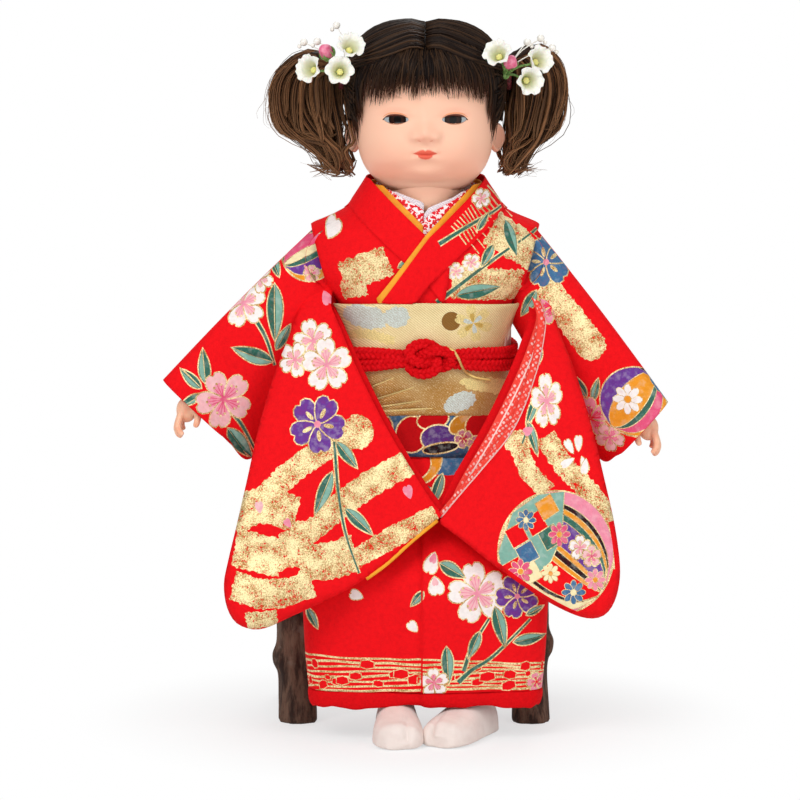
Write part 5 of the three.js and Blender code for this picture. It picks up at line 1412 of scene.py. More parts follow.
def make_tabi(side, white):
    """A split-toe sock with a seam and a sole."""
    x0, turn = FEET[side]
    inner = 1 if side == "right" else -1
    rings = []
    along = np.concatenate([np.linspace(0, 0.06, 4)[:-1], np.linspace(0.06, 0.9, 26)[:-1], np.linspace(0.9, 1, 10)])
    sides = 48
    angles = circle(sides)
    for t in along:
        half, height = rows_at(FOOT_ROWS, np.array([t]))[0]
        rise = np.sin(angles)
        across = half * signed_power(np.cos(angles), 0.8)
        z = np.where(rise > 0, 4 + (height - 4) * np.abs(rise) ** 0.85, 4 - 4 * np.abs(rise) ** 0.35)
        split = float(smooth(t, 0.66, 0.86))
        cleft = np.exp(-((across - inner * 4.2) / 1.5) ** 2) * split
        y = -t * FOOT_LENGTH + cleft * (2.4 * float(smooth(t, 0.9, 1)))
        z = np.where(rise > 0, z - cleft * 1.8 * rise, z)
        seam = np.exp(-((across - inner * 2.5) / 0.6) ** 2) * (rise > 0.3) * (0.2 < t < 0.8)
        z = z + 0.35 * seam
        welt = 0.5 * np.exp(-((z - 2.6) / 0.9) ** 2)
        rings.append(np.column_stack([across * (1 + welt / 12), y * np.ones(sides), z]))
    points = np.concatenate(rings)
    last = (len(rings) - 1) * sides
    faces = grid_faces(len(rings), sides) + [tuple(range(sides)), tuple(range(last + sides - 1, last - 1, -1))]
    cuff, levels = [], 12
    across, ahead = round_corner(angles, 2.2)
    for z in np.linspace(10, 35, levels):
        wrinkle = 0.25 * math.sin(z * 1.3)
        cuff.append(np.column_stack([(9.4 + wrinkle) * across, -11.5 - (8.2 + wrinkle) * ahead, np.full(sides, z)]))
    ends = [tuple(range(sides - 1, -1, -1)), tuple(range((levels - 1) * sides, levels * sides))]
    ankle = (np.concatenate(cuff), [f[::-1] for f in grid_faces(levels, sides)] + ends)
    whole = [(np.column_stack([turned(some[:, :2], turn, (x0, FOOT_BACK)), some[:, 2]]), those)
             for some, those in ((points, faces), ankle)]
    sock = blended(side + "_tabi_sock", whole, white, 0.7, 8)
    settle(sock, "doll", "white_cloth", side + "_tabi")


LEGS = {"stool_leg_front_right": (-1, -1, 33, -1), "stool_leg_front_left": (1, -1, 40, 1),
        "stool_leg_back_right": (-1, 1, 52, -1), "stool_leg_back_left": (1, 1, 28, 1)}
STOOL_X, STOOL_Y, LEG_TOP = -6.0, 8.0, 81.7


def make_stool(bark, board):
    """Branch legs with bark, knots and sawn ends, and a board with a waney edge."""
    draw = random.Random(7)
    for name, (side_x, side_y, knot_z, knot_side) in LEGS.items():
        rows, sides = 70, 44
        rings, angles = [], circle(sides)
        phases = [draw.uniform(0, 6.28) for _ in range(9)]
        for z in np.linspace(0, LEG_TOP, rows):
            lean = 12 * (1 - z / LEG_TOP)
            centre = np.array((STOOL_X + side_x * 61, STOOL_Y + side_y * (25 + lean)))
            centre = centre + (0.8 * math.sin(z / 21 + phases[0]), 0.8 * math.sin(z / 17 + phases[1]))
            swell = 1 + 0.06 * math.sin(z * 0.11 + knot_z) + 0.08 * math.exp(-((z - knot_z) / 12) ** 2)
            end = min(1.0, 0.93 + z / 12)
            ridges = 0.03 * np.sin(5 * angles + phases[2] + z / 19) + 0.025 * np.sin(9 * angles + phases[3] - z / 13)
            ridges += 0.02 * np.sin(14 * angles + phases[4] + z / 7) * math.sin(z / 11 + phases[5])
            facing = np.cos(angles - (0.3 + math.pi if knot_side < 0 else -0.3))
            stub = 0.42 * np.exp(-((z - knot_z) / 5.5) ** 2) * np.exp(-((1 - facing) / 0.09))
            cut = -0.16 * np.exp(-((z - knot_z) / 3.0) ** 2) * np.exp(-((1 - facing) / 0.025))
            size = 9.5 * swell * end * (1 + ridges + stub + cut)
            x, y = centre[0] + size * np.cos(angles), centre[1] + size * np.sin(angles)
            rings.append(np.column_stack([x, y, np.full(sides, z)]))
        leg = add_object(name.replace("stool_", "branch_"), *capped(rings), bark)
        settle(leg, "stool", "bark", name)
    sides = 160
    angles = circle(sides)
    ripple = 1 + 0.012 * np.sin(angles * 5 + 1) + 0.01 * np.sin(angles * 8) + 0.005 * np.sin(angles * 23 + 2)
    rings = []
    for z, shrink in ((82, 4.2), (82.4, 3), (84, 1.4), (87, 0.4), (91, 0), (95, 0.5), (98, 1.5), (99.4, 2.4),
                      (99.9, 3.4), (100, 5)):
        wobble = 0.5 * np.sin(angles * 31 + z) * (84 < z < 99)
        x = (70 - shrink + wobble) * ripple * signed_power(np.cos(angles), 0.55)
        y = (38 - shrink + wobble) * ripple * signed_power(np.sin(angles), 0.55)
        rings.append(np.column_stack([x + STOOL_X, y + STOOL_Y, np.full(sides, z)]))
    faces = grid_faces(len(rings), sides)
    last = (len(rings) - 1) * sides
    points = np.concatenate(rings + [[(STOOL_X, STOOL_Y, 82.0), (STOOL_X, STOOL_Y, 100.0)]])
    for k in range(sides):
        faces += [(last + sides, (k + 1) % sides, k), (last + sides + 1, last + k, last + (k + 1) % sides)]
    settle(add_object("seat_board", points, faces, board), "stool", "board", "stool_seat")


# Head, face and hair

HEAD_ROWS = [
    (0, 21, 17, 18), (0.02, 23.5, 19.5, 19), (0.06, 26.6, 23, 21), (0.12, 30.6, 29.5, 24), (0.19, 33.4, 34.6, 28),
    (0.27, 35.2, 37, 32.5), (0.36, 36.3, 37.5, 37), (0.46, 36.9, 37.2, 40.3), (0.56, 37, 37, 42.2),
    (0.66, 37, 37, 42.5), (0.75, 36, 36, 41), (0.84, 33, 33, 37), (0.91, 28, 27.5, 31), (0.96, 21, 20, 23),
    (0.99, 12, 11, 13), (1, 4, 4, 4),
]
# Millimetres of u to a radian round the head and the neck
HEAD_ROUND, NECK_ROUND = 36.0, 16.0
EYE_X, EYE_H = 15.0, 38.9
MOUTH_H = 21.2
SKIN = ink("#FCC5A9")


def face_relief(x, h):
    """How far the face stands out from a plain egg."""
    wide = np.abs(x)
    nose = 5.6 * bump(x, h, 0, 32, 5.2, 5.0) + 1.2 * bump(x, h, 0, 39, 3.4, 6)
    nose = nose + 2.6 * bump(wide, h, 5.9, 30.4, 2.6, 2.4)
    nose = nose - 0.9 * bump(wide, h, 3.1, 28.2, 1.4, 0.9) - 0.6 * bump(wide, h, 9.4, 29.6, 2, 3)
    lips = 1.3 * bump(x, h, 0, MOUTH_H + 1.3, 5.2, 1.4) + 1.4 * bump(x, h, 0, MOUTH_H - 1.6, 4.2, 1.4)
    lips = lips - 1.1 * bump(x, h, 0, MOUTH_H, 6.0, 0.55)
    groove = -0.4 * bump(x, h, 0, 25.2, 1.4, 1.6) - 0.7 * bump(wide, h, 6.4, MOUTH_H, 1.3, 1.3)
    cheeks = 2.4 * bump(wide, h, 19.5, 21.5, 10, 9.5)
    chin = 1.8 * bump(x, h, 0, 10, 8.5, 4.5) - 0.9 * bump(x, h, 0, 15, 9, 2.6) - 1.0 * bump(x, h, 0, 4.9, 16, 1.3)
    sockets = -1.3 * bump(wide, h, EYE_X - 1.5, EYE_H + 1.2, 8, 4.2) + 0.8 * bump(wide, h, EYE_X, EYE_H + 3.1, 8, 1.1)
    sockets = sockets - 0.4 * bump(wide, h, EYE_X, EYE_H + 4.5, 7.5, 0.55)
    sockets = sockets + 0.5 * bump(wide, h, EYE_X, EYE_H - 3.4, 7, 1.2)
    return nose + lips + groove + cheeks + chin + sockets


def head_surface(offset=0.0, plain=False):
    """Head grown by an offset; u runs round with 0 in front, v is the height above the chin."""
    def surface(u, v):
        t = v / HEAD_HEIGHT
        half, front, back = rows_at(HEAD_ROWS, t).T
        out = offset(u, v) if callable(offset) else offset
        level = out * (1 - 0.42 * smooth(t, 0.68, 1.0))
        across, ahead = round_corner(u / HEAD_ROUND, 2.15)
        x = (half + level) * across
        y = (back - front) / 2 - ((front + back) / 2 + level) * ahead
        if not plain:
            y = y - face_relief(x, v) * smooth(-y / (front + level), 0.15, 0.6)
        return np.column_stack([x, y, CHIN_Z + v + out * smooth(t, 0.4, 1.0)])
    return surface


def almond(side, grow=0.0):
    """Outline of an eye in the front view."""
    angles = circle(36)
    x = (6.4 + grow) * np.cos(angles)
    lid = 2.0 + grow
    rise = np.sin(angles)
    z = lid * signed_power(rise, np.where(rise > 0, 0.8, 1.1)) - 0.03 * x
    outline = np.column_stack([side * (EYE_X + x), CHIN_Z + EYE_H + z])
    return outline if side > 0 else outline[::-1]


def arc_band(points, width, ends=(0.2, 0.2)):
    """A thin tapering stroke through points above the chin."""
    path = path_at(np.asarray(points, float) + (0, CHIN_Z), np.linspace(0, 1, 22))
    ahead = unit(np.gradient(path, axis=0))
    t = np.linspace(0, 1, len(path))
    half = width / 2 * np.interp(t, (0, 0.35, 0.7, 1), (ends[0], 1, 1, ends[1]))[:, None]
    out = np.column_stack([-ahead[:, 1], ahead[:, 0]]) * half
    return np.concatenate([path + out, (path - out)[::-1]])


def face_prints():
    """Painted features, in the front view."""
    lip, lip_deep, lip_soft = ink("#EA6650"), ink("#D9523F"), ink("#F3A48C")
    upper = [(-6.1, 0.3), (-4.5, 1.1), (-2.5, 2.1), (-1.1, 2.3), (0, 1.7), (1.1, 2.3), (2.5, 2.1), (4.5, 1.1),
             (6.1, 0.3), (4, -0.2), (2, -0.5), (0, -0.3), (-2, -0.5), (-4, -0.2)]
    lower = [(-4.0, -0.1), (-2, -0.4), (0, -0.2), (2, -0.4), (4.0, -0.1), (3.4, -1.3), (2.0, -2.2), (0, -2.6),
             (-2.0, -2.2), (-3.4, -1.3)]
    shapes = [np.array(shape) + (0, CHIN_Z + MOUTH_H) for shape in (upper, lower)]
    prints = [(grown(shape, 0.45), lip_soft, INK) for shape in shapes] + [(shape, lip, INK) for shape in shapes]
    line = [(-5.7, 0.2), (-3, -0.3), (0, -0.2), (3, -0.3), (5.7, 0.2)]
    prints += [(arc_band(np.array(line) + (0, MOUTH_H), 0.42), lip_deep, INK)]
    crease = ((-7.0, 1.2), (-4, 2.9), (0, 3.5), (4.5, 3.0), (7.8, 1.0))
    strokes = (
        (crease, 1.1, "#F8BE9C"), (crease, 0.45, "#EE935F"),
        (((-6.9, -0.2), (-4.6, 1.6), (-0.8, 2.25), (3, 2.0), (5.8, 0.9), (7.8, -0.5)), 1.5, "#22110C"),
        (((-6.4, -0.7), (-2, -2.1), (3, -2.1), (7.0, -0.8)), 0.5, "#B67657"),
    )
    for s in (-1, 1):
        for points, width, code in strokes:
            path = [(s * (EYE_X + 0.9 * x), EYE_H + h) for x, h in points]
            prints += [(arc_band(path, width, (0.25, 0.3)), ink(code), INK)]
        brow = [(s * 12, 50.3), (s * 17, 51.2), (s * 21, 51.2), (s * 26, 49.8)]
        prints += [(arc_band(brow, 3.2), ink("#F2BC9F"), INK), (arc_band(brow, 1.8), ink("#E8B095"), INK)]
        # Faint painted shade in the nostrils.
        prints += [(oval_outline((s * 3.1, CHIN_Z + 28.4), 0.95, 0.4, s * 20, 12), ink("#F0AE93"), INK)]
    return prints


def make_ear(side, skin):
    """One ear with its rim and hollow, leaning back from the cheek."""
    s = SIDES[side]
    turns = circle(40)
    out, along = np.array((0.6, -0.8, 0)), np.array((0.8, 0.6, 0))
    fore, aft = np.linspace(0.04, 1, 14), np.linspace(0.97, 0.05, 8)
    rim = 0.9 + 1.4 * np.exp(-((fore - 0.8) / 0.15) ** 2) - 1.4 * np.exp(-((fore / 0.42) ** 2))
    rises = np.concatenate([rim - 0.9 * smooth(fore, 0.88, 1), -1.5 * np.sqrt(1 - aft * aft)])
    lobe = 1 - 0.3 * smooth(-np.sin(turns), 0.1, 1)
    rings = []
    for r, rise in zip([*fore, *aft], rises):
        a, b = 3.0 + 5.4 * r * np.cos(turns) * lobe, 7.9 * r * np.sin(turns)
        rings.append(np.array((34.5, 0.5, CHIN_Z + 25.8)) + np.outer(a, along) + out * rise + np.outer(b, (0, 0, 1)))
    points, faces = capped(rings)
    ear = add_object(side + "_ear", points * (s, 1, 1), faces if s < 0 else [f[::-1] for f in faces], skin)
    paint_points(ear, SKIN)
    settle(ear, "head", "skin")


def make_head(skin, eye):
    """Head with neck and ears, and the inset eyes."""
    surface = head_surface()
    edge = math.pi * HEAD_ROUND
    domain = rectangle(-edge, edge, 0, HEAD_HEIGHT, 2.5)
    drawn = onto(surface, domain, face_prints())
    holes = [p for p, _, _ in onto(surface, domain, [(almond(s), SKIN, INK) for s in (-1, 1)])]
    drawn = drawn + [(hole, BLACK, FOIL) for hole in holes]
    lines_u = np.concatenate([np.arange(-edge + 4, -42, 4), np.arange(-42, 42.1, 1.0), np.arange(45, edge, 4)])
    lines_v = np.concatenate([np.arange(0.8, 60, 1.0), np.arange(62, HEAD_HEIGHT - 0.5, 2.5), [82.6]])
    solid, faces, paint = printed(surface, domain, 1.0, drawn, SKIN, lines_u, lines_v)
    keep = paint[:, 3] < 0.9
    panels = [(solid, faces[keep], paint[keep])]

    def neck(u, v):
        size = 18.9 + 1.2 * smooth(v, 274, 284) - 2.6 * (1 - smooth(v, 242, 262))
        size = size - 0.3 * bump(0 * v, v, 0, 273.5, 1, 1.2)
        across, ahead = np.sin(u / NECK_ROUND), np.cos(u / NECK_ROUND)
        size = size + 2.8 * np.maximum(0, ahead) ** 2 * smooth(v, 262, 271)
        return np.column_stack([size * across, 2 - size * ahead, v])

    turn = math.pi * NECK_ROUND
    panels.append(printed(neck, rectangle(-turn, turn, 242, 285), 2.5, [], SKIN))
    cloth("head_skin", panels, [skin], "head", "skin", ("head_shell",), 0.9)
    white, shade = ink("#A4AAAE"), ink("#5E5654")
    iris = (("#140907", 4.5), ("#26100A", 3.6), ("#2C130C", 2.7), ("#0C0505", 2.0))
    for side, s in SIDES.items():
        make_ear(side, skin)
        patch = head_surface(lambda u, v: -0.75 + 0.9 * bump(np.abs(u), v, EYE_X * 0.985, EYE_H, 8, 4))
        outline = onto(patch, domain, [(almond(s, 1.3), white, INK)])[0][0]
        centre = (s * (EYE_X - 0.6), EYE_H)
        # Painted shadow of the upper lid across the top of the eye.
        lid = [(centre[0] - 9, EYE_H + 2.0), (centre[0], EYE_H + 2.6), (centre[0] + 9, EYE_H + 2.0)]
        drawn = [(arc_band(lid, 2.8, (1, 1)), shade, INK)]
        for code, size in iris:
            drawn.append((oval_outline((centre[0], CHIN_Z + centre[1]), size, size, count=28), ink(code), INK))
        panel = printed(patch, outline, 0.8, onto(patch, domain, drawn), white)
        cloth(side + "_eye_glass", [panel], [eye], "head", "eye", (side + "_eye",), 0)


def hair_lift(u, v):
    """Hair thickness: a dip along the parting."""
    x = np.abs(rows_at(HEAD_ROWS, v / HEAD_HEIGHT)[:, 0] * np.sin(u / HEAD_ROUND))
    behind = smooth(np.abs(u) / HEAD_ROUND, 1.2, 2.2)
    return 3.3 + (2.5 - 0.9 * behind) * smooth(x, 0.2, 6.5) * smooth(v, 30, 60) - 0.9 * smooth(v, 60, 72)


# Degrees round the head and height of the hair's edge above the chin
HAIR_EDGE = [(0, 61), (36, 60), (52, 56.5), (64, 50), (73, 42), (82, 36), (92, 34.5), (102, 33), (116, 24),
             (135, 14), (180, 11)]
HAIR_CENTRE = np.array((0.0, 3.0, CHIN_Z + 42.0))
TIE = np.array((43.4, 5.0, CHIN_Z + 58.5))


class Hair:
    """Locks gathered into one mesh, with a colour from root to tip."""

    def __init__(self, seed, dark, light, tip):
        self.draw = random.Random(seed)
        self.tones = [np.array(tone) for tone in (dark, light, tip)]
        self.parts, self.colours = [], []

    def body(self, points, faces):
        self.parts.append((points, faces))
        self.colours.append(np.tile(self.tones[0], (len(points), 1)))

    def lock(self, path, thick, sides=5, ends=(0.75, 0.12)):
        dark, light, tip = self.tones
        t = np.linspace(0, 1, len(path))
        points, faces = tube(path, thick * np.interp(t, (0, 0.15, 0.7, 1), (ends[0], 1, 0.85, ends[1])), sides)
        root = dark + (light - dark) * self.draw.random() ** 1.6
        rings = root + (tip - root) * smooth(t, 0.5, 1.05)[:, None] * self.draw.uniform(0.4, 1)
        self.parts.append((points, faces))
        self.colours.append(np.concatenate([np.repeat(rings, sides, axis=0), rings[[0, -1]]]))

    def finish(self, name, material, node):
        made = add_object(name, *gather(self.parts), material)
        paint_points(made, np.concatenate(self.colours))
        settle(made, "head", "hair", *node)


def make_hair(hair, tie, tones):
    """Base cap, combed locks, fringe, pigtails and ties."""
    top = Hair(21, *tones["top"])
    draw = top.draw
    around = 120
    angles = np.linspace(-math.pi, math.pi, around + 1)[:-1]
    edge = rows_at(HAIR_EDGE, np.degrees(np.abs(angles)))[:, 0]
    shares = np.sin(np.linspace(0, math.pi / 2, 48))

    def shell(lower, edge):
        """Rings of the hair's surface, from an edge to the crown."""
        surface = head_surface(lambda u, v: hair_lift(u, v) - lower, True)
        return [surface(angles * HEAD_ROUND, edge + (HEAD_HEIGHT - edge) * share) for share in shares]

    def dome(rings):
        """Points and faces of rings that close at the crown."""
        points = np.concatenate(rings + [[rings[-1].mean(0)]])
        tip = len(points) - 1
        last = tip - around
        crown = [(last + k, last + (k + 1) % around, tip) for k in range(around)]
        return points, grid_faces(len(rings), around) + crown

    brim = head_surface(0.4, True)(angles * HEAD_ROUND, edge + 0.5)
    top.body(*dome([brim] + shell(0.9, edge)))
    points, faces = dome(shell(0.0, 0 * edge + 4))
    outside = BVHTree.FromPolygons([Vector(p) for p in points], faces)

    def comb(start, end, steps, thick, lift, bow=0.0):
        """A lock combed over the head between two directions from its middle."""
        start, end = (np.asarray(p, float) / np.linalg.norm(p) for p in (start, end))
        path = []
        for t in np.linspace(0, 1, steps):
            ray = start + (end - start) * t + np.array((0, -0.55, -0.3)) * bow * math.sin(math.pi * t) ** 1.5
            ray /= np.linalg.norm(ray)
            hit = outside.ray_cast(Vector(HAIR_CENTRE), Vector(ray))[0]
            path.append(np.array(hit) + ray * lift)
        top.lock(np.array(path), thick)

    for s in (-1, 1):
        to_tie = (TIE - HAIR_CENTRE) * (s, 1, 1)
        for _ in range(430):
            a = math.radians(draw.uniform(43, 206))
            start = (s * draw.uniform(0.0, 0.03), -math.cos(a), math.sin(a))
            end = to_tie + (0, 7 * math.cos(a + 2.4) + draw.uniform(-3, 3), 6 * math.sin(a) - 2 + draw.uniform(-3, 3))
            comb(start, end, 15, draw.uniform(0.3, 0.72), draw.uniform(-0.35, 0.4), max(0.0, math.cos(a)) * 0.4)
        for _ in range(150):
            start = (s * draw.uniform(0, 26), draw.uniform(24, 36), draw.uniform(-31, -16))
            end = to_tie + (0, draw.uniform(0, 8), draw.uniform(-8, 0))
            comb(start, end, 13, draw.uniform(0.35, 0.75), draw.uniform(-0.3, 0.4))
        for _ in range(110):
            start = (s * draw.uniform(32, 38), draw.uniform(-24, 2), draw.uniform(-6, 20))
            end = to_tie + (0, draw.uniform(-8, 0), draw.uniform(-8, 3))
            comb(start, end, 10, draw.uniform(0.3, 0.65), draw.uniform(-0.5, 0.2))

    def lay(start, end, steps, thick, lift, bow):
        """A lock on the head from (angle, height) to (angle, height) in degrees and millimetres."""
        t = np.linspace(0, 1, steps)
        a = np.radians(start[0] + (end[0] - start[0]) * t + bow * np.sin(math.pi * t))
        h = start[1] + (end[1] - start[1]) * t**1.1
        surface = head_surface(lambda u, v: hair_lift(u, v) * (1 - 0.35 * smooth(t, 0.4, 1)) + lift, True)
        top.lock(surface(a * HEAD_ROUND, h), thick, 5, (0.9, 0.1))

    for _ in range(520):
        a = draw.uniform(-62, 62)
        low = 52.6 - (5.5 if a < 0 else 3.0) * smooth(abs(a), 12, 50) + draw.uniform(-3.2, 4.5) + math.sin(a / 4.0)
        lay((a * 0.72 + draw.uniform(-3, 3), draw.uniform(68, 75.5)), (a + draw.uniform(-4, 4), low), 13,
            draw.uniform(0.2, 0.46), draw.uniform(-1.5, -0.2), draw.uniform(-2.5, 2.5))
    for s in (-1, 1):
        for _ in range(120):
            a = draw.uniform(56, 79)
            low = 22.5 + abs(a - 72) * 1.0 + draw.random() ** 1.5 * 24
            lay((s * (a - 7), draw.uniform(56, 66)), (s * (a + draw.uniform(-1, 3)), low), 12, draw.uniform(0.22, 0.5),
                draw.uniform(-2.2, -0.6), s * draw.uniform(-1, 3))
    top.finish("hair_top", hair, ("hair_cap", "hair_fringe"))

    for side, s in SIDES.items():
        tail = Hair(40 + s, *tones["tail"])
        draw = tail.draw
        wide, high = (32.0, 0.0) if side == "right" else (24.5, 4.0)

        def curl(reach, deep, loose):
            """One curled lock of a pigtail: out over the tie, down and in again."""
            points = [(-4, draw.uniform(-4, 4), 58.5 + draw.uniform(-4, 4)),
                      (2 + 5 * reach, 2 * deep, 61 + 4 * reach + high),
                      (5 + wide * 0.5 * reach, 5 * deep, 59 + 9 * reach + high + draw.uniform(-2, 2)),
                      (5 + wide * reach * 0.88, 8 * deep, 55 + 3 * reach + high),
                      (4 + wide * reach, 10 * deep, 43 + high),
                      (3 + wide * reach * 0.86 + draw.uniform(-2, 2), 11 * deep - 1, 30 + draw.uniform(-3, 3)),
                      (wide * reach * 0.44 + draw.uniform(-3, 3), 9 * deep - 3, 18 + 3 * reach + draw.uniform(-4, 4)),
                      (-3 + wide * reach * 0.24 + draw.uniform(-3, 5), 7 * deep - 5, 8 + draw.uniform(-2, 6)),
                      (wide * reach * 0.22 + draw.uniform(-5, 8), 5 * deep - 6, 9 + draw.uniform(-3, 7))]
            stop = 1.0 if draw.random() < 0.5 else draw.uniform(0.6, 0.8)
            t = np.linspace(0, stop, 26)
            path = path_at(points, t) + np.outer(smooth(t, stop - 0.16, stop) ** 2, (6 * reach, 0, 4.5 * (stop < 1)))
            turn, speed = draw.uniform(0, 6.28), draw.uniform(11, 19)
            swing = (loose * smooth(t, 0.2, 0.75))[:, None]
            phase = t * speed + turn
            sway = [np.sin(phase), np.cos(t * speed * 0.8 + turn), 0.7 * np.sin(phase + 1.2)]
            path = path + swing * np.column_stack(sway)
            return path * (s, 1, 1) + (s * 44, 7, CHIN_Z)

        def clump(path, count, spread):
            """Locks that follow one path and come together at its tip."""
            apart = np.interp(np.linspace(0, 1, len(path)), (0, 0.2, 0.75, 1), (0.6, 1, 0.85, 0.15))[:, None]
            for _ in range(count):
                a, far = draw.uniform(0, 6.28), spread * math.sqrt(draw.random())
                aside = np.array((math.cos(a), math.sin(a), 0.5 * math.sin(a + 1))) * far
                tail.lock(path + apart * aside, draw.uniform(0.2, 0.5), 5, (0.6, 0.12))

        core_steps, clumps = 23, 58
        thick = np.interp(np.linspace(0, 1, core_steps), (0, 0.2, 0.5, 0.8, 1), (2.5, 4.4, 5.2, 3.6, 1.5))
        for reach, deep in ((0.12, 0.2), (0.4, 0.3), (0.64, 0.1)):
            tail.body(*tube(curl(reach, deep, 0)[:core_steps], thick, 10))
        for k in range(clumps):
            reach = -0.26 + 1.26 * ((k + draw.random()) / clumps) ** 0.85
            path = curl(reach, draw.uniform(-1, 1), draw.uniform(0.6, 2.6))
            clump(path, 13, draw.uniform(1.8, 3.2))
        for _ in range(26):
            path = curl(draw.uniform(0.95, 1.07), draw.uniform(-1.2, 1.2), draw.uniform(2, 4))
            tail.lock(path, draw.uniform(0.14, 0.22), 4, (0.8, 0.3))
        tail.finish(side + "_pigtail_hair", hair, (side + "_pigtail",))
        turns = np.linspace(0, 2 * math.pi, 60)
        ring = np.column_stack([np.full(60, s * TIE[0]), TIE[1] + 7.0 * np.cos(turns), TIE[2] + 7.0 * np.sin(turns)])
        band = add_object(side + "_hair_band", *braid(ring, (1, 0, 0), 0.8, 0.4, 5.5, 1.0), tie)
        settle(band, "head", "tie", side + "_hair_tie")


# Hair flowers

HAIR_SIDE = 41.6
SPRAYS = {
    "right": ((0, -12, 59), ((14.5, -22, 63), (2.5, -27, 62.5), (-1.6, -26, 72.5)), (8.0, -20, 70.5),
              ((4.4, -14, 86), (21.4, -12, 77), (14.4, -13, 77.5))),
    "left": ((0, -12, 60), ((-2.6, -28, 69.5), (9.5, -26, 58.5), (14.0, -20, 66.5)), (2.0, -25, 66.5),
             ((11.4, -12, 77), (18.4, -12, 79), (24.4, -11, 74))),
}


def turned_to(points, facing, at):
    """Points built along +Z, turned to face a direction and moved."""
    facing = np.asarray(facing, float) / np.linalg.norm(facing)
    side = np.cross((0, 0, 1), facing)
    side = side / np.linalg.norm(side) if np.linalg.norm(side) > 1e-6 else np.array((1.0, 0, 0))
    up = np.cross(facing, side)
    return np.asarray(points) @ np.array((side, up, facing)) + at


def make_flowers(side, petal_finish, bud_finish, pearl, stem):
    """One side's blossoms, bud, pearls and stems."""
    s = SIDES[side]
    hub_at, blossoms, bud_at, pearls = SPRAYS[side]
    draw = random.Random(33 + s)

    def beside(place):
        return np.array((s * (HAIR_SIDE + place[0]), place[1], CHIN_Z + place[2]))

    hub = beside(hub_at)
    wires = [ellipsoid(hub, (2.4, 2.2, 2.4), 8, 10)]
    for number, place in enumerate(blossoms, 1):
        base = beside(place)
        facing = np.array((s * (place[0] - 4) * 0.05 + draw.uniform(-0.25, 0.25), -1, (place[2] - 60) * 0.055 + 0.15))
        facing /= np.linalg.norm(facing)
        rings, tints = [], []
        angles = circle(80)
        turn = draw.uniform(0, 1.2)
        lobe = np.abs(np.cos(3 * (angles + turn)))
        for k, share in enumerate(np.linspace(0.06, 1, 17)):
            edge = 1 - 0.2 * (1 - lobe**0.8) * smooth(share, 0.6, 1.0)
            r = (5.9 * share**0.62 + 1.8 * smooth(share, 0.72, 1)) * edge * (1 + 0.02 * np.sin(7 * angles + k))
            rise = 9.6 * share**1.1 - 1.2 * smooth(share, 0.8, 1.0) * lobe
            rise = rise + 0.6 * np.sin(13 * angles + turn) * smooth(share, 0.7, 1)
            crease = -0.5 * np.exp(-((1 - lobe) / 0.05)) * smooth(share, 0.2, 0.6) * (1 - share * 0.5)
            rings.append(np.column_stack([r * np.cos(angles), r * np.sin(angles), rise + crease]))
            # Greenish cream deep in the cup to white at the rim: partly the petal's own tint, partly painted shade
            # inside the cup.
            mix = smooth(share, 0.2, 0.95)
            tints += [np.array(ink("#C9CC9C")) * (1 - mix) + np.array(ink("#F7F4EE")) * mix] * len(angles)
        points, faces = capped(rings)
        cup = add_object(f"{side}_flower_{number}", turned_to(points, facing, base), faces[:-1], petal_finish)
        paint_points(cup, tints)
        thicken(cup, 0.4, offset=0)
        settle(cup, "head", "petal", f"{side}_blossom_{number}")
        heart = []
        for k in range(7):
            lean = 0 if k == 0 else 0.9
            at = lean * math.cos(k), lean * math.sin(k), 2.9 - 0.2 * (k > 0)
            heart.append(ellipsoid(at, (0.95, 0.95, 1.1), 8, 10))
        points, faces = gather(heart)
        middle = add_object(f"{side}_flower_{number}_heart", turned_to(points, facing, base), faces, petal_finish)
        paint_points(middle, ink("#EFE58F"))
        settle(middle, "head", "petal")
        bend = (hub + base) / 2 + (0, -1.5, 1.5)
        wires.append(tube(path_at([hub, bend, base - facing * 0.4], np.linspace(0, 1, 12)), 0.6, 8))
        points, faces = ellipsoid((0, 0, 0.2), (1.7, 1.7, 1.4), 8, 12)
        wires.append((turned_to(points, facing, base), faces))

    tip = beside(bud_at)
    out = (tip - hub) / np.linalg.norm(tip - hub)
    centre = tip + out * 3.6
    angles, rows = circle(40), 18
    rings = []
    for k in range(rows):
        a = math.pi * (k + 0.35) / (rows - 0.3)
        swirl = 1 + 0.1 * np.sin(3 * angles + 2.2 * a) * math.sin(a)
        r = 3.5 * math.sin(a) ** 0.85 * swirl
        rings.append(np.column_stack([r * np.cos(angles), r * np.sin(angles), np.full(40, -4.2 * math.cos(a))]))
    points, faces = capped(rings)
    bud = add_object(side + "_bud_pink", turned_to(points, out, centre), faces, bud_finish)
    settle(bud, "head", "bud", side + "_bud")
    wires.append(tube(path_at([hub, (hub + tip) / 2 + (0, -1, 1), tip], np.linspace(0, 1, 10)), 0.8, 8))
    reach, height = np.array([(0.6, -4.8), (2.6, -3.6), (3.75, -1.2), (3.6, 0.8)]).T
    sepal = [0.8, 1.2, 1.4, 1.4, 1.3, 1.1, 0.8, 0.5, 0.15]
    for a in circle(5):
        path = path_at(np.column_stack([reach * math.cos(a), reach * math.sin(a), height]), np.linspace(0, 1, 9))
        wires.append(tube(turned_to(path, out, centre), sepal, 8, 0.4))
    settle(add_object(side + "_flower_stems", *gather(wires), stem), "head", "stem", side + "_flower_pin")

    parts = []
    root = hub + (s * 1.2, 0, 2.9)
    for place in pearls:
        end = beside(place)
        bow = (root + end) / 2 + (s * draw.uniform(-3, 1), -1.5, draw.uniform(1, 4))
        parts.append(tube(path_at([hub, root, bow, end], np.linspace(0, 1, 24)), 0.32, 6))
        parts.append(ellipsoid(end, (2.0, 2.0, 2.0), 12, 18))
        parts.append(ellipsoid(end + (s * 2.3, 0.4, -2.2), (1.15, 1.15, 1.15), 8, 12))
        parts.append(tube([end, end + (s * 2.3, 0.4, -2.2)], 0.25, 5))
    settle(add_object(side + "_pearls", *gather(parts), pearl), "head", "pearl", side + "_pearl_spray")


# Finishes

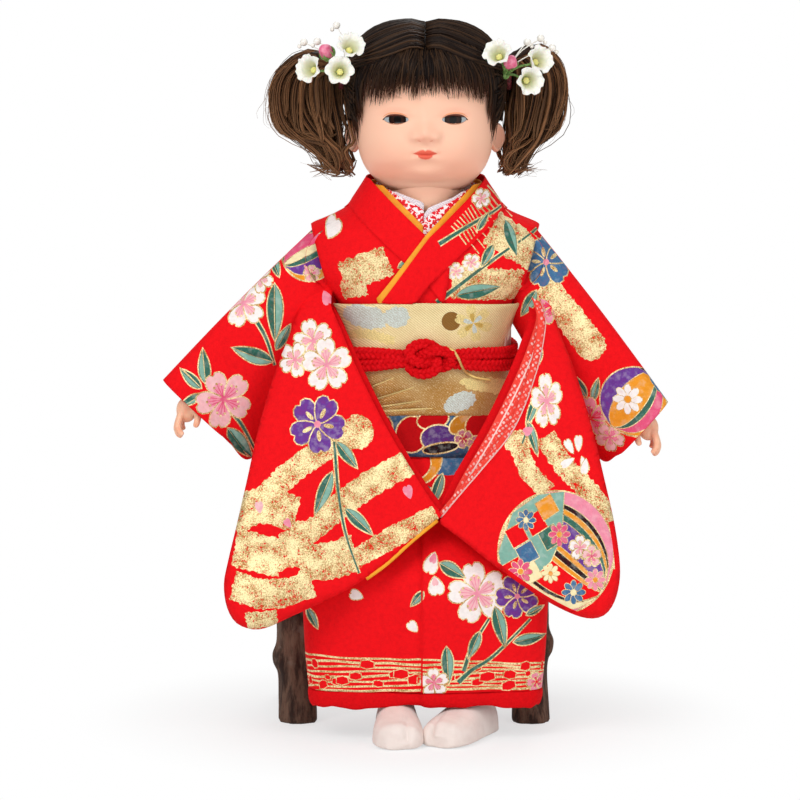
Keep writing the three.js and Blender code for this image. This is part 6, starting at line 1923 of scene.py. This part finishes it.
def print_finish(colours):
    """Crepe cloth with dyed prints and crackled gold foil, whose gold carries painted glints and sheen."""
    made = Finish("printed_crepe", Specular_IOR_Level=0.08)
    paint = made.paint()
    kind = made.kind()
    where = made.where()
    grain = made.noise(2600, 2, 0.6, where)
    slubs = made.noise(420, 3, 0.6, where)
    worn = made.noise(820, 4, 0.72, where)
    patch = made.noise(130, 2, 0.5, where)
    painted_glint = made.noise(1500, 3, 0.65, where)
    wash = made.noise(260, 3, 0.6, where)
    foil = (kind > 0.75) * (worn + patch * 0.3).step(0.545, 0.575)
    inked = (kind > 0.06) * (kind < 0.25)
    line = (kind > 0.25) * (kind < 0.75)
    gold = foil.above(line)
    dyed = made.mix(kind > 0.75, paint, made.mix(0.12, tuple(colours.robe_red), ink("#7A3A1A")))
    dyed = made.mix(inked * wash.step(0.5, 0.75) * 0.3, dyed, made.mix(0.35, dyed, tuple(colours.robe_red)))
    dyed = made.mix(inked * (1 - wash.step(0.3, 0.55)) * 0.16, dyed, ink("#FBF3EC"))
    shaded = made.mix(slubs.step(0.35, 0.75) * 0.3, dyed, made.mix(0.35, dyed, (0.02, 0.0, 0.004)))
    # Foil and gold lines: bronze to pale gold by noise, as painted glints and sheen on the metal.
    metal = made.mix((painted_glint * 0.75 + patch * 0.4).step(0.42, 0.7), ink("#A8742F"), ink("#FFEDB6"))
    made.set("Base Color", made.mix(gold, shaded, metal))
    made.set("Metallic", gold * 0.35)
    made.set("Roughness", 0.8 - gold * 0.4)
    made.emboss(grain * 0.5 + slubs * 1.1 + gold * 0.12, 0.55, 0.0006)
    return made.material


def lining_finish(colours):
    """Plain red lining and felt-like hem cloth."""
    made = Finish("red_lining", Roughness=0.9, Specular_IOR_Level=0.06)
    slubs = made.noise(700, 4, 0.65)
    folds = made.noise(150, 2)
    light, dark = (tuple(c * share for c in colours.robe_red) for share in (0.86, 0.55))
    made.set("Base Color", made.mix(slubs.step(0.3, 0.75) * 0.4, light, dark))
    made.emboss(slubs + folds * 0.8, 0.5, 0.0006)
    return made.material


def weave_finish(name, colour, shade, scale=1500, rough=0.8):
    """Fine plain weave in one colour."""
    made = Finish(name, Roughness=rough, Specular_IOR_Level=0.25)
    where = made.where()
    warp = (made.axis("X", where) * scale * 6.28).sine() * (made.axis("Z", where) * scale * 6.28).sine()
    tone = made.noise(180, 3, 0.55, where)
    made.set("Base Color", made.mix(tone.step(0.3, 0.75) * 0.5, colour, shade))
    made.emboss(warp * 0.4 + tone, 0.3, 0.0004)
    return made.material


def juban_finish():
    """White under-collar with a dense red figure."""
    made = Finish("under_collar", Roughness=0.75, Specular_IOR_Level=0.1)
    where = made.where()
    blots = made.noise(520, 2, 0.5, where).step(0.46, 0.5)
    specks = made.cells(760, where).step(0.2, 0.3)
    made.set("Base Color", made.mix(blots * specks, ink("#F8ECEC"), ink("#DE1F2B")))
    made.emboss(made.noise(1400, 2, 0.5, where), 0.4, 0.0004)
    return made.material


def shibori_finish():
    """Tie-dyed under-sleeve: rows of small white squares on coral red, with plain red edges."""
    made = Finish("tie_dyed", Roughness=0.8, Specular_IOR_Level=0.1)
    kind = made.kind()
    where = made.where()
    x, z = made.axis("X", where), made.axis("Z", where)
    sway = made.noise(60, 2, 0.5, where) * 0.004
    dots = ((x * 0.8 + z * 0.6 + sway) * 1428).sine() * ((z * 0.8 - x * 0.6 + sway) * 1428).sine()
    squares = dots.size().step(0.3, 0.8) * made.noise(260, 2, 0.5, where).step(0.38, 0.62)
    seam = (kind > 0.25) * (kind < 0.75)
    made.set("Base Color", made.mix((squares * 0.7 * (kind < 0.25)).above(seam * 0.8), ink("#F0463A"), ink("#FFE9E2")))
    made.emboss(squares, 0.6, 0.0006)
    return made.material


def neckband_finish():
    """Pale lavender pleated crepe, painted darker in the pleat troughs as shade."""
    made = Finish("pleated_white", Roughness=0.8, Specular_IOR_Level=0.2)
    where = made.where()
    pleats = ((made.axis("X", where).size() + made.axis("Z", where)) * 3600).sine()
    tone = made.noise(300, 3, 0.55, where)
    # Painted shade: darker lavender in the pleat troughs, whiter on the crests.
    made.set("Base Color", made.mix(pleats.step(-0.6, 0.9) * 0.6 + tone * 0.3, ink("#E6DBE6"), ink("#FFFAFC")))
    made.emboss(pleats, 0.6, 0.0005)
    return made.material


def brocade_finish(colours):
    """Gold brocade: diagonal twill with woven figures and painted glints."""
    made = Finish("gold_brocade", Specular_IOR_Level=0.25)
    paint = made.paint()
    kind = made.kind()
    where = made.where()
    twill = ((made.axis("X", where) * 0.62 + made.axis("Y", where) * 0.3 + made.axis("Z", where) * 0.78) * 6200).sine()
    painted_glint = made.noise(2000, 2, 0.6, where)
    cloud = made.noise(60, 3, 0.5, where)
    woven = kind > 0.75
    # Paler gold above the cord, browner gold below it.
    high = made.axis("Z", where).step(float(SHIFT[2]) + 0.176, float(SHIFT[2]) + 0.205)
    base = made.mix(cloud.step(0.35, 0.7), tuple(colours.obi_gold), ink("#F0D692"))
    base = made.mix(high, made.mix(0.6, base, ink("#A8682E")), made.mix(0.6, base, ink("#FFF0C0")))
    base = made.mix(twill.step(-0.5, 0.6), made.mix(0.3, base, ink("#8A5C24")), base)
    # Painted glints: bright specks on the ground, and lighter and darker spots in the woven figures.
    base = made.mix(painted_glint.step(0.56, 0.68) * 0.7, base, ink("#FFF0BC"))
    figure = made.mix(painted_glint.step(0.4, 0.62), made.mix(0.4, paint, ink("#8A6A2C")), paint)
    made.set("Base Color", made.mix(woven, base, figure))
    made.set("Metallic", 0.3 + woven * 0.1)
    made.set("Roughness", 0.5 + twill * 0.06 - painted_glint * 0.12)
    made.emboss(twill * 0.5 + painted_glint * 0.8 + woven * 1.2, 0.4, 0.0004)
    return made.material


def cord_finish():
    """Silk cord: fine threads along the strands."""
    made = Finish("red_cord", Roughness=0.7, Specular_IOR_Level=0.06)
    where = made.where()
    threads = ((made.axis("X", where) * 1.3 + made.axis("Z", where) * 2.4 + made.axis("Y", where)) * 7500).sine()
    tone = made.noise(700, 2, 0.5, where)
    made.set("Base Color", made.mix(tone.step(0.3, 0.7), ink("#D80610"), ink("#E8141E")))
    made.emboss(threads * 0.6 + tone, 0.4, 0.0004)
    return made.material


def thread_finish():
    """Twisted gold thread."""
    made = Finish("gold_thread_finish", Metallic=0.85)
    tone = made.noise(2500, 2)
    made.set("Base Color", made.mix(tone, ink("#C9963C"), ink("#FBE39A")))
    made.set("Roughness", 0.28 + tone * 0.15)
    return made.material


def skin_finish():
    """Painted skin with a soft blush, placed by height and width on the head, with painted shade towards the sides and
    under the chin and painted light on the neck.
    """
    made = Finish("face_skin", Specular_IOR_Level=0.2, Coat_Weight=0.08, Coat_Roughness=0.4,
                  Subsurface_Weight=0.06, Subsurface_Scale=0.004)
    paint = made.paint()
    where = made.where()
    x, y, h = ((made.axis(name, where) - float(zero)) * 1000 for name, zero in zip("XYZ", SHIFT))
    x, h = x.size(), h - CHIN_Z

    def spot(at_x, at_h, wide, tall):
        a, b = (x - at_x) / wide, (h - at_h) / tall
        return 1 - (a * a + b * b).step(0.0, 1.0)

    front = 1 - y.step(-22, 0)
    cheek = spot(18, 17, 18, 15) * front * 0.14 + spot(0, 9, 11, 7) * front * 0.1
    lids = spot(EYE_X, EYE_H + 3.0, 10, 4.4) * front * 0.2 + spot(0, 30.5, 7, 4) * front * 0.12
    # Painted shade: a little darker and warmer under the chin and towards the sides and back of the head.
    edge = (1 - h.step(-2, 5)) * 0.06 + y.step(-26, 0) * 0.06
    mottled = made.noise(90, 3, 0.5, where)
    # Painted light: the neck below the chin is lightened to cancel the chin's shadow.
    skin_with_painted_neck_light = made.mix((1 - h.step(-5, -1)) * 0.8, paint, ink("#FFCDB0"))
    made.set("Base Color", made.mix((cheek + lids + edge).above(0.0) * (0.85 + mottled * 0.3), skin_with_painted_neck_light, ink("#F0886A")))
    made.set("Roughness", 0.46 + mottled * 0.08)
    made.emboss(made.noise(1800, 3, 0.5, where), 0.06, 0.0002)
    return made.material


def hand_finish():
    """Skin of the hands."""
    made = Finish("hand_skin", Roughness=0.45, Specular_IOR_Level=0.35, Subsurface_Weight=0.08, Subsurface_Scale=0.003)
    tone = made.noise(160, 3, 0.5)
    made.set("Base Color", made.mix(tone.step(0.35, 0.7), ink("#F6C3A2"), ink("#EFA987")))
    made.emboss(made.noise(1500, 3), 0.08, 0.0002)
    return made.material


def eye_finish():
    """Painted glass eye."""
    made = Finish("glass_eye", Roughness=0.1, Specular_IOR_Level=0.14)
    paint = made.paint()
    made.set("Base Color", made.mix(made.noise(1600, 2) * 0.12, paint, ink("#20120C")))
    return made.material


def hair_finish():
    """Combed silk hair: each lock has its own tone, with fine threads along it."""
    made = Finish("silk_hair", Specular_IOR_Level=0.12)
    paint = made.paint()
    where = made.where()
    fine = made.noise(2400, 2, 0.6, where)
    locks = made.noise(200, 3, 0.6, where)
    shade = (locks * 0.6 + fine * 0.4).step(0.36, 0.68) * 0.55
    made.set("Base Color", made.mix(shade, paint, made.mix(0.5, paint, ink("#0A0504"))))
    made.set("Roughness", 0.4 + fine * 0.16)
    made.emboss(fine, 0.2, 0.0002)
    return made.material


def petal_finish():
    """Folded paper or felt petals."""
    made = Finish("petal_felt", Roughness=0.7, Specular_IOR_Level=0.25, Subsurface_Weight=0.1, Subsurface_Scale=0.002)
    paint = made.paint()
    fibre = made.noise(900, 3, 0.6)
    made.set("Base Color", made.mix(fibre.step(0.4, 0.7) * 0.16, paint, ink("#CFCBB4")))
    made.emboss(fibre, 0.3, 0.0003)
    return made.material


def plain_finish(name, low, high, scale, rough, bump_size=0.0003, **constants):
    """Two tones of one colour with a fine surface."""
    made = Finish(name, **constants)
    tone = made.noise(scale, 3, 0.55)
    made.set("Base Color", made.mix(tone.step(0.3, 0.7), low, high))
    made.set("Roughness", rough + tone * 0.1)
    made.emboss(tone, 0.25, bump_size)
    return made.material


def bark_finish(name, dark, light, ends):
    """Bark: long furrows and pale flakes."""
    made = Finish(name, Specular_IOR_Level=0.25)
    where = made.where()
    stretched = made.node("ShaderNodeMapping", {}, {"Vector": where, "Scale": (1.0, 1.0, 0.22)})
    furrow = made.noise(260, 5, 0.65, stretched)
    flake = made.cells(160, stretched)
    lichen = made.noise(110, 4, 0.6, where).step(0.58, 0.72)
    tone = made.mix(furrow.step(0.36, 0.66), dark, light)
    made.set("Base Color", made.mix(lichen * 0.35, tone, ends))
    made.set("Roughness", 0.7 + furrow * 0.2)
    made.emboss(furrow * 1.4 + flake * 0.5, 0.7, 0.0012)
    return made.material


def board_finish():
    """Oiled board with growth rings and grain along its length."""
    made = Finish("oiled_board", Specular_IOR_Level=0.35)
    where = made.where()
    stretched = made.node("ShaderNodeMapping", {}, {"Vector": where, "Scale": (0.12, 1.0, 1.0)})
    grain = made.noise(420, 4, 0.6, stretched)
    rings = ((made.axis("Y", where) + made.noise(18, 2, 0.5, stretched) * 0.02) * 900).sine()
    made.set("Base Color", made.mix(grain.step(0.3, 0.7) * 0.7 + rings * 0.12, ink("#3E261B"), ink("#7A553B")))
    made.set("Roughness", 0.5 + grain * 0.2)
    made.emboss(grain + rings * 0.3, 0.4, 0.0006)
    return made.material


# The add-on

def colour_setting(name, description, default):
    return FloatVectorProperty(
        name=name, description=description, default=default, subtype="COLOR", size=3, min=0, max=1)


def length_setting(name, description, default):
    return FloatProperty(name=name, description=description, default=default, unit="LENGTH")


class DollColours(bpy.types.PropertyGroup):
    """Colours that change most from doll to doll."""
    robe_red: colour_setting("Robe red", "Ground of the printed cloth and its lining", RED)
    obi_gold: colour_setting("Sash gold", "Ground of the brocade", ink("#D3AC5A"))
    hair: colour_setting("Hair", "Dark tone of the combed hair", ink("#150B08"))
    floor: colour_setting("Floor", "Pale floor and backdrop", (0.93, 0.93, 0.93))


class DollCamera(bpy.types.PropertyGroup):
    """Where the camera stands."""
    distance: length_setting("Distance", "From the doll's middle to the camera", 4.0)
    elevation: FloatProperty(
        name="Elevation", description="Above the horizon", subtype="ANGLE", default=math.radians(8.216))
    width: length_setting("Width", "Width of the picture at the doll", 0.41936)
    target_x: length_setting("Target x", "Sideways place that the camera looks at", -0.013074)
    target_z: length_setting("Target z", "Height that the camera looks at", 0.165608)


SHELF = {}


def finish_for(name, maker, *values):
    """A finish made once and shared."""
    if name not in SHELF:
        SHELF[name] = maker(*values)
    return SHELF[name]


def orange_finish():
    return weave_finish("orange_satin", ink("#F7A72C"), ink("#E08A1C"), 1800, 0.6)


def robe_finishes():
    colours = bpy.context.scene.doll_colours
    return [finish_for("print", print_finish, colours), finish_for("lining", lining_finish, colours)]


class DOLL_OT_stool(bpy.types.Operator):
    """Builds the branch stool"""
    bl_idname = "doll.stool"
    bl_label = "Stool"

    def execute(self, context):
        make_stool(bark_finish("bark", ink("#2E1C15"), ink("#6E5344"), ink("#8C7C70")), board_finish())
        return {"FINISHED"}


class DOLL_OT_feet(bpy.types.Operator):
    """Builds the split-toe socks"""
    bl_idname = "doll.feet"
    bl_label = "Feet"

    def execute(self, context):
        white = weave_finish("white_cotton", ink("#EFE3DC"), ink("#E2D2CA"), 1400)
        for side in SIDES:
            make_tabi(side, white)
        hidden = dict.fromkeys(("right_leg", "left_leg", "right_arm", "left_arm"), finish_for("hand", hand_finish))
        hidden["torso_core"] = weave_finish("stuffed_body", ink("#E9DCCB"), ink("#CDBDA8"), 700, 0.9)
        for name, finish in hidden.items():
            materials = frame["nodes"][name].data.materials
            materials.clear()
            materials.append(finish)
        return {"FINISHED"}


class DOLL_OT_skirt(bpy.types.Operator):
    """Builds the skirt, its hem roll and the waist fold"""
    bl_idname = "doll.skirt"
    bl_label = "Skirt"

    def execute(self, context):
        make_skirt(robe_finishes())
        return {"FINISHED"}


class DOLL_OT_bodice(bpy.types.Operator):
    """Builds the bodice and the collars"""
    bl_idname = "doll.bodice"
    bl_label = "Bodice and collars"

    def execute(self, context):
        make_bodice(robe_finishes(), {
            "neckband": neckband_finish(), "juban": juban_finish(),
            "orange": finish_for("orange", orange_finish)})
        return {"FINISHED"}


class DOLL_OT_sash(bpy.types.Operator):
    """Builds the sash, its cord and the bow"""
    bl_idname = "doll.sash"
    bl_label = "Sash"

    def execute(self, context):
        brocade = brocade_finish(context.scene.doll_colours)
        make_obi(brocade)
        make_cord(cord_finish(), thread_finish())
        make_bow(brocade)
        return {"FINISHED"}


class DOLL_OT_sleeves(bpy.types.Operator):
    """Builds both sleeves and their inner layers"""
    bl_idname = "doll.sleeves"
    bl_label = "Sleeves"

    def execute(self, context):
        juban = shibori_finish()
        for side in SIDES:
            make_sleeve(side, robe_finishes(), juban, finish_for("orange", orange_finish))
            make_hand(side, finish_for("hand", hand_finish))
        return {"FINISHED"}


class DOLL_OT_head(bpy.types.Operator):
    """Builds the head with its painted face and eyes"""
    bl_idname = "doll.head"
    bl_label = "Head"

    def execute(self, context):
        make_head(skin_finish(), eye_finish())
        return {"FINISHED"}


class DOLL_OT_hair(bpy.types.Operator):
    """Builds the hair, pigtails and ties"""
    bl_idname = "doll.hair"
    bl_label = "Hair"

    def execute(self, context):
        tones = {"top": (tuple(context.scene.doll_colours.hair), ink("#46301F"), ink("#54301E")),
                 "tail": (ink("#2A170E"), ink("#976844"), ink("#9C7250"))}
        make_hair(hair_finish(), plain_finish("hair_tie_finish", ink("#3A1013"), ink("#7A1A22"), 900, 0.55), tones)
        return {"FINISHED"}


class DOLL_OT_flowers(bpy.types.Operator):
    """Builds the hair flowers"""
    bl_idname = "doll.flowers"
    bl_label = "Flowers"

    def execute(self, context):
        felt = petal_finish()
        bud = plain_finish("pink_bud", ink("#E8628C"), ink("#F59AB4"), 500, 0.5)
        pearl = plain_finish("pearl_bead", ink("#EDE7DC"), ink("#FBF8F2"), 200, 0.15, 0.0001,
                             Coat_Weight=0.5, Coat_Roughness=0.1)
        stem = plain_finish("green_stem", ink("#5E8A3E"), ink("#8DB668"), 700, 0.55)
        for side in SIDES:
            make_flowers(side, felt, bud, pearl, stem)
        return {"FINISHED"}


class DOLL_OT_stage(bpy.types.Operator):
    """Sets the floor, the light and the camera"""
    bl_idname = "doll.stage"
    bl_label = "Stage"

    def execute(self, context):
        scene = context.scene
        scene.view_settings.view_transform = "Standard"
        view = scene.doll_camera
        floor = Finish("pale_floor", Roughness=0.6, Specular_IOR_Level=0.1)
        floor.set("Base Color", tuple(scene.doll_colours.floor))
        seen = floor.node("ShaderNodeLightPath").above(floor.node("ShaderNodeLightPath", output=3))
        where = floor.where()
        across, along = floor.axis("X", where), floor.axis("Y", where)
        far = (across * across + along * along).step(0.002, 0.035)
        glow = floor.node("ShaderNodeEmission", {}, {"Color": (1, 1, 1), "Strength": 1.0})
        lit = Value(floor, floor.shader.outputs[0])
        mixed = floor.node("ShaderNodeMixShader", {}, {0: seen * (0.6 + far * 0.4), 1: lit, 2: glow})
        floor.show("Material Output", mixed)
        mesh = bpy.data.meshes.new("floor")
        size = 4.0
        corners = [(-size, -size, 0), (size, -size, 0), (size, size, 0), (-size, size, 0)]
        mesh.from_pydata(corners, [], [(0, 1, 2, 3)])
        mesh.materials.append(floor.material)
        ground = bpy.data.objects.new("floor", mesh)
        scene.collection.objects.link(ground)

        world = bpy.data.worlds.new("studio")
        scene.world = world
        sky = Nodes(world)
        seen, through = (sky.node("ShaderNodeLightPath", output=name)
                         for name in ("Is Camera Ray", "Is Transmission Ray"))
        light, white = (sky.node("ShaderNodeBackground", {}, {"Color": (1, 1, 1), "Strength": strength})
                        for strength in (0.5, 1.0))
        mixed = sky.node("ShaderNodeMixShader", {}, {0: seen.above(through), 1: light, 2: white})
        sky.show("World Output", mixed)

        middle = Vector(SHIFT) + Vector((view.target_x, 0, view.target_z))
        for name, at, size, power in (("key", (-0.9, -1.6, 1.7), 1.2, 26), ("fill", (1.3, -1.3, 1.0), 1.4, 10),
                                      ("rim", (0.3, 1.5, 1.6), 1.0, 8)):
            lamp = bpy.data.lights.new(name, "AREA")
            lamp.size = size
            lamp.energy = power
            made = bpy.data.objects.new(name, lamp)
            made.location = at
            made.rotation_euler = (middle - made.location).to_track_quat("-Z", "Y").to_euler()
            scene.collection.objects.link(made)

        lens = bpy.data.cameras.new("camera")
        lens.lens = lens.sensor_width * view.distance / view.width
        lens.clip_end = 20
        camera = bpy.data.objects.new("camera", lens)
        back = Vector((0, -math.cos(view.elevation), math.sin(view.elevation)))
        camera.location = middle + back * view.distance
        camera.rotation_euler = (-back).to_track_quat("-Z", "Y").to_euler()
        scene.collection.objects.link(camera)
        scene.camera = camera
        return {"FINISHED"}


STEPS = (DOLL_OT_stage, DOLL_OT_stool, DOLL_OT_feet, DOLL_OT_skirt, DOLL_OT_bodice, DOLL_OT_sash, DOLL_OT_sleeves,
         DOLL_OT_head, DOLL_OT_hair, DOLL_OT_flowers)


class DOLL_PT_panel(bpy.types.Panel):
    """Lists the doll's settings and steps"""
    bl_idname = "DOLL_PT_panel"
    bl_label = "Ichimatsu doll"
    bl_space_type = "VIEW_3D"
    bl_region_type = "UI"
    bl_category = "Doll"

    def draw(self, context):
        for group in (context.scene.doll_colours, context.scene.doll_camera):
            for name in group.__annotations__:
                self.layout.prop(group, name)
        for step in STEPS:
            self.layout.operator(step.bl_idname)


CLASSES = (DollColours, DollCamera) + STEPS + (DOLL_PT_panel,)


def register():
    for one in CLASSES:
        bpy.utils.register_class(one)
    bpy.types.Scene.doll_colours = PointerProperty(type=DollColours)
    bpy.types.Scene.doll_camera = PointerProperty(type=DollCamera)


def unregister():
    del bpy.types.Scene.doll_colours
    del bpy.types.Scene.doll_camera
    for one in reversed(CLASSES):
        bpy.utils.unregister_class(one)


def main():
    register()
    for step in STEPS:
        group, name = step.bl_idname.split(".")
        getattr(getattr(bpy.ops, group), name)()


if __name__ == "__main__":
    main()
